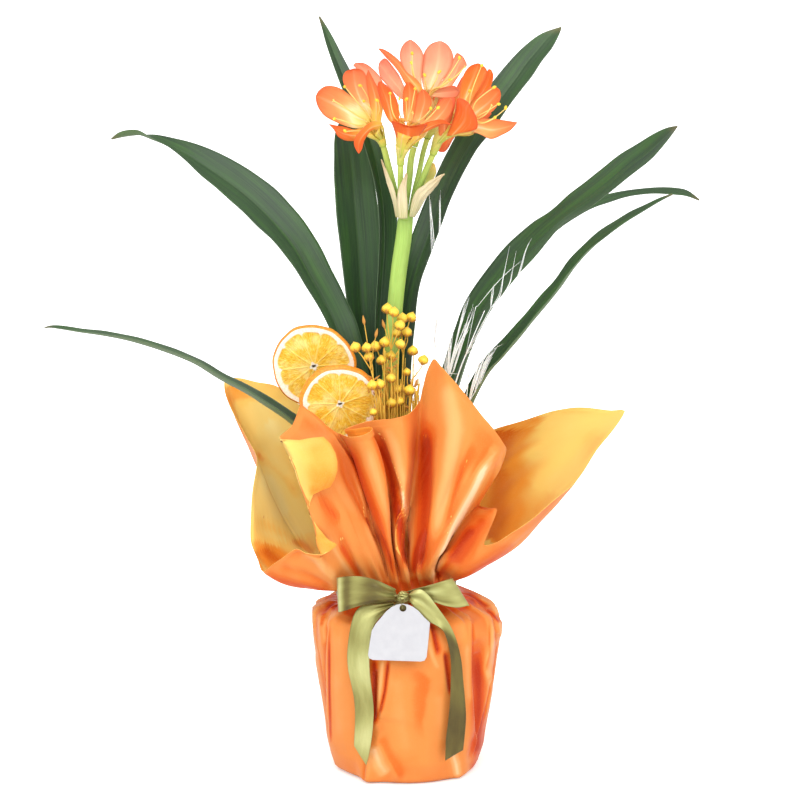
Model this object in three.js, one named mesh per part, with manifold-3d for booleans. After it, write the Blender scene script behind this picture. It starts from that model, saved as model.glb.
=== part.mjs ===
// Clivia in a gift-wrapped nursery pot.  Units: millimetres, +Z up, origin on the floor
// under the centre of the pot.  Every physical piece is its own closed solid.
import * as THREE from "three";
import Module from "manifold-3d";

// ---------------------------------------------------------------- driving dimensions
const GAP = 0.3;              // clearance kept between neighbouring pieces
const LEAF_T = 1.5;           // leaf blade thickness
const TEPAL_T = 0.8;          // tepal thickness
const PAPER_T = 1.0;          // wrap wall (paper with its inner liner)
const RIBBON_T = 0.6;         // satin ribbon
const TAG_T = 0.6;            // card
const POT_H = 118, POT_R0 = 51.2, POT_R1 = 68.6, POT_LIP = 71.0, POT_WALL = 1.4, POT_Z0 = 1.4;
const SOIL_TOP = 105.4, SOIL_Z0 = 3.3;
const CROWN = { x: 0, y: -3, rx: 28, ry: 24, z0: 88, z1: 126 };
const NECK = { x: -9, rx: 48, ry: 44, z: 149, slope: 0.09, half: 6 };
const BAND_H = 9, BAND_T = 1.0;
// bag profile under the neck: height, radius on the left, radius on the right
const BAG = [[5, 59.3, 58.0], [18, 64.4, 62.2], [55, 67.4, 67.0], [95, 71.6, 71.8], [119, 75.4, 75.0], [131, 75.2, 70.2]];
const BAG_R0 = 53.5;

// ---------------------------------------------------------------- shape tables (mm)
// leaves: rows of [left margin xyz, right margin xyz, depth of the midrib channel], base to tip
const LEAVES = {
  "leaf_far_left": [[-20,11,126.5,-20,-7,126.5,1.5],[-19.8,8,163.8,-21.3,-12,166.9,2.5],[-24.6,4,194.6,-27.6,-20,196.7,3.5],[-38.1,-2,231.3,-42.5,-29,232.1,4.5],[-58.9,-4,262.8,-62.2,-31,263.3,5],[-77.8,-10,282.7,-80.1,-37,282.9,5],[-94.1,-18,297.5,-95.4,-45,298.0,5],[-109.2,-25,308.7,-109.9,-51,309.0,4.6],[-123.1,-30,318.1,-123.2,-56,319.0,4.2],[-144.9,-37,330.0,-144.5,-62,331.8,3.6],[-165.5,-43,343.7,-164.6,-66,345.1,3.2],[-190.0,-48,354.0,-188.7,-68,354.8,2.8],[-214.4,-52,361.7,-212.8,-69,362.0,2.4],[-235.7,-56,366.2,-234.2,-70,366.0,2.0],[-253.9,-59,369.0,-252.6,-70,368.3,1.7],[-269.0,-62,371.5,-268.0,-70,370.3,1.4],[-276.4,-64,371.7,-275.8,-69,370.9,0.8],[-280.8,-66,370.4,-280.7,-67,369.9,0.1]],
  "leaf_left_arch": [[-14.5,13,126.5,-14.5,-8,126.5,1.5],[-14.9,12,162.8,-16.1,-9,164.5,2.5],[-17.3,10,197.4,-21.2,-12,199.0,4],[-24.5,2,244.5,-33.1,-22,244.5,6],[-27.6,-2,294.2,-41.6,-26,290.5,7],[-32.4,3,332.3,-49.4,-24,328.7,8],[-38.7,5.5,357.0,-57.3,-21,353.0,8],[-45.5,10,374.9,-64.4,-17,368.3,8],[-54.0,16,391.8,-73.2,-12,383.6,8],[-63.7,22.5,410.3,-83.6,-6,399.5,8],[-76.2,30,432.8,-94.9,2,415.3,8],[-89.6,37,449.8,-107.8,10,429.5,8],[-105.1,44.5,465.5,-121.7,18,441.4,7.5],[-122.3,52,478.1,-136.4,27,454.4,7],[-140.4,60,488.3,-151.3,36.5,466.3,6.2],[-159.4,67.5,496.6,-166.3,46.5,477.6,5.4],[-177.8,75,502.5,-180.6,56,489.5,4.4],[-193.8,82,505.4,-194.2,66,499.2,3.4],[-205.6,87,507.0,-207.8,74,505.2,2.6],[-215.0,91,506.7,-218.0,80,510.8,2],[-224.4,95,505.7,-226.7,86,511.2,1.4],[-233.8,98,504.2,-236.4,92,508.7,0.9],[-243.1,100,502.0,-243.8,99,503.1,0.1]],
  "leaf_upright_left": [[-9.5,-6,126.5,-9.5,14,126.5,1.5],[-10.0,-3,166.4,-7.6,16,161.9,2.0],[-16.9,4,215.3,-10.1,20,211.8,3],[-26.5,9,267.7,-14.9,22,265.2,4],[-35.7,9,308.6,-18.1,23,306.1,5],[-42.1,12,340.6,-20.5,26,338.4,5.5],[-46.1,15,364.5,-21.3,29,362.4,5.5],[-49.3,18,383.4,-21.3,32,381.5,5.5],[-52.1,22,405.5,-21.3,35,403.9,5.5],[-54.5,26,425.2,-21.7,38,423.8,5.3],[-56.5,29,441.8,-22.5,41,440.4,5.2],[-58.0,33,459.0,-24.5,44,457.9,5],[-59.0,38,477.8,-27.4,49,476.8,4.6],[-59.0,43,493.4,-30.6,54,492.5,4.2],[-58.9,48,504.3,-33.5,59,504.2,3.8],[-57.6,53,513.5,-36.7,63,514.4,3.0],[-53.6,59,521.1,-40.0,66,522.6,1.8],[-46.5,66,528.0,-44.9,67,528.1,0.1]],
  "leaf_upright_tall": [[-4.5,-7,126.5,-4.5,13,126.5,1.5],[-6.0,-5,166.9,-3.6,15,162.1,2.5],[-13.2,-3,216.8,-7.6,14,213.1,5],[-18.8,-1,269.6,-10.0,13,266.9,8],[-23.6,1,309.9,-10.8,13,307.9,9],[-25.6,3,342.0,-10.4,13,340.4,9.5],[-25.9,4.5,364.4,-9.6,13,363.1,10],[-24.9,6,383.5,-8.8,14,382.4,10],[-23.5,8.5,405.6,-8.0,15,404.8,10],[-22.5,11.5,426.9,-7.6,17,426.3,10],[-22.6,14,443.4,-8.0,19,442.9,10],[-23.9,17,460.7,-9.6,22,460.2,9.5],[-26.9,20,476.3,-12.0,25,475.9,9],[-30.9,24,491.9,-15.2,29,493.1,8],[-35.5,28,506.7,-19.6,34,508.6,7],[-40.7,33,519.8,-25.2,39,521.8,6],[-46.4,38,533.0,-32.4,44,535.4,5],[-52.4,44,547.4,-39.7,50,550.2,4],[-57.3,50,559.8,-46.6,55,562.3,3],[-61.8,55,571.5,-52.3,60,572.8,2.2],[-65.6,60,582.4,-57.9,64,583.4,1.5],[-68.5,65,592.9,-64.0,67.5,594.0,0.7],[-71.6,69.5,603.2,-70.5,70,603.9,0.1]],
  "leaf_upright_right": [[2,14,126.5,2,-7,126.5,1.5],[1.3,16,161.9,2.1,-5,166.9,2.5],[-2.7,20,211.8,1.2,-1,218.0,3.5],[-10.1,24,264.8,1.2,3,270.5,4.5],[-13.3,27,305.5,2.0,6,310.7,5],[-14.1,29,337.9,4.0,8,342.8,5.5],[-13.3,30,358.2,6.0,10,362.0,5.5],[-11.2,31,376.8,7.7,12,381.0,5.5],[-8.0,32,392.9,11.0,13,397.0,5.5],[-3.6,33.5,408.9,16.4,15,412.9,5.5],[1.2,35,423.3,21.8,17,427.1,5.5],[6.2,37,437.7,26.7,19,439.7,5.5],[12.1,40,453.5,32.5,22,455.4,5.5],[18.2,43,466.1,38.2,26,467.8,5.5],[23.6,46,478.7,43.7,30,479.4,5.5],[28.6,49,489.7,50.0,34,490.2,5.5],[34.3,52,500.3,56.7,38,500.7,5.3],[41.2,55,512.6,65.4,42,511.2,5.2],[48.5,58,524.4,74.7,46,523.3,5],[57.0,61,536.3,82.8,50,534.6,4.8],[65.1,64,546.9,91.3,54,545.3,4.4],[73.6,67,557.6,100.4,58,556.5,3.8],[82.9,70,568.3,108.0,62,567.7,3.2],[93.8,72.5,579.0,116.5,66,578.1,2.4],[108.0,75,589.5,122.4,71,588.7,1.2],[124.0,76,595.1,124.7,75.4,594.3,0.1]],
  "leaf_right_broad": [[13.5,11,126.5,13.5,-9,126.5,1.5],[14.3,12,165.3,14.9,-10,168.1,2.5],[15.9,13,213.3,18.0,-12,217.1,3.5],[16.6,16,258.1,24.3,-12,258.7,4.5],[23.0,17,307.2,35.4,-12,304.9,5],[29.4,17,330.0,42.4,-12,327.5,5.2],[35.0,17,347.9,50.3,-12,344.4,5.4],[42.1,17,369.8,58.9,-13,364.6,5.6],[50.4,16,386.5,67.9,-14,379.1,5.8],[61.1,14.5,402.5,77.6,-16,392.9,6],[72.9,12.5,418.0,88.4,-18,406.7,6],[85.9,10,431.9,99.2,-21,419.3,5.8],[98.8,7,443.6,110.7,-23,433.3,5.2],[110.4,4,451.7,121.1,-24,445.5,4.4],[120.1,1,459.9,131.2,-25,452.8,4.2],[129.7,-2,468.9,143.0,-28,459.8,4.6],[140.3,-6,478.0,154.3,-31,469.2,4.8],[152.1,-10,487.8,165.9,-35,479.2,4.6],[164.6,-14,498.6,177.6,-38,489.0,4.2],[178.1,-19,507.8,188.4,-41,498.8,3.6],[189.9,-25,515.9,196.5,-43,507.8,2.6],[200.1,-32,521.6,203.2,-44,516.7,1.3],[207.5,-42,524.2,207.9,-43.4,523.4,0.1]],
  "leaf_right_arch": [[8,13,126.5,8,-7,126.5,1.5],[8.7,18,163.9,8.5,-2,166.2,2.5],[9.5,32,209.2,10.2,14,211.4,4],[19.3,42,261.4,23.2,20,260.6,5],[31.6,47,302.0,36.8,22,300.6,5],[43.0,54,338.1,49.8,30,336.1,5],[56.1,60,366.1,63.6,37,363.7,5],[71.7,66,390.9,79.9,44,388.0,4.8],[89.8,72,414.0,98.7,52,410.7,4.4],[108.7,77,431.5,117.6,59,427.8,4.0],[126.8,81,444.3,134.9,65,440.2,3.6],[144.2,84,452.6,150.7,71,448.2,3.0],[161.6,87,457.6,165.7,76,453.0,2.4],[179.0,90,460.8,181.5,80,457.3,2.1],[194.9,93,462.5,196.6,84,458.8,1.8],[209.0,95,463.3,210.1,88,458.2,1.5],[221.6,97,462.6,221.1,91,457.3,1.2],[231.6,98,460.2,230.5,94,455.8,0.8],[241.4,99,452.9,240.9,98,451.7,0.1]],
  "leaf_right_low": [[19,8,126.5,19,-10,126.5,1.5],[19.2,8,166.3,19.7,-14,169.0,2.5],[22.3,6,214.8,24.4,-18,217.6,4],[29.3,2,260.9,33.7,-22,261.5,5],[42.7,-4,301.1,46.9,-28,299.7,5.5],[56.0,-9,330.2,60.1,-32,326.8,5.5],[68.5,-12,346.4,73.3,-35,342.4,5.5],[81.0,-16,360.2,85.2,-38,357.6,5.2],[92.5,-20,374.6,96.3,-41,372.4,4.8],[104.1,-23,388.7,107.7,-44,386.5,4.4],[114.7,-27,401.9,118.0,-46,400.1,4.0],[125.4,-30,417.7,128.6,-48,415.5,3.8],[137.5,-34,431.5,140.3,-50,429.0,3.4],[151.0,-38,443.7,153.6,-52,439.8,2.9],[166.1,-42,454.0,167.5,-54,450.5,2.4],[180.4,-46,462.2,181.1,-56,459.3,1.8],[193.1,-50,468.8,193.6,-57,467.0,1.1],[203.3,-55,473.0,203.6,-57,472.1,0.1]],
};
// centre lines of stalks
const PATHS = {
  "flower_scape": [[-12,-20,127],[-13.2,-19,175.2],[-16.0,-18,224.1],[-16.7,-17,264.6],[-15.1,-16,304.8],[-12.3,-15,344.9],[-9.7,-14.5,380.7],[-6.4,-14,410.9],[-3.0,-13,434.5],[-1.3,-12,452.1]],
  "pedicel_left": [[-6.3,-15.5,453.9],[-8.9,-16.5,467.2],[-12.1,-17.5,479.9],[-15.4,-18.5,492.5],[-17.7,-19,501.9],[-18.9,-19.2,506.0]],
  "pedicel_front": [[-3.6,-18.5,454.2],[-5.2,-22,467.0],[-5.8,-25,476.7],[-5.7,-27,484.7],[-5.5,-28.9,492.2]],
  "pedicel_top": [[-1.8,-11.5,453.5],[-0.3,-9.5,467.3],[1.3,-8,480.6],[2.6,-6.5,494.6],[4.9,-5.1,504.5]],
  "pedicel_back": [[2.0,-7.5,453.1],[5.3,-3.5,469.4],[9.0,-0.5,484.2],[12.1,3,499.0],[15.2,5.9,509.6]],
  "pedicel_right": [[2.8,-14.5,453.8],[6.5,-15.5,467.1],[10.8,-17,478.3],[15.1,-18.5,489.4],[19.4,-19.9,499.6]],
  "flower_bud": [[5.0,-10,453.3],[9.7,-7,466.3],[14.9,-3,476.9],[19.1,-1.5,484.3],[20.3,-1,491.6]],
};
// dry bracts under the flower head
const BRACTS = {
  "bract_left": [[-9.5,-17,450.9,-5.2,-24,451.4,1.2],[-12.0,-19.5,464.4,-8.3,-25,465.8,1.5],[-15.9,-22,476.4,-11.0,-25,475.9,1.2],[-18.2,-23.5,485.6,-15.4,-25,486.1,0.7],[-20.3,-24,494.2,-19.2,-24.6,494.6,0.3],[-20.9,-24.2,496.6,-20.5,-24.3,496.8,0.05]],
  "bract_centre": [[-7.2,-26.6,450.7,-0.1,-26.6,450.9,1.5],[-8.2,-28,462.9,-0.2,-29.5,463.1,1.8],[-7.6,-31,472.6,-0.9,-32.5,473.5,1.6],[-5.2,-33,479.0,-0.6,-33.5,480.6,1.0],[-3.0,-33.5,483.4,-0.2,-34,484.6,0.5],[-1.7,-34,486.6,-0.9,-34,486.9,0.05]],
  "bract_right": [[1.2,-23,451.7,5.9,-14.5,450.8,1.5],[3.0,-24,462.5,10.5,-15.5,458.1,1.8],[6.1,-25,470.8,14.5,-17.5,465.4,1.8],[12.7,-25.5,476.6,20.1,-19,471.9,1.5],[19.3,-25.5,481.2,24.3,-21,477.7,1.0],[24.9,-25.5,484.1,26.6,-23,482.1,0.5],[28.6,-25,485.6,29.0,-24.5,484.8,0.05]],
};
// flowers: funnel centre line and radii, tepal rows, stamen paths, style path
const FLOWERS = {
  "left": {"tube":[[-19.0,-19.2,506.5],[-20.0,-19.8,509.8],[-22.0,-20.8,513.8],[-25.8,-23,519.0]],"rad":[2.7,3.2,4.4,7.6],"tepals":{"a":[[-29.3,-24,529.5,-32.4,-25,521.1,1.5],[-35.5,-27,536.7,-39.4,-29,521.0,3],[-43.1,-30,545.0,-47.8,-33,523.2,4.2],[-50.0,-33,551.0,-56.6,-36,526.8,4.6],[-56.9,-35,554.0,-63.9,-38,531.1,4.2],[-63.8,-37,554.1,-68.2,-39,536.4,3],[-68.8,-39,550.6,-70.4,-40,541.8,1.2],[-71.0,-40,546.4,-70.9,-40.2,545.1,0.1]],"b":[[-30.9,-18,527.5,-27.0,-17,529.0,1.5],[-36.8,-15,536.3,-27.9,-13,537.3,2.5],[-43.8,-12,544.2,-29.4,-9,544.0,3.2],[-49.0,-9,552.2,-30.6,-6,551.6,3.4],[-50.7,-7,558.7,-31.8,-3,558.5,2.8],[-48.6,-5,563.6,-35.4,-2,564.3,1.6],[-43.1,-4,565.7,-41.2,-3.6,566.0,0.1]],"c":[[-27.8,-22,526.3,-21.2,-22,525.5,1.2],[-28.9,-23,535.7,-19.8,-23,535.7,1.8],[-30.4,-24,545.0,-20.0,-23.5,544.2,2.0],[-31.7,-25,553.6,-22.4,-24.5,550.8,1.6],[-32.2,-26,560.6,-26.8,-25.6,559.0,0.9],[-30.8,-27,565.9,-30.3,-27,565.9,0.1]],"d":[[-26.3,-15,527.3,-20.5,-13,527.2,1.2],[-27.9,-8,539.3,-18.5,-5,540.7,2.4],[-31.9,-2,550.6,-19.0,2,550.4,3.0],[-36.2,2,559.7,-20.5,6,557.2,3.0],[-40.2,5,565.3,-26.1,9,564.0,2.4],[-42.6,6,567.5,-33.5,9,569.2,1.4],[-42.5,7,568.4,-41.1,8,569.7,0.1]],"e":[[-34.0,-26,521.1,-32.4,-24,515.6,1.0],[-41.3,-29,520.2,-40.2,-27,511.5,1.8],[-48.2,-32,522.4,-48.1,-30,511.7,2.0],[-54.0,-34,523.5,-54.0,-33,515.1,1.6],[-57.8,-36,524.4,-57.1,-35.5,520.2,0.8],[-60.8,-37.5,525.1,-60.6,-37.5,524.6,0.1]],"f":[[-20.1,-26,525.4,-20.3,-25,520.7,0.6],[-24.6,-31,526.7,-23.8,-29,520.6,1.2],[-29.4,-35,526.0,-28.2,-32,519.3,1.4],[-34.0,-38,522.8,-30.9,-35,516.8,1.4],[-38.6,-40,518.2,-33.1,-37,512.9,1.3],[-41.4,-40.5,512.6,-34.5,-38,509.4,1.0],[-40.9,-40,507.3,-35.5,-38.5,505.7,0.6],[-38.2,-39,502.5,-37.6,-39,502.5,0.05]]},"stamens":[[[-27.0,-23,525.6],[-35.5,-28,536.8],[-43.1,-33,546.7],[-48.4,-36,553.5]],[[-26.2,-21,527.0],[-28.5,-24,534.9],[-31.2,-26,539.7],[-33.6,-28,542.1]],[[-30.9,-26,522.7],[-40.1,-32,523.9],[-49.2,-38,527.5],[-56.2,-42,529.7]],[[-29.3,-27,521.2],[-35.5,-31,519.6],[-42.4,-35,519.5],[-48.1,-37.5,519.4]],[[-23.9,-21,528.5],[-22.1,-26,534.3],[-22.3,-29,539.2],[-23.3,-31,542.5]],[[-24.7,-19,527.6],[-27.8,-19,536.2],[-32.4,-19,547.0],[-36.3,-19,553.2]]],"style":[[-28.5,-25,524.2],[-38.5,-32,530.9],[-49.2,-39,538.3],[-56.8,-43,543.2]]},
  "front": {"tube":[[-5.5,-29,492.7],[-5.5,-30,498.2],[-4.2,-32,505.7],[-1.7,-35,514.1],[1.0,-38,520.9]],"rad":[2.7,3.0,5.2,9.0,13.2],"tepals":{"a":[[-13.7,-44,527.1,-6.4,-50,527.6,1.5],[-17.7,-46,534.2,-6.8,-52,535.4,2.6],[-20.4,-48,541.6,-7.7,-53,542.7,3],[-22.3,-49,548.5,-10.4,-54,549.2,2.8],[-23.3,-50,554.5,-14.9,-54,554.7,1.8],[-22.4,-51,558.5,-20.2,-52,558.7,0.2]],"b":[[-3.3,-33,526.3,4.5,-32,526.2,1.5],[-3.7,-31,534.7,6.0,-30,534.6,2],[-3.8,-30,543.5,7.4,-28,543.3,2.2],[-3.4,-29,550.7,6.9,-27.5,550.2,1.6],[-1.0,-29,556.5,2.1,-28.6,556.5,0.2]],"c":[[3.3,-33,525.5,11.8,-34,525.6,1.5],[5.2,-31,534.7,15.7,-33,534.0,2.2],[6.8,-30,541.9,18.4,-32,541.3,2.2],[7.9,-29.5,547.3,16.9,-31.5,546.6,1.5],[10.9,-29.5,551.1,12.6,-30,551.2,0.2]],"d":[[9.4,-40,523.8,17.1,-42,521.6,1.0],[16.4,-41,531.9,24.8,-44,525.2,2],[22.5,-42,539.7,31.3,-45,531.0,2.4],[27.1,-43,544.7,34.6,-45,538.7,1.8],[31.7,-44,545.7,34.1,-44.5,544.4,0.3]],"e":[[-7.9,-41,513.8,7.1,-43,514.7,2.5],[-10.8,-47,522.0,12.4,-50,521.4,4],[-12.6,-52,528.1,15.1,-55,526.0,4.2],[-9.8,-55,528.6,12.4,-57.5,526.4,3.2],[-3.7,-58,526.5,6.2,-59,525.5,1.5],[0.1,-59,525.0,2.4,-59.2,524.9,0.2]],"f":[[4.8,-46,520.4,8.6,-43,516.7,1.0],[12.4,-50,526.0,16.3,-46,520.7,1.5],[20.1,-52,529.1,22.4,-48,523.9,1.4],[27.0,-53,529.6,27.8,-50,525.7,0.9],[33.1,-52.5,526.1,33.6,-52,525.4,0.05]]},"stamens":[[[-2.9,-44,524.1],[-9.1,-52,530.0],[-12.5,-58,538.8],[-13.6,-62,549.9]],[[-2.1,-42,524.7],[-5.6,-48,531.3],[-6.9,-53,538.5],[-6.5,-57,545.6]],[[0.2,-42,523.9],[1.3,-44,531.0],[3.2,-48,540.4],[5.5,-52,552.8]],[[2.5,-43,523.2],[7.8,-48,527.4],[13.2,-53,532.4],[17.6,-57,537.9]],[[3.2,-44,522.5],[10.1,-50,525.7],[17.0,-55,532.1],[22.6,-60,538.8]],[[-0.6,-40,523.8],[-0.6,-40,530.7],[-1.0,-40,537.6],[-1.4,-40,543.7]]],"style":[[0.9,-44,523.3],[2.5,-49,527.5],[3.4,-54,531.3],[3.8,-59,535.1]]},
  "top": {"tube":[[5.0,-5,505.0],[7.0,-4,511.6],[9.3,-3,521.0],[11.6,-4,531.2],[13.9,-8,541.6]],"rad":[2.7,3.0,4.2,6.2,9.5],"tepals":{"a":[[3.4,-12,549.7,11.2,-10,551.1,1.5],[-1.7,-12,559.0,10.8,-9,560.4,2.6],[-4.6,-11,568.2,11.6,-7,568.8,3.2],[-6.2,-9.5,575.5,12.3,-5,576.1,3],[-5.1,-8,582.0,10.2,-4,581.4,2.2],[-1.9,-6.5,586.4,6.5,-4,585.7,1.0],[1.5,-5,588.3,2.9,-4.8,588.2,0.1]],"b":[[12.8,-8,549.4,22.1,-8,548.6,1.5],[11.2,-6.5,556.3,26.0,-7,555.6,2.8],[10.8,-4,564.7,32.3,-6,563.3,3.8],[11.5,-2,572.6,35.7,-4,571.0,3.8],[13.7,0,579.7,34.8,-2,578.6,2.8],[18.4,2,584.8,31.1,0,584.4,1.4],[24.5,3,586.9,26.6,2.6,586.9,0.1]],"c":[[20.5,-12,548.9,24.4,-15,546.8,1.0],[27.6,-10,557.7,32.5,-16,550.8,1.8],[33.4,-8,566.5,38.6,-14,559.1,2.2],[36.0,-6,574.2,43.3,-11,565.5,2.2],[38.5,-4.5,578.0,46.3,-8,569.0,1.4],[42.9,-5,575.4,44.0,-5.4,574.4,0.1]],"d":[[15.8,-14,548.4,16.6,-14,544.4,1.0],[23.9,-19,551.0,24.6,-19,544.1,1.6],[31.5,-24,553.3,32.0,-23.5,543.9,2.0],[36.7,-28,553.7,37.7,-27,545.2,1.4],[39.8,-30,550.5,39.9,-30,549.4,0.1]],"e":[[-1.7,-18,551.6,-2.9,-20,542.4,1.6],[-6.0,-19,560.5,-8.7,-22,546.4,2.6],[-11.8,-20,568.7,-15.3,-23,553.1,3.0],[-17.2,-20.5,574.6,-21.0,-23,560.0,2.2],[-20.9,-21,572.9,-22.7,-22,565.9,1.0],[-22.4,-21.4,570.5,-22.6,-21.5,569.4,0.1]],"f":[[11.1,-17,545.7,6.1,-20,543.2,0.8],[11.2,-20,552.5,2.7,-25,549.7,1.6],[6.0,-23,559.2,-2.4,-28,556.1,1.8],[-0.7,-25,564.2,-6.2,-29,563.2,1.4],[-5.8,-26,572.5,-10.9,-29,569.3,1.0],[-13.6,-27,579.1,-16.8,-28.5,575.6,0.6],[-19.4,-27.5,582.2,-20.8,-28,579.9,0.3],[-22.8,-27.6,582.6,-22.6,-27.8,581.9,0.05]]},"stamens":[[[12.7,-14,547.5],[6.4,-17,556.2],[3.8,-18,567.8],[3.5,-17,577.8]],[[12.7,-13,548.2],[7.2,-15,555.3],[3.7,-17,563.1],[3.0,-17.5,570.6]],[[17.4,-14,548.2],[20.4,-18,554.7],[22.7,-20,559.4],[24.1,-21,563.8]],[[18.9,-15,546.8],[27.4,-20,554.8],[34.3,-23,565.0],[40.1,-24,574.5]],[[18.1,-16,546.8],[24.3,-21,551.8],[28.9,-24,555.4],[32.4,-25,558.3]],[[15.1,-12,548.1],[14.1,-15,553.7],[13.4,-17,557.7],[13.4,-18,561.0]]],"style":[[17.4,-16,547.6],[27.3,-24,553.5],[36.5,-29,560.7],[44.0,-31,568.2]]},
  "right": {"tube":[[19.6,-20,500.1],[21.6,-21,505.8],[24.7,-23,513.5],[31.3,-26,518.8],[38.6,-29,522.5],[45.1,-31,526.2]],"rad":[2.8,3.3,4.4,5.6,8.2,11.5],"tepals":{"a":[[39.9,-23,533.3,46.9,-19,536.9,1.5],[40.1,-19,543.9,50.9,-15,543.3,2.8],[41.5,-15,554.5,57.2,-10,552.3,3.6],[43.9,-11,562.2,61.7,-6.5,561.4,3.2],[48.3,-8,567.8,61.2,-5,566.2,1.8],[54.1,-6,570.0,56.0,-5.6,570.0,0.1]],"b":[[47.0,-17,536.0,53.2,-18,534.5,1.2],[50.6,-11,544.2,58.2,-13,543.1,2],[55.8,-6,552.8,64.1,-9,550.6,2.4],[60.2,-3,560.0,66.7,-6,557.5,1.8],[63.2,-2,565.1,66.9,-4,561.6,0.9],[65.5,-2,564.8,65.9,-2.2,564.2,0.1]],"c":[[47.6,-25,535.0,50.6,-29,526.8,1.5],[53.0,-25,543.1,58.3,-31,530.0,2.8],[59.4,-25.5,549.4,66.0,-31,534.7,3.2],[64.9,-26.5,553.0,70.6,-30,541.2,2.4],[69.1,-28,552.4,72.0,-29,546.4,1.0],[71.1,-28.4,550.8,71.4,-28.6,550.1,0.1]],"d":[[48.2,-33,528.6,47.3,-38,520.1,1.6],[56.2,-36,529.0,56.1,-42,517.4,2.6],[65.0,-39,529.3,64.1,-45,514.0,3.0],[73.4,-41,528.4,73.0,-45,517.4,2.2],[79.5,-42.5,527.6,79.6,-44.5,521.2,1.2],[84.1,-43.5,527.0,84.3,-43.6,526.5,0.1]],"e":[[30.4,-33,515.1,38.8,-37,517.7,1.5],[34.6,-38,527.5,48.0,-43,519.8,2.8],[36.8,-41,537.3,53.6,-46,523.0,3.2],[38.0,-42,544.9,52.8,-46,530.7,2.8],[43.0,-42,544.3,50.0,-44.5,536.5,1.4],[46.0,-42,542.0,47.1,-42.6,540.8,0.1]],"f":[[25.8,-29,515.2,32.4,-30,521.5,1.2],[23.6,-31,526.2,34.1,-33,529.0,2.2],[22.6,-31.5,535.9,36.4,-33.5,537.9,2.4],[24.2,-31,542.4,36.7,-32.5,544.5,1.4],[29.6,-31,545.0,31.9,-31.4,545.3,0.1]]},"stamens":[[[46.7,-29,529.1],[44.4,-27,536.7],[45.2,-26,543.6],[47.9,-26,549.2]],[[48.2,-30,530.0],[52.0,-31,540.8],[58.9,-34,547.6],[66.2,-36,553.0]],[[49.7,-32,528.6],[55.8,-35,531.9],[62.7,-37,535.9],[69.6,-38,540.4]],[[50.5,-33,527.1],[58.9,-38,526.3],[68.0,-42,531.3],[75.2,-44,537.4]],[[50.5,-34,526.4],[56.5,-39,525.6],[61.8,-42.5,527.4],[66.9,-45,530.1]],[[46.8,-27,530.5],[48.4,-22,544.1],[52.3,-20,556.4],[57.3,-19.5,568.7]]],"style":[[49.8,-32,527.0],[55.8,-37,529.7],[61.0,-41,533.8],[64.3,-44,539.4]]},
  "back": {"tube":[[15.3,6,510.1],[17.5,8,514.8],[23.3,13,519.0],[28.9,18,522.5],[34.5,23,524.9]],"rad":[2.7,3.2,4.6,6.6,10],"tepals":{"a":[[32.9,22,531.7,38.5,26,535.4,1.5],[36.1,27,542.5,45.7,32,545.3,3],[40.2,33,551.6,53.0,38,552.9,3.2],[44.3,39,557.6,55.6,43,555.8,2.2],[50.0,44,558.9,51.6,44.5,558.5,0.1]],"b":[[38.6,30,534.4,42.7,34,531.7,1.5],[45.9,38,540.2,54.1,44,535.0,3],[52.5,46,544.5,62.3,51,538.5,3.2],[59.1,52,546.5,65.6,55,540.7,1.8],[63.6,55,544.7,64.4,55.4,543.5,0.1]],"c":[[41.0,31,529.5,42.6,32,523.1,1.5],[49.9,36,530.8,51.5,36,521.2,2.6],[58.0,41,531.2,59.6,40,521.7,2.8],[63.7,45,530.1,64.5,43,523.9,1.6],[67.0,46,527.8,67.3,46,526.9,0.1]],"d":[[28.9,16,514.8,40.2,26,514.8,1.6],[25.3,13,508.7,36.6,24,508.6,3],[23.8,12,504.0,33.6,22,504.0,2.6],[24.2,12,500.2,30.9,19,500.0,1.4],[26.6,13,498.9,28.4,14.5,498.8,0.2]],"e":[[28.1,20,526.4,32.9,21,532.6,1.5],[21.8,22,534.9,30.5,25,541.8,2.8],[17.8,25,542.6,29.0,30,549.4,3],[18.6,29,549.5,27.4,33,552.4,1.8],[22.6,32,552.5,24.2,33,552.8,0.1]],"f":[[40.2,28,522.6,38.5,25,518.1,1.5],[48.2,32,521.5,44.2,28,514.7,2.4],[55.5,36,519.6,49.9,32,512.8,2.2],[59.6,38,516.3,55.6,36,512.4,1.2],[60.8,38,513.9,60.4,37.6,513.3,0.1]]},"stamens":[[[36.1,26,525.9],[41.8,33,535.0],[48.4,41,540.8],[55.7,48,544.3]],[[37.0,27,525.1],[45.9,37,529.1],[55.0,47,531.6],[63.2,55,531.9]],[[37.0,27,524.3],[45.1,33,523.0],[53.2,38,523.5],[59.7,44,524.6]],[[35.3,25,526.0],[35.4,30,535.2],[37.9,36,542.7],[42.0,42,547.9]],[[36.2,26,523.5],[41.8,30,520.9],[47.5,34,518.2],[53.2,37,517.2]],[[36.1,26,525.1],[41.1,34,529.3],[45.2,41,533.6],[50.2,48,535.5]]],"style":[[37.0,28,525.0],[45.2,38,526.6],[54.2,48,527.5],[61.7,57,526.9]]},
};
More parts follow.
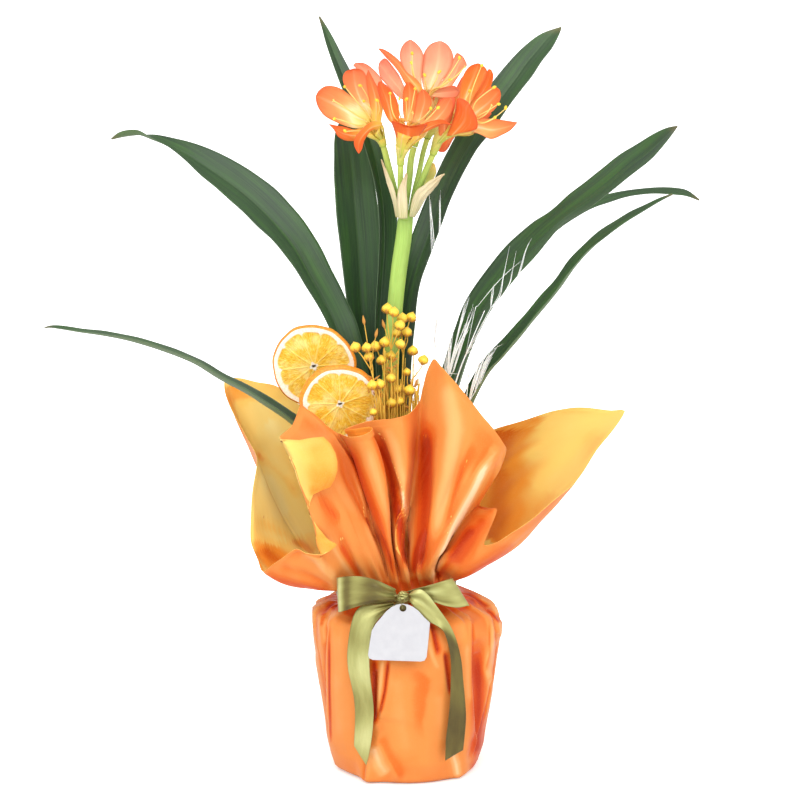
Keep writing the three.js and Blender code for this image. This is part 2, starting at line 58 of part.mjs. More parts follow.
// dried fruit slices: centre, radius, turn, lean
const SLICES = {
  "orange_slice_back": {"c":[-73.6,-32,334.8],"r":33.2,"yaw":-6,"pitch":-4},
  "orange_slice_front": {"c":[-52.8,-54,308.7],"r":32.2,"yaw":7,"pitch":-13},
};
const PICKS = {"slice_pick_back":[[-70.9,-22.5,318.0],[-55.1,-27,282.6],[-43.9,-36,252.2],[-34.5,-37,220.1],[-27,-30,120],[-27,-29,96]],"slice_pick_front":[[-50.0,-42.5,293.5],[-43.8,-39,264.8],[-29.8,-38,212.2],[-21,-37,120],[-20.5,-36.5,96]]};
const FLAX = {
  "flax_sprig_a": {"root":[-18,-33,97],"fork":[[-15.5,-40,212.6],[-18.5,-52,271.4],[-23.1,-60,312.6],[-28.5,-60,336.2]],"pods":[[[-40.5,-58,354.0],3.6],[[-31.6,-61,354.1],3.4],[[-30.1,-57,346.4],3.4],[[-27.3,-65,325.3],3.6],[[-21.5,-62,325.5],3.5],[[-26.6,-64,303.8],2.6]],"tips":[[-34.3,-58,376.7],[-23.8,-60,366.8]]},
  "flax_sprig_b": {"root":[-14,-31,97],"fork":[[-12.3,-34,211.3],[-13.1,-33,267.7],[-17.0,-33,307.8],[-19.4,-32,335.6]],"pods":[[[-25.2,-32,350.7],3.7],[[-17.8,-34,354.2],3.7],[[-20.5,-36,340.2],3.4],[[-13.1,-31,343.0],3.3],[[-20.1,-46,299.8],2.5]],"tips":[]},
  "flax_sprig_c": {"root":[-10,-33,97],"fork":[[-9.2,-38,212.2],[-9.2,-38,268.7],[-11.5,-38,308.7],[-13.1,-37,348.3]],"pods":[[[-15.8,-36,381.0],3.7],[[-10.7,-39,378.7],3.6],[[-6.0,-40,368.6],3.7],[[-5.6,-41,353.7],3.4],[[-13.1,-41,326.7],3.4],[[-12.7,-43,307.2],3.6]],"tips":[[-19.3,-36,370.3]]},
  "flax_sprig_d": {"root":[-6,-31,97],"fork":[[-6.0,-32,210.9],[-5.2,-31,267.3],[-4.4,-30,307.3],[-3.6,-29,347.1]],"pods":[[[-4.0,-29,372.5],3.6],[[3.0,-28,373.1],3.5],[[-0.5,-31,361.7],3.5],[[-8.4,-27,360.3],3.2],[[-8.8,-35,317.0],3.5],[[-6.4,-38,307.9],3.4]],"tips":[]},
  "flax_sprig_e": {"root":[-2,-33,97],"fork":[[-2.8,-36,211.7],[-0.5,-36,268.3],[2.7,-35,308.2],[5.0,-34,330.3]],"pods":[[[4.2,-34,347.4],3.5],[[12.5,-33,339.7],3.7],[[1.5,-38,316.7],3.8],[[-0.5,-33,330.2],2.8]],"tips":[[7.4,-36,323.5]]},
};
const GRASS = {
  "grass_plume_a": {"root":[8,-36,97],"pts":[[9.1,-32,210.9],[16.1,-38,276.7],[20.7,-40,325.0],[22.9,-41,364.8],[23.6,-42,404.3],[21.6,-43,435.7],[19.2,-44,462.3]],"rad":[0.8,0.8,0.8,2.2,4.2,4.0,1.8,0.4]},
  "grass_plume_b": {"root":[13,-37,97],"pts":[[12.3,-34,211.3],[20.0,-42,269.4],[27.7,-46,314.1],[33.0,-48,350.1],[37.5,-50,377.9],[39.8,-51,397.6]],"rad":[0.8,0.8,0.8,2.0,3.8,3.0,0.4]},
  "grass_plume_c": {"root":[18,-36,97],"pts":[[16.2,-34,211.3],[25.5,-43,265.6],[37.0,-48,322.4],[50.0,-52,358.6],[61.4,-56,386.6],[70.4,-59,410.4],[77.1,-62,430.9]],"rad":[0.8,0.8,0.8,2.2,4.4,4.6,2.6,0.4]},
  "grass_plume_d": {"root":[22,-33,97],"pts":[[17.8,-32,210.9],[33.4,-40,261.0],[47.3,-46,306.1],[56.4,-50,336.2],[61.7,-52,358.6],[64.6,-53,380.7]],"rad":[0.8,0.8,0.8,2.0,3.6,2.6,0.4]},
};
// wrap columns round the neck: angle, points from the neck outwards, index of the last point of the sheet edge
const COLLAR = [
  {"th":150,"p":[[-63.6,46,206.2],[-93.1,58,290.9]],"cad":1,"ridge":1},
  {"th":158,"p":[[-75.8,42,211.3],[-107.6,55,304.0]],"cad":0,"ridge":1},
  {"th":165,"p":[[-85.5,38,214.6],[-123.0,51,308.0]],"cad":1,"ridge":1},
  {"th":172,"p":[[-94.3,33,215.7],[-137.3,46,312.1]],"cad":0,"ridge":1},
  {"th":178,"p":[[-100.6,27,214.5],[-147.6,40,312.3]],"cad":1,"ridge":1},
  {"th":184,"p":[[-102.7,20,211.8],[-148.0,32,302.9]],"cad":1,"ridge":1},
  {"th":189,"p":[[-102.5,13,207.5],[-141.9,22,289.1]],"cad":0,"ridge":1},
  {"th":194,"p":[[-98.3,8,200.3],[-130.1,10,270.8]],"cad":1,"ridge":1},
  {"th":199,"p":[[-96.3,-2,193.5],[-120.6,-4,255.5]],"cad":0,"ridge":1},
  {"th":204,"p":[[-99.1,-14,183.9],[-123.8,-16,233.5]],"cad":1,"ridge":1},
  {"th":209,"p":[[-101.9,-24,174.7],[-124.6,-26,213.6]],"cad":0,"ridge":1},
  {"th":213,"p":[[-103.2,-34,166.5],[-124.3,-36,194.7]],"cad":1,"ridge":1},
  {"th":217,"p":[[-98.1,-42,161.9],[-118.4,-44,181.1]],"cad":0,"ridge":1},
  {"th":221,"p":[[-91.5,-47,160.3],[-114.6,-52,173.7]],"cad":1,"ridge":1},
  {"th":225,"p":[[-85.0,-52,161.1],[-107.4,-60,180.1]],"cad":1,"ridge":1},
  {"th":229,"p":[[-78.6,-56,162.5],[-97.6,-67,188.6]],"cad":0,"ridge":1},
  {"th":233,"p":[[-70.6,-58,165.0],[-87.2,-73,196.8]],"cad":1,"ridge":1},
  {"th":237,"p":[[-63.5,-58,166.6],[-77.8,-75,193.7]],"cad":1,"ridge":1},
  {"th":240,"p":[[-58.0,-57,167.2],[-68.8,-76,191.1],[-64.4,-80,194.8]],"cad":1,"ridge":1},
  {"th":242,"p":[[-53.3,-57,170.4],[-63.2,-68,186.8],[-71.0,-78,200.3],[-63.5,-83,203.5],[-54.9,-83,202.7]],"cad":0,"ridge":2},
  {"th":243.6,"p":[[-50.1,-58,174.7],[-64.6,-72,199.8],[-72.4,-78.5,208.4],[-63.5,-82,208.0]],"cad":1,"ridge":2},
  {"th":245,"p":[[-47.7,-59,178.2],[-66.7,-77,212.1],[-76.6,-81,226.5]],"cad":0,"ridge":2},
  {"th":246.5,"p":[[-45.3,-60,181.7],[-66.6,-79,221.3],[-80.1,-84,237.8],[-73.1,-89,243.6]],"cad":1,"ridge":2},
  {"th":248,"p":[[-43.7,-61,184.3],[-66.5,-81,229.7],[-84.8,-86,250.9],[-74.5,-94,252.9],[-59.9,-92,249.8]],"cad":1,"ridge":2},
  {"th":249.5,"p":[[-42.1,-62,187.0],[-67.2,-82,240.2],[-89.1,-87,264.1],[-75.1,-96,265.9],[-54.1,-95,263.4]],"cad":0,"ridge":2},
  {"th":251,"p":[[-40.5,-63,189.6],[-67.1,-82,248.9],[-93.6,-86.5,274.2],[-78.2,-95,275.1],[-55.5,-94,277.2]],"cad":1,"ridge":2},
  {"th":252.5,"p":[[-38.9,-64,192.3],[-67.1,-81,255.0],[-97.1,-85,281.8],[-82.9,-91,283.3],[-64.8,-90,289.3]],"cad":0,"ridge":2},
  {"th":254,"p":[[-37.4,-64,193.9],[-66.4,-79,258.5],[-99.0,-83,284.5],[-83.8,-86.5,286.3]],"cad":1,"ridge":2},
  {"th":255,"p":[[-36.6,-64,195.5],[-65.7,-77,260.5],[-99.0,-81,285.2]],"cad":0,"ridge":2},
  {"th":256.4,"p":[[-35.8,-63.5,196.2],[-64.2,-75,263.2],[-95.3,-77,290.1]],"cad":1,"ridge":2},
  {"th":257.6,"p":[[-34.2,-63,196.9],[-61.9,-72,267.4],[-90.0,-73,294.0]],"cad":0,"ridge":2},
  {"th":259,"p":[[-32.7,-62,197.4],[-58.8,-69,273.1],[-85.8,-69,303.1]],"cad":1,"ridge":2},
  {"th":260.3,"p":[[-31.1,-61,198.0],[-56.5,-67,277.5],[-82.8,-66,310.2]],"cad":1,"ridge":2},
  {"th":261.6,"p":[[-29.5,-60.5,198.7],[-52.7,-66,275.7],[-77.4,-65,305.6]],"cad":0,"ridge":2},
  {"th":263,"p":[[-27.2,-60,198.6],[-48.8,-65.5,272.4],[-70.9,-64.5,301.1]],"cad":1,"ridge":2},
  {"th":264.5,"p":[[-24.8,-59,198.4],[-43.4,-64.5,264.3],[-63.5,-65,293.7]],"cad":0,"ridge":2},
  {"th":266,"p":[[-23.3,-56,196.9],[-38.8,-62,257.4],[-55.0,-66,286.8]],"cad":1,"ridge":2},
  {"th":267.6,"p":[[-22.5,-60,197.0],[-38.7,-68,253.9],[-50.1,-76,287.1]],"cad":1,"ridge":2},
  {"th":269,"p":[[-20.1,-67,200.2],[-33.1,-80,261.1],[-43.8,-85,288.0]],"cad":0,"ridge":2},
  {"th":270.5,"p":[[-16.9,-70,202.5],[-27.6,-85,266.0],[-36.8,-89,289.6]],"cad":1,"ridge":2},
  {"th":272,"p":[[-14.6,-70,203.3],[-21.4,-85,266.8],[-31.0,-88,291.4]],"cad":1,"ridge":2},
  {"th":273.4,"p":[[-13.0,-65,201.3],[-16.8,-80,262.7],[-27.2,-83,293.6]],"cad":1,"ridge":2},
  {"th":274.6,"p":[[-13.1,-58,198.1],[-17.7,-70,252.7],[-30.0,-77,294.4]],"cad":0,"ridge":2},
  {"th":275.8,"p":[[-13.1,-54,195.6],[-20.0,-64,249.9],[-39.3,-71,293.3]],"cad":0,"ridge":2},
  {"th":277,"p":[[-13.1,-53,194.6],[-18.5,-60,250.7],[-36.3,-66,295.0]],"cad":0,"ridge":2},
  {"th":278.2,"p":[[-12.3,-55,195.8],[-16.2,-62,254.3],[-28.5,-66,297.1]],"cad":1,"ridge":2},
  {"th":279.8,"p":[[-10.7,-60,198.6],[-12.2,-70,262.2],[-20.7,-71,299.1]],"cad":1,"ridge":2},
  {"th":281.4,"p":[[-8.4,-64,201.1],[-7.6,-75,268.0],[-13.0,-75,300.3]],"cad":0,"ridge":2},
  {"th":283,"p":[[-6.0,-66,201.6],[-2.9,-77,270.0],[-6.0,-76,302.1]],"cad":1,"ridge":2},
  {"th":284.6,"p":[[-4.4,-66,201.6],[1.0,-76,269.8],[-0.2,-72,303.1]],"cad":0,"ridge":2},
  {"th":286,"p":[[-2.9,-60,198.6],[4.1,-70,267.0],[4.5,-68,305.3]],"cad":1,"ridge":2},
  {"th":287.4,"p":[[-2.1,-55,195.8],[6.5,-64,265.8],[9.5,-66,311.6]],"cad":0,"ridge":2},
  {"th":288.8,"p":[[-0.5,-53,194.6],[9.6,-62,267.0],[11.8,-68,321.1]],"cad":1,"ridge":2},
  {"th":290.2,"p":[[1.1,-54,194.8],[13.5,-64,269.8],[14.2,-72,333.5]],"cad":1,"ridge":2},
  {"th":291.8,"p":[[3.4,-58,196.5],[18.1,-70,274.9],[16.8,-76,342.0]],"cad":0,"ridge":2},
  {"th":293.4,"p":[[5.8,-64,198.7],[22.6,-80,278.4],[20.1,-81,348.3]],"cad":1,"ridge":2},
  {"th":295.4,"p":[[8.1,-70,200.1],[27.1,-88,280.0],[25.4,-86,343.6]],"cad":0,"ridge":2},
  {"th":297.4,"p":[[10.4,-73,200.0],[31.7,-92,279.2],[31.1,-90,337.7]],"cad":1,"ridge":2},
  {"th":299.4,"p":[[12.7,-74,198.6],[36.3,-92,276.1],[39.2,-92,328.7]],"cad":0,"ridge":2},
  {"th":301.4,"p":[[15.1,-74,197.0],[40.2,-90,271.0],[48.4,-92,317.4]],"cad":1,"ridge":2},
  {"th":303.4,"p":[[16.6,-75,195.6],[43.2,-92,266.7],[56.8,-93,306.5]],"cad":0,"ridge":2},
  {"th":305.4,"p":[[18.9,-77,194.5],[47.0,-96,262.0],[66.1,-94,295.6]],"cad":1,"ridge":2},
  {"th":307.2,"p":[[21.3,-76,192.7],[50.9,-95,255.5],[73.2,-91,284.5]],"cad":0,"ridge":2},
  {"th":308.8,"p":[[23.7,-72,190.9],[53.4,-88,249.3],[75.7,-85,277.8]],"cad":1,"ridge":2},
  {"th":310.4,"p":[[24.6,-66,187.9],[53.7,-78,242.5],[72.7,-75,263.2]],"cad":1,"ridge":2},
  {"th":312,"p":[[24.7,-60,184.9],[51.7,-68,233.2],[65.0,-66,244.7]],"cad":1,"ridge":2},
  {"th":314,"p":[[23.9,-55,181.3],[45.7,-60,217.1],[56.7,-60,227.5]],"cad":0,"ridge":2},
  {"th":316.5,"p":[[27.1,-56,181.5],[48.9,-60,213.1],[62.1,-62,225.9]],"cad":0,"ridge":2},
  {"th":319.5,"p":[[31.0,-58,182.0],[52.8,-62,207.9],[69.8,-66,226.0]],"cad":1,"ridge":2},
  {"th":322,"p":[[35.0,-56,178.3],[52.2,-58,194.1],[63.8,-60,208.2]],"cad":0,"ridge":2},
  {"th":324.5,"p":[[38.2,-53,174.3],[53.0,-56,185.6],[60.0,-58,197.3]],"cad":1,"ridge":2},
  {"th":328,"p":[[42.2,-50,171.2],[60.2,-54,183.5],[70.2,-58,198.9]],"cad":0,"ridge":2},
  {"th":331.5,"p":[[46.3,-45,169.1],[68.2,-50,184.1],[81.7,-54,205.3]],"cad":1,"ridge":2},
  {"th":335,"p":[[50.4,-38,167.4],[78.8,-42,187.9],[98.5,-47,215.0]],"cad":0,"ridge":2},
  {"th":338.5,"p":[[54.6,-30,167.1],[89.5,-32,192.1],[117.1,-37,229.0]],"cad":1,"ridge":2},
  {"th":342,"p":[[58.0,-22,168.5],[97.1,-21,197.8],[130.2,-27,237.4]],"cad":0,"ridge":2},
  {"th":345.5,"p":[[59.9,-14,172.3],[102.3,-11,206.2],[140.3,-17,247.9]],"cad":1,"ridge":2},
  {"th":349,"p":[[60.9,-6,177.9],[106.7,-1,218.0],[151.7,-5,262.2]],"cad":0,"ridge":2},
  {"th":352.5,"p":[[61.9,2,184.3],[110.3,9,230.7],[166.0,6,277.3]],"cad":1,"ridge":2},
  {"th":356,"p":[[62.1,10,190.8],[112.4,19,241.0],[175.5,17,290.0]],"cad":0,"ridge":2},
  {"th":360,"p":[[61.5,18,197.3],[108.7,28,247.5],[165.0,27,288.5]],"cad":1,"ridge":2},
  {"th":365,"p":[[59.2,26,203.0],[100.2,38,249.7],[147.9,37,288.9]],"cad":0,"ridge":2},
  {"th":371,"p":[[54.5,34,206.3],[89.9,46,250.6],[133.7,45,287.4]],"cad":1,"ridge":2},
  {"th":377,"p":[[49.0,40,208.3],[79.6,54,249.0],[117.8,52,283.3]],"cad":0,"ridge":2},
  {"th":383,"p":[[43.3,46,208.7],[68.3,60,245.3],[96.9,59,274.9]],"cad":1,"ridge":2},
  {"th":389,"p":[[36.8,50,207.9],[57.7,64,238.7],[76.6,66,267.3]],"cad":0,"ridge":2},
  {"th":398,"p":[[30.3,54,201.9],[45.5,70,225.6],[58.9,82,257.1]],"cad":1,"ridge":2},
  {"th":408,"p":[[23.8,58,190.9],[34.0,76,212.5],[45.9,92,241.6]],"cad":0,"ridge":2},
  {"th":418,"p":[[17.2,60,187.1],[25.8,84,210.8],[36.2,112,241.1]],"cad":1,"ridge":2},
  {"th":428,"p":[[10.6,62,186.6],[16.7,94,212.1],[23.0,138,244.8]],"cad":0,"ridge":2},
  {"th":438,"p":[[4.0,62,186.6],[6.6,98,213.0],[9.5,156,245.7]],"cad":1,"ridge":2},
  {"th":448,"p":[[-3.5,62,186.6],[-4.3,98,213.0],[-4.3,152,245.6]],"cad":0,"ridge":2},
  {"th":458,"p":[[-10.1,61,186.8],[-15.2,90,213.0],[-17.9,132,244.2]],"cad":1,"ridge":2},
  {"th":468,"p":[[-17.6,58,187.5],[-26.0,80,213.3],[-32.9,106,244.0]],"cad":0,"ridge":2},
  {"th":478,"p":[[-27.5,55,189.9],[-37.6,72,218.4],[-47.7,86,251.3]],"cad":1,"ridge":2},
  {"th":488,"p":[[-39.0,53,193.7],[-48.2,64,231.9],[-60.7,72,265.8]],"cad":0,"ridge":2},
  {"th":499,"p":[[-50.5,50,199.4],[-60.4,58,245.7],[-76.9,64,280.7]],"cad":1,"ridge":2},
];
const RIBBON = {
  "bow_loop_left": [[-9.0,-63.5,161.9,-10.7,-63.5,152.6,0.0],[-15.4,-68,166.3,-17.8,-67.5,152.4,0.6],[-24.8,-73,171.9,-27.2,-72,153.2,0.8],[-35.7,-75,175.1,-38.9,-74,150.9,0.6],[-46.6,-73.5,175.0,-47.1,-72.5,147.8,0.4],[-53.4,-69,173.2,-52.7,-69,145.1,0.2],[-55.6,-64,171.5,-54.3,-64.5,143.8,0.0],[-53.8,-61,170.1,-52.2,-61.5,144.0,0.0],[-46.9,-60,169.2,-45.4,-60.5,146.2,0.0],[-35.9,-60,167.9,-34.4,-60.5,149.4,0.0],[-23.3,-60,164.7,-22.5,-60.5,151.1,0.0],[-17.0,-59.2,161.7,-17.0,-59.2,151.7,0.0]],
  "bow_loop_right": [[-0.1,-59,159.6,2.7,-59,152.3,0.0],[6.6,-64,163.0,10.5,-64,153.6,0.5],[15.2,-68,166.0,20.3,-68,153.0,0.7],[23.8,-68,168.6,30.1,-68,149.7,0.6],[30.1,-65,170.0,39.6,-66,147.9,0.3],[34.6,-60,170.1,47.9,-62,148.5,0.1],[34.4,-55.5,167.6,47.6,-58.5,147.7,0.0],[28.7,-53.5,164.3,39.0,-57,148.1,0.0],[19.3,-54,161.2,27.1,-57,149.5,0.0],[8.2,-56,159.3,12.9,-57.5,151.5,0.0]],
  "ribbon_tail_left": [[-11.5,-63,150.9,-8.8,-64,148.3,0.2],[-19.4,-66,150.8,-16.6,-68,144.9,0.3],[-28.4,-67,150.7,-22.5,-70,140.1,0.4],[-36.2,-67,149.6,-26.7,-73,134.1,0.5],[-41.5,-67.5,143.9,-29.1,-75,125.7,0.6],[-44.8,-68.5,132.9,-29.8,-76,116.2,0.6],[-46.8,-69,120.0,-30.0,-76,105.7,0.5],[-47.5,-69,108.7,-29.4,-74.5,93.9,0.4],[-46.7,-68.5,97.1,-28.4,-73,84.5,0.3],[-44.4,-67,86.1,-27.3,-72,74.5,0.3],[-42.4,-65.5,75.0,-26.8,-71,64.4,0.3],[-41.6,-64,63.1,-27.3,-70,54.2,0.3],[-41.8,-62.5,50.3,-28.2,-69,43.3,0.3],[-42.4,-61,37.5,-30.3,-67.5,29.6,0.2],[-42.3,-60.6,33.3,-32.8,-66.6,19.3,0.1]],
  "ribbon_tail_right": [[1.8,-67.5,160.4,2.2,-68,153.0,0.2],[5.4,-70,163.1,4.6,-71,149.5,0.3],[10.9,-72,163.8,10.3,-72.6,144.4,0.5],[17.2,-73.2,158.7,15.9,-74.2,139.2,0.6],[23.0,-73,150.6,21.8,-75.6,136.3,0.6],[28.4,-72,142.7,26.1,-76,133.5,0.4],[32.9,-71,135.5,29.0,-75.2,129.8,0.2],[36.9,-70,126.8,31.2,-74,123.0,0.2],[40.1,-69,116.4,33.1,-73,114.6,0.2],[42.6,-68,103.5,34.1,-72,103.8,0.2],[43.9,-66.5,88.4,34.0,-71,89.7,0.2],[45.4,-64.5,73.1,33.6,-69.5,73.7,0.2],[46.3,-62.5,57.7,32.4,-68,57.7,0.2],[45.5,-60.5,43.2,30.6,-66.5,40.9,0.2],[44.2,-58.5,29.3,29.9,-64.5,22.5,0.1]],
};
const KNOT = {"path":[[-6.9,-61.5,155.7],[-5.2,-62.5,155.6],[-2.9,-62.8,155.7],[-0.3,-61.8,155.9]],"rad":[3.4,5.2,5.2,3.6]};
const TAG = {"out":[[-4.4,-72.6,152.8],[0.3,-72.9,152.1],[4.7,-73.5,150.2],[8.9,-74.5,147.0],[12.8,-75.8,142.7],[17.5,-77.2,138.4],[16.5,-80.3,128.7],[15.6,-83.1,119.8],[14.8,-85.2,113.1],[13.2,-86.0,110.4],[10.4,-86.3,109.7],[-9.1,-86.1,110.3],[-27.1,-85.9,110.9],[-30.1,-85.5,112.1],[-31.0,-84.7,114.7],[-29.7,-81.9,123.5],[-28.1,-79.0,132.7],[-24.9,-77.3,137.9],[-20.6,-75.8,142.7],[-16.8,-74.5,147.0],[-12.6,-73.4,150.3],[-8.5,-72.9,152.1]],"hole":[-3.7,-73.7,149.4],"r":2.7,"cord":[[-5.7,-77.7,158.9],[-4.9,-78.3,155.4],[-4.1,-76.5,150.6],[-3.7,-73.7,149.6],[-3.3,-71.5,150.6],[-2.7,-69.5,153.9],[-2.1,-68.7,156.9]]};

// ---------------------------------------------------------------- small vector kit
const sub = (a, b) => [a[0] - b[0], a[1] - b[1], a[2] - b[2]];
const add = (a, b) => [a[0] + b[0], a[1] + b[1], a[2] + b[2]];
const mul = (a, k) => [a[0] * k, a[1] * k, a[2] * k];
const dot = (a, b) => a[0] * b[0] + a[1] * b[1] + a[2] * b[2];
const cross = (a, b) => [a[1] * b[2] - a[2] * b[1], a[2] * b[0] - a[0] * b[2], a[0] * b[1] - a[1] * b[0]];
const len = (a) => Math.hypot(a[0], a[1], a[2]);
const unit = (a) => { const l = len(a) || 1; return mul(a, 1 / l); };
const lerp = (a, b, t) => a.map((v, i) => v + (b[i] - v) * t);
const RAD = Math.PI / 180;

// Catmull-Rom through rows of numbers, n samples, end points kept
function spline(rows, n) {
  const out = [];
  const m = rows.length - 1;
  for (let i = 0; i < n; i++) {
    const s = (i / (n - 1)) * m;
    const k = Math.min(m - 1, Math.floor(s));
    const t = s - k;
    const p0 = rows[Math.max(0, k - 1)], p1 = rows[k], p2 = rows[k + 1], p3 = rows[Math.min(m, k + 2)];
    out.push(p1.map((_, c) => 0.5 * (2 * p1[c] + (p2[c] - p0[c]) * t
      + (2 * p0[c] - 5 * p1[c] + 4 * p2[c] - p3[c]) * t * t
      + (3 * p1[c] - p0[c] - 3 * p2[c] + p3[c]) * t * t * t)));
  }
  return out;
}

// ---------------------------------------------------------------- solids
const wasm = await Module();
wasm.setup();
const { Manifold, Mesh: MMesh, CrossSection } = wasm;

// triangle soup with shared vertices -> Manifold, turned outwards
function solid(v, t) {
  let vol = 0;
  for (const [a, b, c] of t) vol += dot(v[a], cross(v[b], v[c]));
  const f = vol < 0 ? t.map(([a, b, c]) => [a, c, b]) : t;
  const m = new MMesh({ numProp: 3, vertProperties: new Float32Array(v.flat()), triVerts: new Uint32Array(f.flat()) });
  m.merge();
  return new Manifold(m);
}

// closed grid of rings: rings[i] is a loop of points, ends closed by fans
function loft(rings, closeEnds = true, face = 0) {
  const n = rings[0].length, v = rings.flat(), t = [];
  for (let i = 0; i + 1 < rings.length; i++) for (let j = 0; j < n; j++) {
    const a = i * n + j, b = i * n + (j + 1) % n, c = a + n, d = b + n;
    if (face && j >= face && j < n - 1) t.push([a, b, c], [b, d, c]);
    else t.push([a, b, d], [a, d, c]);
  }
  if (closeEnds) {
    const mid = (r) => r.reduce((s, p) => add(s, p), [0, 0, 0]).map((q) => q / n);
    const s = v.length; v.push(mid(rings[0])); v.push(mid(rings[rings.length - 1]));
    const o = (rings.length - 1) * n;
    for (let j = 0; j < n; j++) { t.push([s, (j + 1) % n, j]); t.push([s + 1, o + j, o + (j + 1) % n]); }
  }
  return solid(v, t);
}

// The under face is split along the same diagonals as the upper one, so a thin
// blade that twists keeps its thickness.
// strap between two margins: rows [Ax,Ay,Az,Bx,By,Bz,sag]; side = +1/-1 turns the
// face that the midrib sinks away from
function strap(rows, n, thick, side, taper = 0.35, across = [0, 0.5, 1]) {
  const S = spline(rows, n), rings = [];
  for (let i = 0; i < n; i++) {
    const A = S[i].slice(0, 3), B = S[i].slice(3, 6), sag = S[i][6];
    const P = S[Math.max(0, i - 1)], Q = S[Math.min(n - 1, i + 1)];
    const tan = unit(sub(lerp(Q.slice(0, 3), Q.slice(3, 6), 0.5), lerp(P.slice(0, 3), P.slice(3, 6), 0.5)));
    let w = sub(B, A);
    if (len(w) < 1e-3) w = [1, 0, 0];
    const nn = mul(unit(cross(unit(w), tan)), side);
    const half = thick * 0.5 * (i === 0 || i === n - 1 ? 0.9 : 1);
    const top = [], bot = [];
    for (const u of across) {
      const k = 1 - Math.pow(Math.abs(2 * u - 1), 1.5);
      const c = sub(lerp(A, B, u), mul(nn, sag * k));
      const h = half * (taper + (1 - taper) * (1 - Math.abs(2 * u - 1)));
      top.push(add(c, mul(nn, h))); bot.push(sub(c, mul(nn, h)));
    }
    rings.push([...top, ...bot.reverse()]);
  }
  return loft(rings, true, across.length);
}

// tube along a path, radius list, optional flattening (rx,ry factors against +Y)
function tube(path, radii, n, sides, flat = 1) {
  const S = spline(path, n), R = spline(radii.map((r) => [r]), n).map((r) => Math.max(0.15, r[0])), rings = [];
  let up = [0, 1, 0];
  for (let i = 0; i < n; i++) {
    const t = unit(sub(S[Math.min(n - 1, i + 1)], S[Math.max(0, i - 1)]));
    if (Math.abs(dot(t, up)) > 0.95) up = [1, 0, 0];
    const b = unit(cross(t, up)), c = unit(cross(b, t));
    const ring = [];
    for (let k = 0; k < sides; k++) {
      const a = (k / sides) * 2 * Math.PI;
      ring.push(add(S[i], add(mul(b, Math.cos(a) * R[i]), mul(c, Math.sin(a) * R[i] * flat))));
    }
    rings.push(ring);
  }
  return loft(rings);
}
const ball = (p, r, seg = 8) => Manifold.sphere(r, seg).translate(p);
const spindle = (p, q, r) => {
  const d = unit(sub(q, p)), b = unit(cross(d, Math.abs(d[1]) > 0.9 ? [1, 0, 0] : [0, 1, 0])), c = cross(d, b), m = lerp(p, q, 0.5);
  return solid([p, q, add(m, mul(b, r)), add(m, mul(c, r)), sub(m, mul(b, r)), sub(m, mul(c, r))],
    [[0, 3, 2], [0, 4, 3], [0, 5, 4], [0, 2, 5], [1, 2, 3], [1, 3, 4], [1, 4, 5], [1, 5, 2]]);
};
const drop = (p, q, r) => tube([p, lerp(p, q, 0.45), q], [r * 0.35, r, r * 0.3], 4, 6);

// body of revolution about Z, profile [r,z] closed on the axis
function lathe(profile, seg = 40, cx = 0, cy = 0, ky = 1) {
  const rings = [], top = profile[0], bot = profile[profile.length - 1];
  const v = [], t = [];
  const inner = profile.filter((p) => p[0] > 1e-6);
  for (const [r, z] of inner) for (let j = 0; j < seg; j++) {
    const a = (j / seg) * 2 * Math.PI;
    v.push([cx + r * Math.cos(a), cy + r * ky * Math.sin(a), z]);
  }
  for (let i = 0; i + 1 < inner.length; i++) for (let j = 0; j < seg; j++) {
    const a = i * seg + j, b = i * seg + (j + 1) % seg;
    t.push([a, b, b + seg], [a, b + seg, a + seg]);
  }
  const s = v.length; v.push([cx, cy, top[1]], [cx, cy, bot[1]]);
  const o = (inner.length - 1) * seg;
  for (let j = 0; j < seg; j++) { t.push([s, (j + 1) % seg, j]); t.push([s + 1, o + j, o + (j + 1) % seg]); }
  return solid(v, t);
}

// ---------------------------------------------------------------- output helper
// the welded mesh (vertices closer than a micrometre or two count as one) must stay closed
function closedWhenWelded(body) {
  const m = body.getMesh(), key = new Map(), id = [];
  for (let i = 0; i < m.numVert; i++) {
    const k = [0, 1, 2].map((c) => Math.round(m.vertProperties[i * m.numProp + c] / 0.001)).join();
    if (!key.has(k)) key.set(k, key.size);
    id.push(key.get(k));
  }
  const edges = new Map();
  for (let i = 0; i < m.triVerts.length; i += 3) {
    const t = [0, 1, 2].map((c) => id[m.triVerts[i + c]]);
    if (t[0] === t[1] || t[1] === t[2] || t[0] === t[2]) return false;
    for (let c = 0; c < 3; c++) {
      const a = t[c], b = t[(c + 1) % 3], k = a < b ? a + "_" + b : b + "_" + a;
      edges.set(k, (edges.get(k) || 0) + (a < b ? 1 : 1000));
    }
  }
  for (const n of edges.values()) if (n !== 1001) return false;
  return body.decompose().length === 1;
}
function tidy(body, tolerances) {
  for (const e of tolerances) {
    let b = body.simplify(e);
    const parts = b.decompose();
    if (parts.length > 1) { parts.sort((a, c) => c.volume() - a.volume()); b = parts[0]; }
    if (closedWhenWelded(b)) return b;
  }
  console.warn("no tolerance gives a closed welded mesh");
  return body;
}

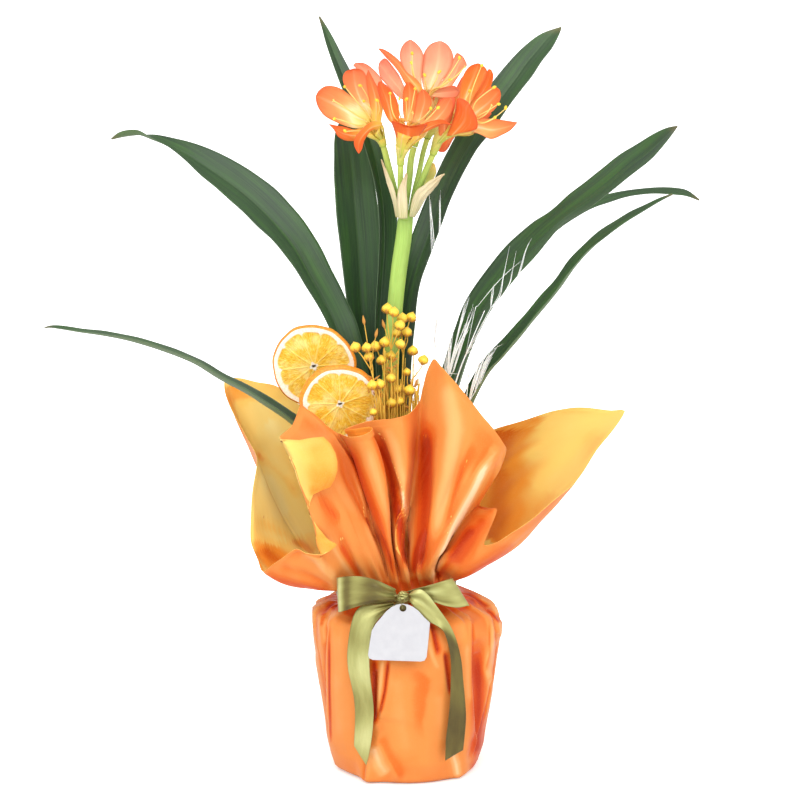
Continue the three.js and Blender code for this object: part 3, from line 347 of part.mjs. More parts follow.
const group = new THREE.Group();
group.name = "clivia";
function piece(name, body, color, rough = 0.6, metal = 0) {
  const parts = body.decompose();
  if (parts.length > 1) {
    parts.sort((a, b) => b.volume() - a.volume());
    console.warn(name, "parts", parts.length, parts.map((p) => p.volume().toFixed(2)).slice(0, 5).join(" "));
    body = parts[0];
  }
  const m = body.getMesh();
  const g = new THREE.BufferGeometry();
  const pos = new Float32Array(m.numVert * 3);
  for (let i = 0; i < m.numVert; i++) for (let k = 0; k < 3; k++) pos[i * 3 + k] = m.vertProperties[i * m.numProp + k];
  g.setAttribute("position", new THREE.BufferAttribute(pos, 3));
  g.setIndex(new THREE.BufferAttribute(new Uint32Array(m.triVerts), 1));
  g.computeVertexNormals();
  const mesh = new THREE.Mesh(g, new THREE.MeshStandardMaterial({ color, roughness: rough, metalness: metal }));
  mesh.name = name;
  group.add(mesh);
  return body;
}

// ---------------------------------------------------------------- pot, soil, crown
const slope = (POT_R1 - POT_R0) / POT_H;
const potR = (z) => POT_R0 + slope * (z - POT_Z0);
let pot = lathe([[0, POT_Z0], [POT_R0, POT_Z0], [potR(106), 106], [POT_LIP, 107], [POT_LIP, POT_H], [POT_LIP - 1.6, POT_H],
  [POT_LIP - 1.6, 108.6], [potR(106) - POT_WALL, 107.4], [POT_R0 - POT_WALL, POT_Z0 + POT_WALL], [0, POT_Z0 + POT_WALL]], 40);
for (let k = 0; k < 5; k++) {
  const a = (k / 5) * 2 * Math.PI + 0.3;
  pot = pot.subtract(Manifold.cylinder(6, 4, 4, 8).translate([36 * Math.cos(a), 36 * Math.sin(a), POT_Z0 - 2]));
}
piece("nursery_pot", pot, "#7b4a2e", 0.7);

const crown = lathe([[0, CROWN.z1], [CROWN.rx - 3, CROWN.z1], [CROWN.rx, CROWN.z1 - 4], [CROWN.rx * 0.96, 104], [CROWN.rx * 0.6, CROWN.z0], [0, CROWN.z0]], 24, CROWN.x, CROWN.y, CROWN.ry / CROWN.rx);
piece("plant_crown", crown, "#9aa46a", 0.7);

// ---------------------------------------------------------------- trimmings that stand in the soil
const stickSolids = [];      // each: [path, radius] used again to sink its hole in the soil
const stick = (path, radii, n, sides) => { stickSolids.push([path, Math.max(...radii.slice(0, 3))]); return tube(path, radii, n, sides); };

const trims = {};
for (const [name, f] of Object.entries(FLAX)) {
  const path = [f.root, add(f.root, [0, 0, 14]), ...f.fork];
  let b = stick(path, path.map((_, i) => (i < 3 ? 1.0 : 0.8)), 7, 5);
  const stem = spline(path, 33);
  const join = (p, r0) => {
    // a branch leaves the stem some way below its pod
    let k = 32;
    while (k > 14 && (stem[k][2] > p[2] - 14 || len(sub(stem[k], p)) < 16)) k--;
    const s = stem[k], m = add(lerp(s, p, 0.55), mul(unit(sub(p, stem[32])), 1.2));
    return tube([s, m, p], [r0, r0 * 0.9, r0 * 0.8], 3, 4);
  };
  for (const [p, r] of f.pods) b = b.add(join(p, 0.55)).add(ball(p, r, 8));
  for (const p of f.tips) b = b.add(join(p, 0.5)).add(drop(lerp(stem[32], p, 0.72), p, 1.3));
  trims[name] = tidy(b, [0.12, 0.1, 0.14, 0.08, 0.16, 0.06]);
}
for (const [name, g] of Object.entries(GRASS)) {
  const path = [g.root, add(g.root, [0, 0, 14]), ...g.pts];
  trims[name] = stick(path, [g.rad[0], ...g.rad], 12, 6);
}
for (const [name, p] of Object.entries(PICKS)) {
  const path = [...p].reverse();
  trims[name] = stick(path, path.map(() => 1.2), 7, 6);
}

// ---------------------------------------------------------------- soil
let soil = lathe([[0, SOIL_Z0], [potR(SOIL_Z0) - POT_WALL - 0.5, SOIL_Z0], [potR(SOIL_TOP) - POT_WALL - 0.45, SOIL_TOP], [0, SOIL_TOP + 0.6]], 36);
soil = soil.subtract(lathe([[0, 140], [CROWN.rx + GAP, 140], [CROWN.rx + GAP, 104], [CROWN.rx * 0.6 + GAP, CROWN.z0 - GAP], [0, CROWN.z0 - GAP]], 24, CROWN.x, CROWN.y, (CROWN.ry + GAP) / (CROWN.rx + GAP)));
for (const [path, r] of stickSolids) {
  const p0 = path[0], dir = unit(sub(path[0], path[1]));
  soil = soil.subtract(tube([add(p0, mul(dir, 0.5)), p0, path[1], lerp(path[1], path[2], 0.5)], [r + 0.45, r + 0.45, r + 0.45, r + 0.45], 5, 6));
}
piece("potting_soil", soil, "#3a2a1e", 0.95);

// ---------------------------------------------------------------- leaves
for (const [name, rows] of Object.entries(LEAVES)) {
  const side = name === "leaf_far_left" || name === "leaf_left_arch" ? -1 : 1;
  piece(name, strap(rows, Math.round(rows.length * 1.05), LEAF_T, side, 0.45), "#3f6b3c", 0.45);
}

// ---------------------------------------------------------------- scape, bracts, pedicels, bud
piece("flower_scape", tube(PATHS.flower_scape, [6.2, 6.2, 6.2, 6.2, 6.2, 6.2, 6.2, 6.3, 6.3, 5.8], 14, 12, 0.72), "#a4c65f", 0.5);
piece("pedicel_left", tube(PATHS.pedicel_left, [1.9, 2.1, 2.3, 2.4, 2.4, 2.2], 7, 8), "#a9c95f", 0.5);
piece("pedicel_front", tube(PATHS.pedicel_front, [1.8, 2.1, 2.2, 2.2, 2.2], 6, 8), "#a9c95f", 0.5);
piece("pedicel_top", tube(PATHS.pedicel_top, [1.9, 2.4, 2.6, 2.5, 2.4], 6, 8), "#a9c95f", 0.5);
piece("pedicel_back", tube(PATHS.pedicel_back, [1.8, 2.0, 2.0, 2.0, 2.1], 6, 8), "#8fae55", 0.5);
piece("pedicel_right", tube(PATHS.pedicel_right, [1.8, 2.2, 2.4, 2.4, 2.3], 6, 8), "#a9c95f", 0.5);
piece("flower_bud", tube(PATHS.flower_bud, [1.3, 1.4, 2.6, 3.7, 1.0], 9, 8), "#9dbb5c", 0.5);
for (const [name, rows] of Object.entries(BRACTS)) piece(name, strap(rows, 7, 0.6, -1, 0.8), "#cdb482", 0.8);

// ---------------------------------------------------------------- flowers: hollow funnel, six tepals, stamens, style
const cupWall = 0.9;
for (const [name, f] of Object.entries(FLOWERS)) {
  const n = 5;
  const S = spline(f.tube, n), R = spline(f.rad.map((r) => [r]), n).map((r) => r[0]);
  const frame = (i) => {
    const t = unit(sub(S[Math.min(n - 1, i + 1)], S[Math.max(0, i - 1)]));
    const b = unit(cross(t, Math.abs(t[1]) > 0.9 ? [1, 0, 0] : [0, 1, 0]));
    return [t, b, cross(t, b)];
  };
  const [t1, b1, c1] = frame(n - 1), mouth = S[n - 1];
  const teps = Object.values(f.tepals).map((rows) => {
    const m = sub(lerp(rows[2].slice(0, 3), rows[2].slice(3, 6), 0.5), mouth);
    return { rows, phi: Math.atan2(dot(m, c1), dot(m, b1)) };
  }).sort((p, q) => p.phi - q.phi);
  let sx = 0, sy = 0;
  teps.forEach((q, k) => { const e = q.phi - (k * Math.PI) / 3; sx += Math.cos(e); sy += Math.sin(e); });
  const off = Math.atan2(sy, sx), ang = [];
  for (let k = 0; k < 6; k++) for (const j of [-1, 0, 1]) ang.push(off + (k * Math.PI) / 3 + j * 20 * RAD);
  const v = [], t = [];
  const ring = (i, r, sh = 0) => {
    const [tt, b, c] = frame(i), s0 = v.length;
    for (const a of ang) v.push(add(add(S[i], mul(tt, sh)), add(mul(b, Math.cos(a) * r), mul(c, Math.sin(a) * r))));
    return s0;
  };
  const N = 18, quad = (p, q, r, s) => t.push([p, q, r], [p, r, s]);
  const O = [], I = [];
  for (let i = 0; i < n; i++) O.push(ring(i, R[i], i === 0 ? 0.35 : 0));
  for (let i = 0; i < n; i++) I.push(i < 2 ? -1 : ring(i, Math.max(0.4, R[i] - cupWall), i === 2 ? 0.6 : 0));
  for (let i = 0; i + 1 < n; i++) for (let m = 0; m < N; m++) quad(O[i] + m, O[i] + (m + 1) % N, O[i + 1] + (m + 1) % N, O[i + 1] + m);
  for (let i = n - 1; i > 2; i--) for (let m = 0; m < N; m++) quad(I[i] + m, I[i] + (m + 1) % N, I[i - 1] + (m + 1) % N, I[i - 1] + m);
  const cA = v.length; v.push(add(S[0], mul(frame(0)[0], 0.35))); v.push(add(S[2], mul(frame(2)[0], 0.6)));
  for (let m = 0; m < N; m++) { t.push([O[0] + (m + 1) % N, O[0] + m, cA]); t.push([I[2] + m, I[2] + (m + 1) % N, cA + 1]); }
  for (let k = 0; k < 6; k++) {
    const m0 = 3 * k, o = O[n - 1], w0 = I[n - 1], g = (m0 + 3) % N;
    quad(o + m0 + 2, o + g, w0 + g, w0 + m0 + 2);
    let loop = [o + m0, o + m0 + 1, o + m0 + 2, w0 + m0 + 2, w0 + m0 + 1, w0 + m0];
    const A0 = v[o + m0], B0 = v[o + m0 + 2];
    let rows = teps[k].rows;
    if (dot(sub(B0, A0), sub(rows[1].slice(3, 6), rows[1].slice(0, 3))) < 0) rows = rows.map((q) => [...q.slice(3, 6), ...q.slice(0, 3), q[6]]);
    const st = spline([[...A0, ...B0, 0.5], ...rows], 6);
    for (let s = 1; s < 6; s++) {
      const A = st[s].slice(0, 3), B = st[s].slice(3, 6), P = st[s - 1], Q = st[Math.min(5, s + 1)];
      const tan = unit(sub(lerp(Q.slice(0, 3), Q.slice(3, 6), 0.5), lerp(P.slice(0, 3), P.slice(3, 6), 0.5)));
      const out = unit(cross(unit(sub(B, A)), tan)), M = add(lerp(A, B, 0.5), mul(out, st[s][6])), h = TEPAL_T * (name === "top" ? 0.57 : 0.5);
      const s0 = v.length;
      v.push(add(A, mul(out, h * 0.7)), add(M, mul(out, h)), add(B, mul(out, h * 0.7)), sub(B, mul(out, h * 0.7)), sub(M, mul(out, h)), sub(A, mul(out, h * 0.7)));
      for (let l = 0; l < 6; l++) quad(loop[l], loop[(l + 1) % 6], s0 + (l + 1) % 6, s0 + l);
      loop = [0, 1, 2, 3, 4, 5].map((l) => s0 + l);
    }
    const cc = v.length; v.push(loop.map((l) => v[l]).reduce((x, y) => add(x, y), [0, 0, 0]).map((q) => q / 6));
    for (let l = 0; l < 6; l++) t.push([loop[l], loop[(l + 1) % 6], cc]);
  }
  let body = solid(v, t);
  const hub = S[2];
  for (const st of f.stamens) {
    const p = [hub, lerp(hub, st[0], 0.6), ...st], e = p[p.length - 1], d = unit(sub(e, p[p.length - 2]));
    body = body.add(tube(p, p.map(() => 0.5), 4, 3));
    body = body.add(spindle(sub(e, mul(d, 0.9)), add(e, mul(d, 2.6)), 1.15));
  }
  body = body.add(tube([hub, ...f.style], [0.6, 0.5, 0.5, 0.5, 0.5], 4, 3));
  piece("flower_" + name, tidy(body, [0.05, 0.08, 0.1, 0.12, 0.03, 0.15, 0.02, 0.01]), "#ee6a2a", 0.5);
}

// ---------------------------------------------------------------- dried orange slices
for (const [name, s] of Object.entries(SLICES)) {
  const yw = s.yaw * RAD, pt = s.pitch * RAD;
  const nn = [Math.sin(yw) * Math.cos(pt), -Math.cos(yw) * Math.cos(pt), Math.sin(pt)];
  const ex = unit(cross([0, 0, 1], nn)), ez = cross(nn, ex);
  const seg = 24, rings = [];
  const prof = [[0.35, 1.5], [0.8, 1.3], [0.965, 2.3], [1.0, 1.6], [1.0, -1.6], [0.965, -2.3], [0.8, -1.3], [0.35, -1.5]];
  for (const [k, h] of prof) {
    const ring = [];
    for (let j = 0; j < seg; j++) {
      const a = (j / seg) * 2 * Math.PI, r = s.r * k * (1 + 0.012 * Math.sin(3 * a + 1) + 0.008 * Math.sin(7 * a));
      const warp = 1.2 * k * k * Math.sin(2 * a + 0.6);
      ring.push(add(s.c, add(add(mul(ex, r * Math.cos(a)), mul(ez, r * Math.sin(a))), mul(nn, h + warp))));
    }
    rings.push(ring);
  }
  trims[name] = loft(rings);
}
const trimColor = (n) => n.startsWith("flax") ? "#e6b93f" : n.startsWith("grass") ? "#efeee6" : n.startsWith("slice") ? "#c9a574" : "#e2922f";
for (const [name, b] of Object.entries(trims)) piece(name, b, trimColor(name), 0.7);

// ---------------------------------------------------------------- paper wrap: one sheet, gathered at the neck
const neckZ = (x) => NECK.z + (x - NECK.x) * NECK.slope;
{
  const cols = COLLAR.filter((c) => c.cad);
  const S = [];
  for (const c of cols) {
    const a = c.th * RAD, ca = Math.cos(a), sa = Math.sin(a), st = [];
    const side = 0.5 - 0.5 * ca;                       // 1 on the left, 0 on the right
    st.push([BAG_R0 * ca, BAG_R0 * sa, PAPER_T / 2]);
    for (const [z, rl, rr] of BAG) { const r = rl * side + rr * (1 - side); st.push([r * ca, r * sa, z]); }
    const nx = NECK.x + NECK.rx * ca, ny = NECK.ry * sa, nz = neckZ(nx);
    st.push([nx * 1.0, ny * 1.0, nz - NECK.half], [nx, ny, nz + NECK.half]);
    const pts = [[nx, ny, nz + NECK.half], ...c.p.slice(0, c.ridge + 1)];
    const m = spline(pts, 13);
    const L = [0]; for (let i = 1; i < 13; i++) L.push(L[i - 1] + len(sub(m[i], m[i - 1])));
    const at = (s) => { let i = 1; while (i < 12 && L[i] < s * L[12]) i++; return lerp(m[i - 1], m[i], (s * L[12] - L[i - 1]) / (L[i] - L[i - 1])); };
    st.push(at(0.34), at(0.68), at(1));
    S.push(st);
  }
  const N = S.length, M = S[0].length;
  const fn = (i, j) => { // normal of quad (i,j)
    const a = S[i][j], b = S[(i + 1) % N][j], c = S[(i + 1) % N][j + 1], d = S[i][j + 1];
    return unit(cross(sub(c, a), sub(d, b)));
  };
  const vn = (i, j) => {
    let n = [0, 0, 0];
    for (const di of [-1, 0]) for (const dj of [-1, 0]) {
      const jj = j + dj; if (jj < 0 || jj > M - 2) continue;
      n = add(n, fn((i + di + N) % N, jj));
    }
    return unit(n);
  };
  const v = [], t = [], O = [], I = [];
  for (let i = 0; i < N; i++) {
    O.push([]); I.push([]);
    for (let j = 0; j < M; j++) {
      const n = j === 0 ? [0, 0, -1] : vn(i, j), h = PAPER_T / 2;
      O[i].push(v.length); v.push(j === 0 ? [S[i][0][0], S[i][0][1], 0] : add(S[i][j], mul(n, h)));
      const k = j === 0 ? (BAG_R0 - 0.9) / BAG_R0 : 1;
      I[i].push(v.length); v.push(j === 0 ? [S[i][0][0] * k, S[i][0][1] * k, PAPER_T] : sub(S[i][j], mul(n, h)));
    }
  }
  const c0 = v.length; v.push([0, 0, 0], [0, 0, PAPER_T]);
  for (let i = 0; i < N; i++) {
    const k = (i + 1) % N;
    for (let j = 0; j + 1 < M; j++) {
      t.push([O[i][j], O[k][j], O[k][j + 1]], [O[i][j], O[k][j + 1], O[i][j + 1]]);
      t.push([I[i][j], I[k][j + 1], I[k][j]], [I[i][j], I[i][j + 1], I[k][j + 1]]);
    }
    t.push([O[i][M - 1], O[k][M - 1], I[k][M - 1]], [O[i][M - 1], I[k][M - 1], I[i][M - 1]]);
    t.push([c0, O[k][0], O[i][0]], [c0 + 1, I[i][0], I[k][0]]);
  }
  piece("paper_wrap", solid(v, t), "#f0822f", 0.6);
}

// ---------------------------------------------------------------- ribbon
{
  const seg = 56, g = PAPER_T / 2 + 0.45, rings = [];
  const prof = [[0, -BAND_H / 2], [BAND_T, -BAND_H / 2], [BAND_T, BAND_H / 2], [0, BAND_H / 2]];
  const v = [], t = [];
  for (const [d, h] of prof) for (let j = 0; j < seg; j++) {
    const a = (j / seg) * 2 * Math.PI, x = NECK.x + (NECK.rx + g + d) * Math.cos(a), y = (NECK.ry + g + d) * Math.sin(a);
    v.push([x, y, neckZ(x) + h]);
  }
  for (let i = 0; i < 4; i++) for (let j = 0; j < seg; j++) {
    const k = (i + 1) % 4, a = i * seg + j, b = i * seg + (j + 1) % seg, c = k * seg + j, d = k * seg + (j + 1) % seg;
    t.push([a, b, d], [a, d, c]);
  }
  piece("ribbon_band", solid(v, t), "#9a9658", 0.35);
}
for (const [name, rows] of Object.entries(RIBBON)) piece(name, strap(rows, Math.round(rows.length * 1.25), RIBBON_T, 1, 1), "#9a9658", 0.35);
piece("ribbon_knot", tube(KNOT.path, KNOT.rad, 7, 10, 0.8), "#8c8a4e", 0.35);

// ---------------------------------------------------------------- tag and its thread
{
  const o = TAG.out, n = o.length;
  const nn = unit(cross(sub(o[Math.floor(n / 3)], o[0]), sub(o[Math.floor((2 * n) / 3)], o[0])));
  const f = nn[1] > 0 ? mul(nn, -1) : nn;
  const ex = unit(cross([0, 0, 1], f)), ez = cross(f, ex), org = o[0];
  const flat = o.map((p) => [dot(sub(p, org), ex), dot(sub(p, org), ez)]);
  const hc = [dot(sub(TAG.hole, org), ex), dot(sub(TAG.hole, org), ez)];
  const cs = new CrossSection([flat], "NonZero").subtract(CrossSection.circle(TAG.r, 16).translate(hc));
  const b = Manifold.extrude(cs, TAG_T).translate([0, 0, -TAG_T / 2]);
  const m = [ex[0], ex[1], ex[2], 0, ez[0], ez[1], ez[2], 0, f[0], f[1], f[2], 0, org[0], org[1], org[2], 1];
  let tb = b.transform(m);
  piece("gift_tag", tb, "#f2f2f4", 0.55);
}
piece("tag_cord", tube(TAG.cord, TAG.cord.map(() => 0.45), 13, 6), "#efe8d8", 0.7);

export default group;
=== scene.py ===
"""Clivia in its gift-wrapped pot: the looks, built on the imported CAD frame.

Tables are millimetres in the part's own frame: +Z up, origin on the floor under the centre of the pot.
Every piece is made as a closed mesh by the functions below and gets a procedural material.
"""
import math
import bpy
import bmesh
import numpy as np
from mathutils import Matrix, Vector
from mathutils.geometry import tessellate_polygon


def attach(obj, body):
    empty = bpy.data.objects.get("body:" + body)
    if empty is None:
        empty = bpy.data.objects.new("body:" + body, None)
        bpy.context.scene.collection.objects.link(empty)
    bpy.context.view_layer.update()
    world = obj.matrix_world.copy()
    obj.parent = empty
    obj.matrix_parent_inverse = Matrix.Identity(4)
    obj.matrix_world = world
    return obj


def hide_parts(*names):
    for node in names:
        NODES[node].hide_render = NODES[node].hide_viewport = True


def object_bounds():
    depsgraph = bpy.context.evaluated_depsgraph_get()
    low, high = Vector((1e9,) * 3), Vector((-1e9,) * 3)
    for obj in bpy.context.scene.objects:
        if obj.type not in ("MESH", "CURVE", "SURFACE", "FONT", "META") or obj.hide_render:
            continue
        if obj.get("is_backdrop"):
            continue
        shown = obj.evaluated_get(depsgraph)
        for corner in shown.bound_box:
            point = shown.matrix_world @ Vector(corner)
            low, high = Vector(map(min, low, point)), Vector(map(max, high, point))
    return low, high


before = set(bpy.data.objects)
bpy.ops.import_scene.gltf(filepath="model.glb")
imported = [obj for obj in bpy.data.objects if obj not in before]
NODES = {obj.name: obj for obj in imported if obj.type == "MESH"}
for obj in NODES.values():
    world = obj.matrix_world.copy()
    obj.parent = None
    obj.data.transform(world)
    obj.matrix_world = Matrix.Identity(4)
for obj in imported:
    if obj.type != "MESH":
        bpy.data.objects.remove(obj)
CAD_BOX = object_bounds()
NECK = dict(x=-9.0, rx=48.0, ry=44.0, z=149.0, slope=0.09, half=6.0)
BAG = [(5, 59.3, 58.0), (18, 64.4, 62.2), (55, 67.4, 67.0), (95, 71.6, 71.8), (119, 75.4, 75.0), (131, 75.2, 70.2)]
BAG_R0 = 53.5
SOIL_TOP = 105.4
# the studio camera: where it stands, what it looks at, and how points fall in an 800 x 800 frame
CAM = np.array([-6.0, -2166.6, 684.0])
EL = math.radians(10.0)


def project(P):
    """mm -> frame px (x right, y down) for arrays (..., 3)."""
    P = np.asarray(P, float)
    d = P - CAM
    depth = d[..., 1] * math.cos(EL) - d[..., 2] * math.sin(EL)
    up = d[..., 1] * math.sin(EL) + d[..., 2] * math.cos(EL)
    return np.stack([400 + 2750 * d[..., 0] / depth, 400 - 2750 * up / depth], -1)


def place(px, py, y):
    """frame px and a depth y (mm) -> the point there."""
    a, b = (px - 400) / 2750.0, (400 - py) / 2750.0
    # up = b*depth with depth = P*cos - w*sin, up = P*sin + w*cos
    P = y - CAM[1]
    c, s = math.cos(EL), math.sin(EL)
    w = P * (b * c - s) / (c + b * s)
    depth = P * c - w * s
    return np.array([CAM[0] + a * depth, y, CAM[2] + w])


# ------------------------------------------------------------------ shape tables (mm)
LEAVES = {"leaf_far_left":[[-20,11,126.5,-20,-7,126.5,1.5],[-19.8,8,163.8,-21.3,-12,166.9,2.5],[-24.6,4,194.6,-27.6,-20,196.7,3.5],[-38.1,-2,231.3,-42.5,-29,232.1,4.5],[-58.9,-4,
262.8,-62.2,-31,263.3,5],[-77.8,-10,282.7,-80.1,-37,282.9,5],[-94.1,-18,297.5,-95.4,-45,298,5],[-109.2,-25,308.7,-109.9,-51,309,4.6],[-123.1,-30,318.1,-123.2,-56,319,
4.2],[-144.9,-37,330,-144.5,-62,331.8,3.6],[-165.5,-43,343.7,-164.6,-66,345.1,3.2],[-190,-48,354,-188.7,-68,354.8,2.8],[-214.4,-52,361.7,-212.8,-69,362,2.4],[-235.7,-56,
366.2,-234.2,-70,366,2],[-253.9,-59,369,-252.6,-70,368.3,1.7],[-269,-62,371.5,-268,-70,370.3,1.4],[-276.4,-64,371.7,-275.8,-69,370.9,0.8],[-280.8,-66,370.4,-280.7,-67,
369.9,0.1]],"leaf_left_arch":[[-14.5,13,126.5,-14.5,-8,126.5,1.5],[-14.9,12,162.8,-16.1,-9,164.5,2.5],[-17.3,10,197.4,-21.2,-12,199,4],[-24.5,2,244.5,-33.1,-22,244.5,6],
[-27.6,-2,294.2,-41.6,-26,290.5,7],[-32.4,3,332.3,-49.4,-24,328.7,8],[-38.7,5.5,357,-57.3,-21,353,8],[-45.5,10,374.9,-64.4,-17,368.3,8],[-54,16,391.8,-73.2,-12,383.6,8],
[-63.7,22.5,410.3,-83.6,-6,399.5,8],[-76.2,30,432.8,-94.9,2,415.3,8],[-89.6,37,449.8,-107.8,10,429.5,8],[-105.1,44.5,465.5,-121.7,18,441.4,7.5],[-122.3,52,478.1,-136.4,
27,454.4,7],[-140.4,60,488.3,-151.3,36.5,466.3,6.2],[-159.4,67.5,496.6,-166.3,46.5,477.6,5.4],[-177.8,75,502.5,-180.6,56,489.5,4.4],[-193.8,82,505.4,-194.2,66,499.2,3.4],
[-205.6,87,507,-207.8,74,505.2,2.6],[-215,91,506.7,-218,80,510.8,2],[-224.4,95,505.7,-226.7,86,511.2,1.4],[-233.8,98,504.2,-236.4,92,508.7,0.9],[-243.1,100,502,-243.8,99,
503.1,0.1]],"leaf_upright_left":[[-9.5,-6,126.5,-9.5,14,126.5,1.5],[-10,-3,166.4,-7.6,16,161.9,2],[-16.9,4,215.3,-10.1,20,211.8,3],[-26.5,9,267.7,-14.9,22,265.2,4],
[-35.7,9,308.6,-18.1,23,306.1,5],[-42.1,12,340.6,-20.5,26,338.4,5.5],[-46.1,15,364.5,-21.3,29,362.4,5.5],[-49.3,18,383.4,-21.3,32,381.5,5.5],[-52.1,22,405.5,-21.3,35,
403.9,5.5],[-54.5,26,425.2,-21.7,38,423.8,5.3],[-56.5,29,441.8,-22.5,41,440.4,5.2],[-58,33,459,-24.5,44,457.9,5],[-59,38,477.8,-27.4,49,476.8,4.6],[-59,43,493.4,-30.6,54,
492.5,4.2],[-58.9,48,504.3,-33.5,59,504.2,3.8],[-57.6,53,513.5,-36.7,63,514.4,3],[-53.6,59,521.1,-40,66,522.6,1.8],[-46.5,66,528,-44.9,67,528.1,0.1]],
"leaf_upright_tall":[[-4.5,-7,126.5,-4.5,13,126.5,1.5],[-6,-5,166.9,-3.6,15,162.1,2.5],[-13.2,-3,216.8,-7.6,14,213.1,5],[-18.8,-1,269.6,-10,13,266.9,8],[-23.6,1,309.9,
-10.8,13,307.9,9],[-25.6,3,342,-10.4,13,340.4,9.5],[-25.9,4.5,364.4,-9.6,13,363.1,10],[-24.9,6,383.5,-8.8,14,382.4,10],[-23.5,8.5,405.6,-8,15,404.8,10],[-22.5,11.5,426.9,
-7.6,17,426.3,10],[-22.6,14,443.4,-8,19,442.9,10],[-23.9,17,460.7,-9.6,22,460.2,9.5],[-26.9,20,476.3,-12,25,475.9,9],[-30.9,24,491.9,-15.2,29,493.1,8],[-35.5,28,506.7,
-19.6,34,508.6,7],[-40.7,33,519.8,-25.2,39,521.8,6],[-46.4,38,533,-32.4,44,535.4,5],[-52.4,44,547.4,-39.7,50,550.2,4],[-57.3,50,559.8,-46.6,55,562.3,3],[-61.8,55,571.5,
-52.3,60,572.8,2.2],[-65.6,60,582.4,-57.9,64,583.4,1.5],[-68.5,65,592.9,-64,67.5,594,0.7],[-71.6,69.5,603.2,-70.5,70,603.9,0.1]],"leaf_upright_right":[[2,14,126.5,2,-7,
126.5,1.5],[1.3,16,161.9,2.1,-5,166.9,2.5],[-2.7,20,211.8,1.2,-1,218,3.5],[-10.1,24,264.8,1.2,3,270.5,4.5],[-13.3,27,305.5,2,6,310.7,5],[-14.1,29,337.9,4,8,342.8,5.5],
[-13.3,30,358.2,6,10,362,5.5],[-11.2,31,376.8,7.7,12,381,5.5],[-8,32,392.9,11,13,397,5.5],[-3.6,33.5,408.9,16.4,15,412.9,5.5],[1.2,35,423.3,21.8,17,427.1,5.5],[6.2,37,
437.7,26.7,19,439.7,5.5],[12.1,40,453.5,32.5,22,455.4,5.5],[18.2,43,466.1,38.2,26,467.8,5.5],[23.6,46,478.7,43.7,30,479.4,5.5],[28.6,49,489.7,50,34,490.2,5.5],[34.3,52,
500.3,56.7,38,500.7,5.3],[41.2,55,512.6,65.4,42,511.2,5.2],[48.5,58,524.4,74.7,46,523.3,5],[57,61,536.3,82.8,50,534.6,4.8],[65.1,64,546.9,91.3,54,545.3,4.4],[73.6,67,
557.6,100.4,58,556.5,3.8],[82.9,70,568.3,108,62,567.7,3.2],[93.8,72.5,579,116.5,66,578.1,2.4],[108,75,589.5,122.4,71,588.7,1.2],[124,76,595.1,124.7,75.4,594.3,0.1]],
"leaf_right_broad":[[13.5,11,126.5,13.5,-9,126.5,1.5],[14.3,12,165.3,14.9,-10,168.1,2.5],[15.9,13,213.3,18,-12,217.1,3.5],[16.6,16,258.1,24.3,-12,258.7,4.5],[23,17,307.2,
35.4,-12,304.9,5],[29.4,17,330,42.4,-12,327.5,5.2],[35,17,347.9,50.3,-12,344.4,5.4],[42.1,17,369.8,58.9,-13,364.6,5.6],[50.4,16,386.5,67.9,-14,379.1,5.8],[61.1,14.5,
402.5,77.6,-16,392.9,6],[72.9,12.5,418,88.4,-18,406.7,6],[85.9,10,431.9,99.2,-21,419.3,5.8],[98.8,7,443.6,110.7,-23,433.3,5.2],[110.4,4,451.7,121.1,-24,445.5,4.4],[120.1,
1,459.9,131.2,-25,452.8,4.2],[129.7,-2,468.9,143,-28,459.8,4.6],[140.3,-6,478,154.3,-31,469.2,4.8],[152.1,-10,487.8,165.9,-35,479.2,4.6],[164.6,-14,498.6,177.6,-38,489,
4.2],[178.1,-19,507.8,188.4,-41,498.8,3.6],[189.9,-25,515.9,196.5,-43,507.8,2.6],[200.1,-32,521.6,203.2,-44,516.7,1.3],[207.5,-42,524.2,207.9,-43.4,523.4,0.1]],
"leaf_right_arch":[[8,13,126.5,8,-7,126.5,1.5],[8.7,18,163.9,8.5,-2,166.2,2.5],[9.5,32,209.2,10.2,14,211.4,4],[19.3,42,261.4,23.2,20,260.6,5],[31.6,47,302,36.8,22,300.6,
5],[43,54,338.1,49.8,30,336.1,5],[56.1,60,366.1,63.6,37,363.7,5],[71.7,66,390.9,79.9,44,388,4.8],[89.8,72,414,98.7,52,410.7,4.4],[108.7,77,431.5,117.6,59,427.8,4],[126.8,
81,444.3,134.9,65,440.2,3.6],[144.2,84,452.6,150.7,71,448.2,3],[161.6,87,457.6,165.7,76,453,2.4],[179,90,460.8,181.5,80,457.3,2.1],[194.9,93,462.5,196.6,84,458.8,1.8],
[209,95,463.3,210.1,88,458.2,1.5],[221.6,97,462.6,221.1,91,457.3,1.2],[231.6,98,460.2,230.5,94,455.8,0.8],[241.4,99,452.9,240.9,98,451.7,0.1]],"leaf_right_low":[[19,8,
126.5,19,-10,126.5,1.5],[19.2,8,166.3,19.7,-14,169,2.5],[22.3,6,214.8,24.4,-18,217.6,4],[29.3,2,260.9,33.7,-22,261.5,5],[42.7,-4,301.1,46.9,-28,299.7,5.5],[56,-9,330.2,
60.1,-32,326.8,5.5],[68.5,-12,346.4,73.3,-35,342.4,5.5],[81,-16,360.2,85.2,-38,357.6,5.2],[92.5,-20,374.6,96.3,-41,372.4,4.8],[104.1,-23,388.7,107.7,-44,386.5,4.4],
[114.7,-27,401.9,118,-46,400.1,4],[125.4,-30,417.7,128.6,-48,415.5,3.8],[137.5,-34,431.5,140.3,-50,429,3.4],[151,-38,443.7,153.6,-52,439.8,2.9],[166.1,-42,454,167.5,-54,
450.5,2.4],[180.4,-46,462.2,181.1,-56,459.3,1.8],[193.1,-50,468.8,193.6,-57,467,1.1],[203.3,-55,473,203.6,-57,472.1,0.1]]}
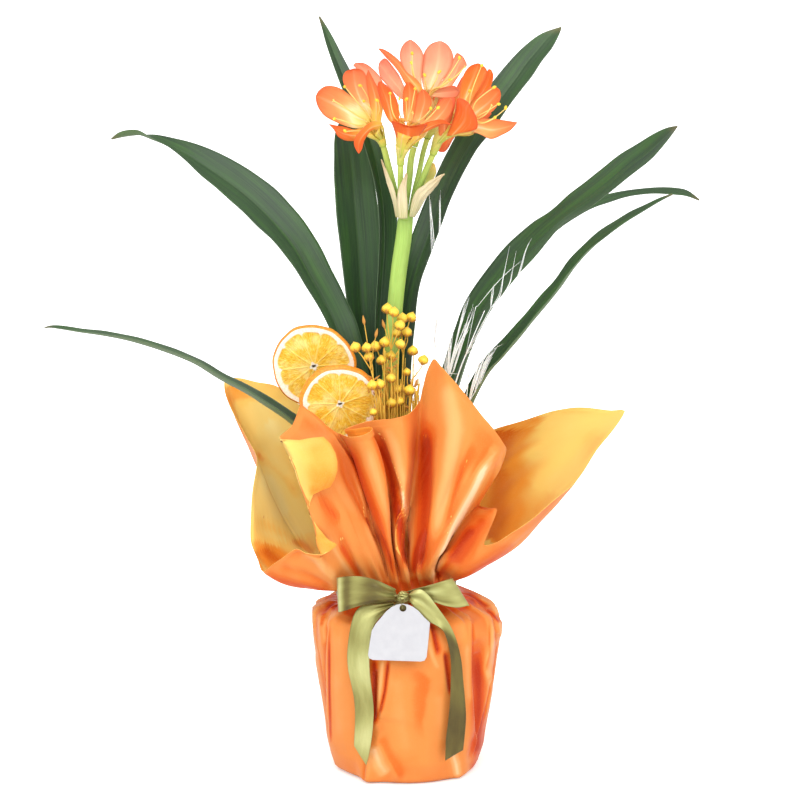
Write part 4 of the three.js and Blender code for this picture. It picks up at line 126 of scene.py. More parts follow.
PATHS = {"flower_scape":[[-12,-20,127],[-13.2,-19,175.2],[-16,-18,224.1],[-16.7,-17,264.6],[-15.1,-16,304.8],[-12.3,-15,344.9],[-9.7,-14.5,380.7],[-6.4,-14,410.9],[-3,-13,434.5],
[-1.3,-12,452.1]],"pedicel_left":[[-6.3,-15.5,453.9],[-8.9,-16.5,467.2],[-12.1,-17.5,479.9],[-15.4,-18.5,492.5],[-17.7,-19,501.9],[-18.9,-19.2,506]],
"pedicel_front":[[-3.6,-18.5,454.2],[-5.2,-22,467],[-5.8,-25,476.7],[-5.7,-27,484.7],[-5.5,-28.9,492.2]],"pedicel_top":[[-1.8,-11.5,453.5],[-0.3,-9.5,467.3],[1.3,-8,
480.6],[2.6,-6.5,494.6],[4.9,-5.1,504.5]],"pedicel_back":[[2,-7.5,453.1],[5.3,-3.5,469.4],[9,-0.5,484.2],[12.1,3,499],[15.2,5.9,509.6]],"pedicel_right":[[2.8,-14.5,
453.8],[6.5,-15.5,467.1],[10.8,-17,478.3],[15.1,-18.5,489.4],[19.4,-19.9,499.6]],"flower_bud":[[5,-10,453.3],[9.7,-7,466.3],[14.9,-3,476.9],[19.1,-1.5,484.3],[20.3,-1,
491.6]]}
BRACTS = {"bract_left":[[-9.5,-17,450.9,-5.2,-24,451.4,1.2],[-12,-19.5,464.4,-8.3,-25,465.8,1.5],[-15.9,-22,476.4,-11,-25,475.9,1.2],[-18.2,-23.5,485.6,-15.4,-25,486.1,0.7],
[-20.3,-24,494.2,-19.2,-24.6,494.6,0.3],[-20.9,-24.2,496.6,-20.5,-24.3,496.8,0.1]],"bract_centre":[[-7.2,-26.6,450.7,-0.1,-26.6,450.9,1.5],[-8.2,-28,462.9,-0.2,-29.5,
463.1,1.8],[-7.6,-31,472.6,-0.9,-32.5,473.5,1.6],[-5.2,-33,479,-0.6,-33.5,480.6,1],[-3,-33.5,483.4,-0.2,-34,484.6,0.5],[-1.7,-34,486.6,-0.9,-34,486.9,0.1]],
"bract_right":[[1.2,-23,451.7,5.9,-14.5,450.8,1.5],[3,-24,462.5,10.5,-15.5,458.1,1.8],[6.1,-25,470.8,14.5,-17.5,465.4,1.8],[12.7,-25.5,476.6,20.1,-19,471.9,1.5],[19.3,
-25.5,481.2,24.3,-21,477.7,1],[24.9,-25.5,484.1,26.6,-23,482.1,0.5],[28.6,-25,485.6,29,-24.5,484.8,0.1]]}
FLOWERS = {"left":{"tube":[[-19,-19.2,506.5],[-20,-19.8,509.8],[-22,-20.8,513.8],[-25.8,-23,519]],"rad":[2.7,3.2,4.4,7.6],"tepals":{"a":[[-29.3,-24,529.5,-32.4,-25,521.1,1.5],
[-35.5,-27,536.7,-39.4,-29,521,3],[-43.1,-30,545,-47.8,-33,523.2,4.2],[-50,-33,551,-56.6,-36,526.8,4.6],[-56.9,-35,554,-63.9,-38,531.1,4.2],[-63.8,-37,554.1,-68.2,-39,
536.4,3],[-68.8,-39,550.6,-70.4,-40,541.8,1.2],[-71,-40,546.4,-70.9,-40.2,545.1,0.1]],"b":[[-30.9,-18,527.5,-27,-17,529,1.5],[-36.8,-15,536.3,-27.9,-13,537.3,2.5],[-43.8,
-12,544.2,-29.4,-9,544,3.2],[-49,-9,552.2,-30.6,-6,551.6,3.4],[-50.7,-7,558.7,-31.8,-3,558.5,2.8],[-48.6,-5,563.6,-35.4,-2,564.3,1.6],[-43.1,-4,565.7,-41.2,-3.6,566,
0.1]],"c":[[-27.8,-22,526.3,-21.2,-22,525.5,1.2],[-28.9,-23,535.7,-19.8,-23,535.7,1.8],[-30.4,-24,545,-20,-23.5,544.2,2],[-31.7,-25,553.6,-22.4,-24.5,550.8,1.6],[-32.2,
-26,560.6,-26.8,-25.6,559,0.9],[-30.8,-27,565.9,-30.3,-27,565.9,0.1]],"d":[[-26.3,-15,527.3,-20.5,-13,527.2,1.2],[-27.9,-8,539.3,-18.5,-5,540.7,2.4],[-31.9,-2,550.6,-19,
2,550.4,3],[-36.2,2,559.7,-20.5,6,557.2,3],[-40.2,5,565.3,-26.1,9,564,2.4],[-42.6,6,567.5,-33.5,9,569.2,1.4],[-42.5,7,568.4,-41.1,8,569.7,0.1]],"e":[[-34,-26,521.1,-32.4,
-24,515.6,1],[-41.3,-29,520.2,-40.2,-27,511.5,1.8],[-48.2,-32,522.4,-48.1,-30,511.7,2],[-54,-34,523.5,-54,-33,515.1,1.6],[-57.8,-36,524.4,-57.1,-35.5,520.2,0.8],[-60.8,
-37.5,525.1,-60.6,-37.5,524.6,0.1]],"f":[[-20.1,-26,525.4,-20.3,-25,520.7,0.6],[-24.6,-31,526.7,-23.8,-29,520.6,1.2],[-29.4,-35,526,-28.2,-32,519.3,1.4],[-34,-38,522.8,
-30.9,-35,516.8,1.4],[-38.6,-40,518.2,-33.1,-37,512.9,1.3],[-41.4,-40.5,512.6,-34.5,-38,509.4,1],[-40.9,-40,507.3,-35.5,-38.5,505.7,0.6],[-38.2,-39,502.5,-37.6,-39,502.5,
0.1]]},"stamens":[[[-27,-23,525.6],[-35.5,-28,536.8],[-43.1,-33,546.7],[-48.4,-36,553.5]],[[-26.2,-21,527],[-28.5,-24,534.9],[-31.2,-26,539.7],[-33.6,-28,542.1]],[[-30.9,
-26,522.7],[-40.1,-32,523.9],[-49.2,-38,527.5],[-56.2,-42,529.7]],[[-29.3,-27,521.2],[-35.5,-31,519.6],[-42.4,-35,519.5],[-48.1,-37.5,519.4]],[[-23.9,-21,528.5],[-22.1,
-26,534.3],[-22.3,-29,539.2],[-23.3,-31,542.5]],[[-24.7,-19,527.6],[-27.8,-19,536.2],[-32.4,-19,547],[-36.3,-19,553.2]]],"style":[[-28.5,-25,524.2],[-38.5,-32,530.9],
[-49.2,-39,538.3],[-56.8,-43,543.2]]},"front":{"tube":[[-5.5,-29,492.7],[-5.5,-30,498.2],[-4.2,-32,505.7],[-1.7,-35,514.1],[1,-38,520.9]],"rad":[2.7,3,5.2,9,13.2],
"tepals":{"a":[[-13.7,-44,527.1,-6.4,-50,527.6,1.5],[-17.7,-46,534.2,-6.8,-52,535.4,2.6],[-20.4,-48,541.6,-7.7,-53,542.7,3],[-22.3,-49,548.5,-10.4,-54,549.2,2.8],[-23.3,
-50,554.5,-14.9,-54,554.7,1.8],[-22.4,-51,558.5,-20.2,-52,558.7,0.2]],"b":[[-3.3,-33,526.3,4.5,-32,526.2,1.5],[-3.7,-31,534.7,6,-30,534.6,2],[-3.8,-30,543.5,7.4,-28,
543.3,2.2],[-3.4,-29,550.7,6.9,-27.5,550.2,1.6],[-1,-29,556.5,2.1,-28.6,556.5,0.2]],"c":[[3.3,-33,525.5,11.8,-34,525.6,1.5],[5.2,-31,534.7,15.7,-33,534,2.2],[6.8,-30,
541.9,18.4,-32,541.3,2.2],[7.9,-29.5,547.3,16.9,-31.5,546.6,1.5],[10.9,-29.5,551.1,12.6,-30,551.2,0.2]],"d":[[9.4,-40,523.8,17.1,-42,521.6,1],[16.4,-41,531.9,24.8,-44,
525.2,2],[22.5,-42,539.7,31.3,-45,531,2.4],[27.1,-43,544.7,34.6,-45,538.7,1.8],[31.7,-44,545.7,34.1,-44.5,544.4,0.3]],"e":[[-7.9,-41,513.8,7.1,-43,514.7,2.5],[-10.8,-47,
522,12.4,-50,521.4,4],[-12.6,-52,528.1,15.1,-55,526,4.2],[-9.8,-55,528.6,12.4,-57.5,526.4,3.2],[-3.7,-58,526.5,6.2,-59,525.5,1.5],[0.1,-59,525,2.4,-59.2,524.9,0.2]],
"f":[[4.8,-46,520.4,8.6,-43,516.7,1],[12.4,-50,526,16.3,-46,520.7,1.5],[20.1,-52,529.1,22.4,-48,523.9,1.4],[27,-53,529.6,27.8,-50,525.7,0.9],[33.1,-52.5,526.1,33.6,-52,
525.4,0.1]]},"stamens":[[[-2.9,-44,524.1],[-9.1,-52,530],[-12.5,-58,538.8],[-13.6,-62,549.9]],[[-2.1,-42,524.7],[-5.6,-48,531.3],[-6.9,-53,538.5],[-6.5,-57,545.6]],[[0.2,
-42,523.9],[1.3,-44,531],[3.2,-48,540.4],[5.5,-52,552.8]],[[2.5,-43,523.2],[7.8,-48,527.4],[13.2,-53,532.4],[17.6,-57,537.9]],[[3.2,-44,522.5],[10.1,-50,525.7],[17,-55,
532.1],[22.6,-60,538.8]],[[-0.6,-40,523.8],[-0.6,-40,530.7],[-1,-40,537.6],[-1.4,-40,543.7]]],"style":[[0.9,-44,523.3],[2.5,-49,527.5],[3.4,-54,531.3],[3.8,-59,535.1]]},
"top":{"tube":[[5,-5,505],[7,-4,511.6],[9.3,-3,521],[11.6,-4,531.2],[13.9,-8,541.6]],"rad":[2.7,3,4.2,6.2,9.5],"tepals":{"a":[[3.4,-12,549.7,11.2,-10,551.1,1.5],[-1.7,
-12,559,10.8,-9,560.4,2.6],[-4.6,-11,568.2,11.6,-7,568.8,3.2],[-6.2,-9.5,575.5,12.3,-5,576.1,3],[-5.1,-8,582,10.2,-4,581.4,2.2],[-1.9,-6.5,586.4,6.5,-4,585.7,1],[1.5,-5,
588.3,2.9,-4.8,588.2,0.1]],"b":[[12.8,-8,549.4,22.1,-8,548.6,1.5],[11.2,-6.5,556.3,26,-7,555.6,2.8],[10.8,-4,564.7,32.3,-6,563.3,3.8],[11.5,-2,572.6,35.7,-4,571,3.8],
[13.7,0,579.7,34.8,-2,578.6,2.8],[18.4,2,584.8,31.1,0,584.4,1.4],[24.5,3,586.9,26.6,2.6,586.9,0.1]],"c":[[20.5,-12,548.9,24.4,-15,546.8,1],[27.6,-10,557.7,32.5,-16,550.8,
1.8],[33.4,-8,566.5,38.6,-14,559.1,2.2],[36,-6,574.2,43.3,-11,565.5,2.2],[38.5,-4.5,578,46.3,-8,569,1.4],[42.9,-5,575.4,44,-5.4,574.4,0.1]],"d":[[15.8,-14,548.4,16.6,-14,
544.4,1],[23.9,-19,551,24.6,-19,544.1,1.6],[31.5,-24,553.3,32,-23.5,543.9,2],[36.7,-28,553.7,37.7,-27,545.2,1.4],[39.8,-30,550.5,39.9,-30,549.4,0.1]],"e":[[-1.7,-18,
551.6,-2.9,-20,542.4,1.6],[-6,-19,560.5,-8.7,-22,546.4,2.6],[-11.8,-20,568.7,-15.3,-23,553.1,3],[-17.2,-20.5,574.6,-21,-23,560,2.2],[-20.9,-21,572.9,-22.7,-22,565.9,1],
[-22.4,-21.4,570.5,-22.6,-21.5,569.4,0.1]],"f":[[11.1,-17,545.7,6.1,-20,543.2,0.8],[11.2,-20,552.5,2.7,-25,549.7,1.6],[6,-23,559.2,-2.4,-28,556.1,1.8],[-0.7,-25,564.2,
-6.2,-29,563.2,1.4],[-5.8,-26,572.5,-10.9,-29,569.3,1],[-13.6,-27,579.1,-16.8,-28.5,575.6,0.6],[-19.4,-27.5,582.2,-20.8,-28,579.9,0.3],[-22.8,-27.6,582.6,-22.6,-27.8,
581.9,0.1]]},"stamens":[[[12.7,-14,547.5],[6.4,-17,556.2],[3.8,-18,567.8],[3.5,-17,577.8]],[[12.7,-13,548.2],[7.2,-15,555.3],[3.7,-17,563.1],[3,-17.5,570.6]],[[17.4,-14,
548.2],[20.4,-18,554.7],[22.7,-20,559.4],[24.1,-21,563.8]],[[18.9,-15,546.8],[27.4,-20,554.8],[34.3,-23,565],[40.1,-24,574.5]],[[18.1,-16,546.8],[24.3,-21,551.8],[28.9,
-24,555.4],[32.4,-25,558.3]],[[15.1,-12,548.1],[14.1,-15,553.7],[13.4,-17,557.7],[13.4,-18,561]]],"style":[[17.4,-16,547.6],[27.3,-24,553.5],[36.5,-29,560.7],[44,-31,
568.2]]},"right":{"tube":[[19.6,-20,500.1],[21.6,-21,505.8],[24.7,-23,513.5],[31.3,-26,518.8],[38.6,-29,522.5],[45.1,-31,526.2]],"rad":[2.8,3.3,4.4,5.6,8.2,11.5],
"tepals":{"a":[[39.9,-23,533.3,46.9,-19,536.9,1.5],[40.1,-19,543.9,50.9,-15,543.3,2.8],[41.5,-15,554.5,57.2,-10,552.3,3.6],[43.9,-11,562.2,61.7,-6.5,561.4,3.2],[48.3,-8,
567.8,61.2,-5,566.2,1.8],[54.1,-6,570,56,-5.6,570,0.1]],"b":[[47,-17,536,53.2,-18,534.5,1.2],[50.6,-11,544.2,58.2,-13,543.1,2],[55.8,-6,552.8,64.1,-9,550.6,2.4],[60.2,-3,
560,66.7,-6,557.5,1.8],[63.2,-2,565.1,66.9,-4,561.6,0.9],[65.5,-2,564.8,65.9,-2.2,564.2,0.1]],"c":[[47.6,-25,535,50.6,-29,526.8,1.5],[53,-25,543.1,58.3,-31,530,2.8],
[59.4,-25.5,549.4,66,-31,534.7,3.2],[64.9,-26.5,553,70.6,-30,541.2,2.4],[69.1,-28,552.4,72,-29,546.4,1],[71.1,-28.4,550.8,71.4,-28.6,550.1,0.1]],"d":[[48.2,-33,528.6,
47.3,-38,520.1,1.6],[56.2,-36,529,56.1,-42,517.4,2.6],[65,-39,529.3,64.1,-45,514,3],[73.4,-41,528.4,73,-45,517.4,2.2],[79.5,-42.5,527.6,79.6,-44.5,521.2,1.2],[84.1,-43.5,
527,84.3,-43.6,526.5,0.1]],"e":[[30.4,-33,515.1,38.8,-37,517.7,1.5],[34.6,-38,527.5,48,-43,519.8,2.8],[36.8,-41,537.3,53.6,-46,523,3.2],[38,-42,544.9,52.8,-46,530.7,2.8],
[43,-42,544.3,50,-44.5,536.5,1.4],[46,-42,542,47.1,-42.6,540.8,0.1]],"f":[[25.8,-29,515.2,32.4,-30,521.5,1.2],[23.6,-31,526.2,34.1,-33,529,2.2],[22.6,-31.5,535.9,36.4,
-33.5,537.9,2.4],[24.2,-31,542.4,36.7,-32.5,544.5,1.4],[29.6,-31,545,31.9,-31.4,545.3,0.1]]},"stamens":[[[46.7,-29,529.1],[44.4,-27,536.7],[45.2,-26,543.6],[47.9,-26,
549.2]],[[48.2,-30,530],[52,-31,540.8],[58.9,-34,547.6],[66.2,-36,553]],[[49.7,-32,528.6],[55.8,-35,531.9],[62.7,-37,535.9],[69.6,-38,540.4]],[[50.5,-33,527.1],[58.9,-38,
526.3],[68,-42,531.3],[75.2,-44,537.4]],[[50.5,-34,526.4],[56.5,-39,525.6],[61.8,-42.5,527.4],[66.9,-45,530.1]],[[46.8,-27,530.5],[48.4,-22,544.1],[52.3,-20,556.4],[57.3,
-19.5,568.7]]],"style":[[49.8,-32,527],[55.8,-37,529.7],[61,-41,533.8],[64.3,-44,539.4]]},"back":{"tube":[[15.3,6,510.1],[17.5,8,514.8],[23.3,13,519],[28.9,18,522.5],
[34.5,23,524.9]],"rad":[2.7,3.2,4.6,6.6,10],"tepals":{"a":[[32.9,22,531.7,38.5,26,535.4,1.5],[36.1,27,542.5,45.7,32,545.3,3],[40.2,33,551.6,53,38,552.9,3.2],[44.3,39,
557.6,55.6,43,555.8,2.2],[50,44,558.9,51.6,44.5,558.5,0.1]],"b":[[38.6,30,534.4,42.7,34,531.7,1.5],[45.9,38,540.2,54.1,44,535,3],[52.5,46,544.5,62.3,51,538.5,3.2],[59.1,
52,546.5,65.6,55,540.7,1.8],[63.6,55,544.7,64.4,55.4,543.5,0.1]],"c":[[41,31,529.5,42.6,32,523.1,1.5],[49.9,36,530.8,51.5,36,521.2,2.6],[58,41,531.2,59.6,40,521.7,2.8],
[63.7,45,530.1,64.5,43,523.9,1.6],[67,46,527.8,67.3,46,526.9,0.1]],"d":[[28.9,16,514.8,40.2,26,514.8,1.6],[25.3,13,508.7,36.6,24,508.6,3],[23.8,12,504,33.6,22,504,2.6],
[24.2,12,500.2,30.9,19,500,1.4],[26.6,13,498.9,28.4,14.5,498.8,0.2]],"e":[[28.1,20,526.4,32.9,21,532.6,1.5],[21.8,22,534.9,30.5,25,541.8,2.8],[17.8,25,542.6,29,30,549.4,
3],[18.6,29,549.5,27.4,33,552.4,1.8],[22.6,32,552.5,24.2,33,552.8,0.1]],"f":[[40.2,28,522.6,38.5,25,518.1,1.5],[48.2,32,521.5,44.2,28,514.7,2.4],[55.5,36,519.6,49.9,32,
512.8,2.2],[59.6,38,516.3,55.6,36,512.4,1.2],[60.8,38,513.9,60.4,37.6,513.3,0.1]]},"stamens":[[[36.1,26,525.9],[41.8,33,535],[48.4,41,540.8],[55.7,48,544.3]],[[37,27,
525.1],[45.9,37,529.1],[55,47,531.6],[63.2,55,531.9]],[[37,27,524.3],[45.1,33,523],[53.2,38,523.5],[59.7,44,524.6]],[[35.3,25,526],[35.4,30,535.2],[37.9,36,542.7],[42,42,
547.9]],[[36.2,26,523.5],[41.8,30,520.9],[47.5,34,518.2],[53.2,37,517.2]],[[36.1,26,525.1],[41.1,34,529.3],[45.2,41,533.6],[50.2,48,535.5]]],"style":[[37,28,525],[45.2,
38,526.6],[54.2,48,527.5],[61.7,57,526.9]]}}
SLICES = {"orange_slice_back":{"c":[-73.6,-32,334.8],"r":33.2,"yaw":-6,"pitch":-4},"orange_slice_front":{"c":[-52.8,-54,308.7],"r":32.2,"yaw":7,"pitch":-13}}
PICKS = {"slice_pick_back":[[-70.9,-22.5,318],[-55.1,-27,282.6],[-43.9,-36,252.2],[-34.5,-37,220.1],[-27,-30,120],[-27,-29,96]],"slice_pick_front":[[-50,-42.5,293.5],[-43.8,-39,
264.8],[-29.8,-38,212.2],[-21,-37,120],[-20.5,-36.5,96]]}
FLAX = {"flax_sprig_a":{"root":[-18,-33,97],"fork":[[-15.5,-40,212.6],[-18.5,-52,271.4],[-23.1,-60,312.6],[-28.5,-60,336.2]],"pods":[[[-40.5,-58,354],3.6],[[-31.6,-61,354.1],
3.4],[[-30.1,-57,346.4],3.4],[[-27.3,-65,325.3],3.6],[[-21.5,-62,325.5],3.5],[[-26.6,-64,303.8],2.6]],"tips":[[-34.3,-58,376.7],[-23.8,-60,366.8]]},
"flax_sprig_b":{"root":[-14,-31,97],"fork":[[-12.3,-34,211.3],[-13.1,-33,267.7],[-17,-33,307.8],[-19.4,-32,335.6]],"pods":[[[-25.2,-32,350.7],3.7],[[-17.8,-34,354.2],
3.7],[[-20.5,-36,340.2],3.4],[[-13.1,-31,343],3.3],[[-20.1,-46,299.8],2.5]],"tips":[]},"flax_sprig_c":{"root":[-10,-33,97],"fork":[[-9.2,-38,212.2],[-9.2,-38,268.7],
[-11.5,-38,308.7],[-13.1,-37,348.3]],"pods":[[[-15.8,-36,381],3.7],[[-10.7,-39,378.7],3.6],[[-6,-40,368.6],3.7],[[-5.6,-41,353.7],3.4],[[-13.1,-41,326.7],3.4],[[-12.7,
-43,307.2],3.6]],"tips":[[-19.3,-36,370.3]]},"flax_sprig_d":{"root":[-6,-31,97],"fork":[[-6,-32,210.9],[-5.2,-31,267.3],[-4.4,-30,307.3],[-3.6,-29,347.1]],"pods":[[[-4,
-29,372.5],3.6],[[3,-28,373.1],3.5],[[-0.5,-31,361.7],3.5],[[-8.4,-27,360.3],3.2],[[-8.8,-35,317],3.5],[[-6.4,-38,307.9],3.4]],"tips":[]},"flax_sprig_e":{"root":[-2,-33,
97],"fork":[[-2.8,-36,211.7],[-0.5,-36,268.3],[2.7,-35,308.2],[5,-34,330.3]],"pods":[[[4.2,-34,347.4],3.5],[[12.5,-33,339.7],3.7],[[1.5,-38,316.7],3.8],[[-0.5,-33,330.2],
2.8]],"tips":[[7.4,-36,323.5]]}}
GRASS = {"grass_plume_a":{"root":[8,-36,97],"pts":[[9.1,-32,210.9],[16.1,-38,276.7],[20.7,-40,325],[22.9,-41,364.8],[23.6,-42,404.3],[21.6,-43,435.7],[19.2,-44,462.3]],
"rad":[0.8,0.8,0.8,2.2,4.2,4,1.8,0.4]},"grass_plume_b":{"root":[13,-37,97],"pts":[[12.3,-34,211.3],[20,-42,269.4],[27.7,-46,314.1],[33,-48,350.1],[37.5,-50,377.9],[39.8,
-51,397.6]],"rad":[0.8,0.8,0.8,2,3.8,3,0.4]},"grass_plume_c":{"root":[18,-36,97],"pts":[[16.2,-34,211.3],[25.5,-43,265.6],[37,-48,322.4],[50,-52,358.6],[61.4,-56,386.6],
[70.4,-59,410.4],[77.1,-62,430.9]],"rad":[0.8,0.8,0.8,2.2,4.4,4.6,2.6,0.4]},"grass_plume_d":{"root":[22,-33,97],"pts":[[17.8,-32,210.9],[33.4,-40,261],[47.3,-46,306.1],
[56.4,-50,336.2],[61.7,-52,358.6],[64.6,-53,380.7]],"rad":[0.8,0.8,0.8,2,3.6,2.6,0.4]}}
RIBBON = {"bow_loop_left":[[-9,-63.5,161.9,-10.7,-63.5,152.6,0],[-15.4,-68,166.3,-17.8,-67.5,152.4,0.6],[-24.8,-73,171.9,-27.2,-72,153.2,0.8],[-35.7,-75,175.1,-38.9,-74,150.9,
0.6],[-46.6,-73.5,175,-47.1,-72.5,147.8,0.4],[-53.4,-69,173.2,-52.7,-69,145.1,0.2],[-55.6,-64,171.5,-54.3,-64.5,143.8,0],[-53.8,-61,170.1,-52.2,-61.5,144,0],[-46.9,-60,
169.2,-45.4,-60.5,146.2,0],[-35.9,-60,167.9,-34.4,-60.5,149.4,0],[-23.3,-60,164.7,-22.5,-60.5,151.1,0],[-17,-59.2,161.7,-17,-59.2,151.7,0]],"bow_loop_right":[[-0.1,-59,
159.6,2.7,-59,152.3,0],[6.6,-64,163,10.5,-64,153.6,0.5],[15.2,-68,166,20.3,-68,153,0.7],[23.8,-68,168.6,30.1,-68,149.7,0.6],[30.1,-65,170,39.6,-66,147.9,0.3],[34.6,-60,
170.1,47.9,-62,148.5,0.1],[34.4,-55.5,167.6,47.6,-58.5,147.7,0],[28.7,-53.5,164.3,39,-57,148.1,0],[19.3,-54,161.2,27.1,-57,149.5,0],[8.2,-56,159.3,12.9,-57.5,151.5,0]],
"ribbon_tail_left":[[-11.5,-63,150.9,-8.8,-64,148.3,0.2],[-19.4,-66,150.8,-16.6,-68,144.9,0.3],[-28.4,-67,150.7,-22.5,-70,140.1,0.4],[-36.2,-67,149.6,-26.7,-73,134.1,
0.5],[-41.5,-67.5,143.9,-29.1,-75,125.7,0.6],[-44.8,-68.5,132.9,-29.8,-76,116.2,0.6],[-46.8,-69,120,-30,-76,105.7,0.5],[-47.5,-69,108.7,-29.4,-74.5,93.9,0.4],[-46.7,
-68.5,97.1,-28.4,-73,84.5,0.3],[-44.4,-67,86.1,-27.3,-72,74.5,0.3],[-42.4,-65.5,75,-26.8,-71,64.4,0.3],[-41.6,-64,63.1,-27.3,-70,54.2,0.3],[-41.8,-62.5,50.3,-28.2,-69,
43.3,0.3],[-42.4,-61,37.5,-30.3,-67.5,29.6,0.2],[-42.3,-60.6,33.3,-32.8,-66.6,19.3,0.1]],"ribbon_tail_right":[[1.8,-67.5,160.4,2.2,-68,153,0.2],[5.4,-70,163.1,4.6,-71,
149.5,0.3],[10.9,-72,163.8,10.3,-72.6,144.4,0.5],[17.2,-73.2,158.7,15.9,-74.2,139.2,0.6],[23,-73,150.6,21.8,-75.6,136.3,0.6],[28.4,-72,142.7,26.1,-76,133.5,0.4],[32.9,
-71,135.5,29,-75.2,129.8,0.2],[36.9,-70,126.8,31.2,-74,123,0.2],[40.1,-69,116.4,33.1,-73,114.6,0.2],[42.6,-68,103.5,34.1,-72,103.8,0.2],[43.9,-66.5,88.4,34,-71,89.7,0.2],
[45.4,-64.5,73.1,33.6,-69.5,73.7,0.2],[46.3,-62.5,57.7,32.4,-68,57.7,0.2],[45.5,-60.5,43.2,30.6,-66.5,40.9,0.2],[44.2,-58.5,29.3,29.9,-64.5,22.5,0.1]]}
KNOT = {"path":[[-6.9,-61.5,155.7],[-5.2,-62.5,155.6],[-2.9,-62.8,155.7],[-0.3,-61.8,155.9]],"rad":[3.4,5.2,5.2,3.6]}
TAG = {"out":[[-4.4,-72.6,152.8],[0.3,-72.9,152.1],[4.7,-73.5,150.2],[8.9,-74.5,147],[12.8,-75.8,142.7],[17.5,-77.2,138.4],[16.5,-80.3,128.7],[15.6,-83.1,119.8],[14.8,-85.2,
113.1],[13.2,-86,110.4],[10.4,-86.3,109.7],[-9.1,-86.1,110.3],[-27.1,-85.9,110.9],[-30.1,-85.5,112.1],[-31,-84.7,114.7],[-29.7,-81.9,123.5],[-28.1,-79,132.7],[-24.9,
-77.3,137.9],[-20.6,-75.8,142.7],[-16.8,-74.5,147],[-12.6,-73.4,150.3],[-8.5,-72.9,152.1]],"hole":[-3.7,-73.7,149.4],"r":2.7,"cord":[[-5.7,-77.7,158.9],[-4.9,-78.3,
155.4],[-4.1,-76.5,150.6],[-3.7,-73.7,149.6],[-3.3,-71.5,150.6],[-2.7,-69.5,153.9],[-2.1,-68.7,156.9]]}
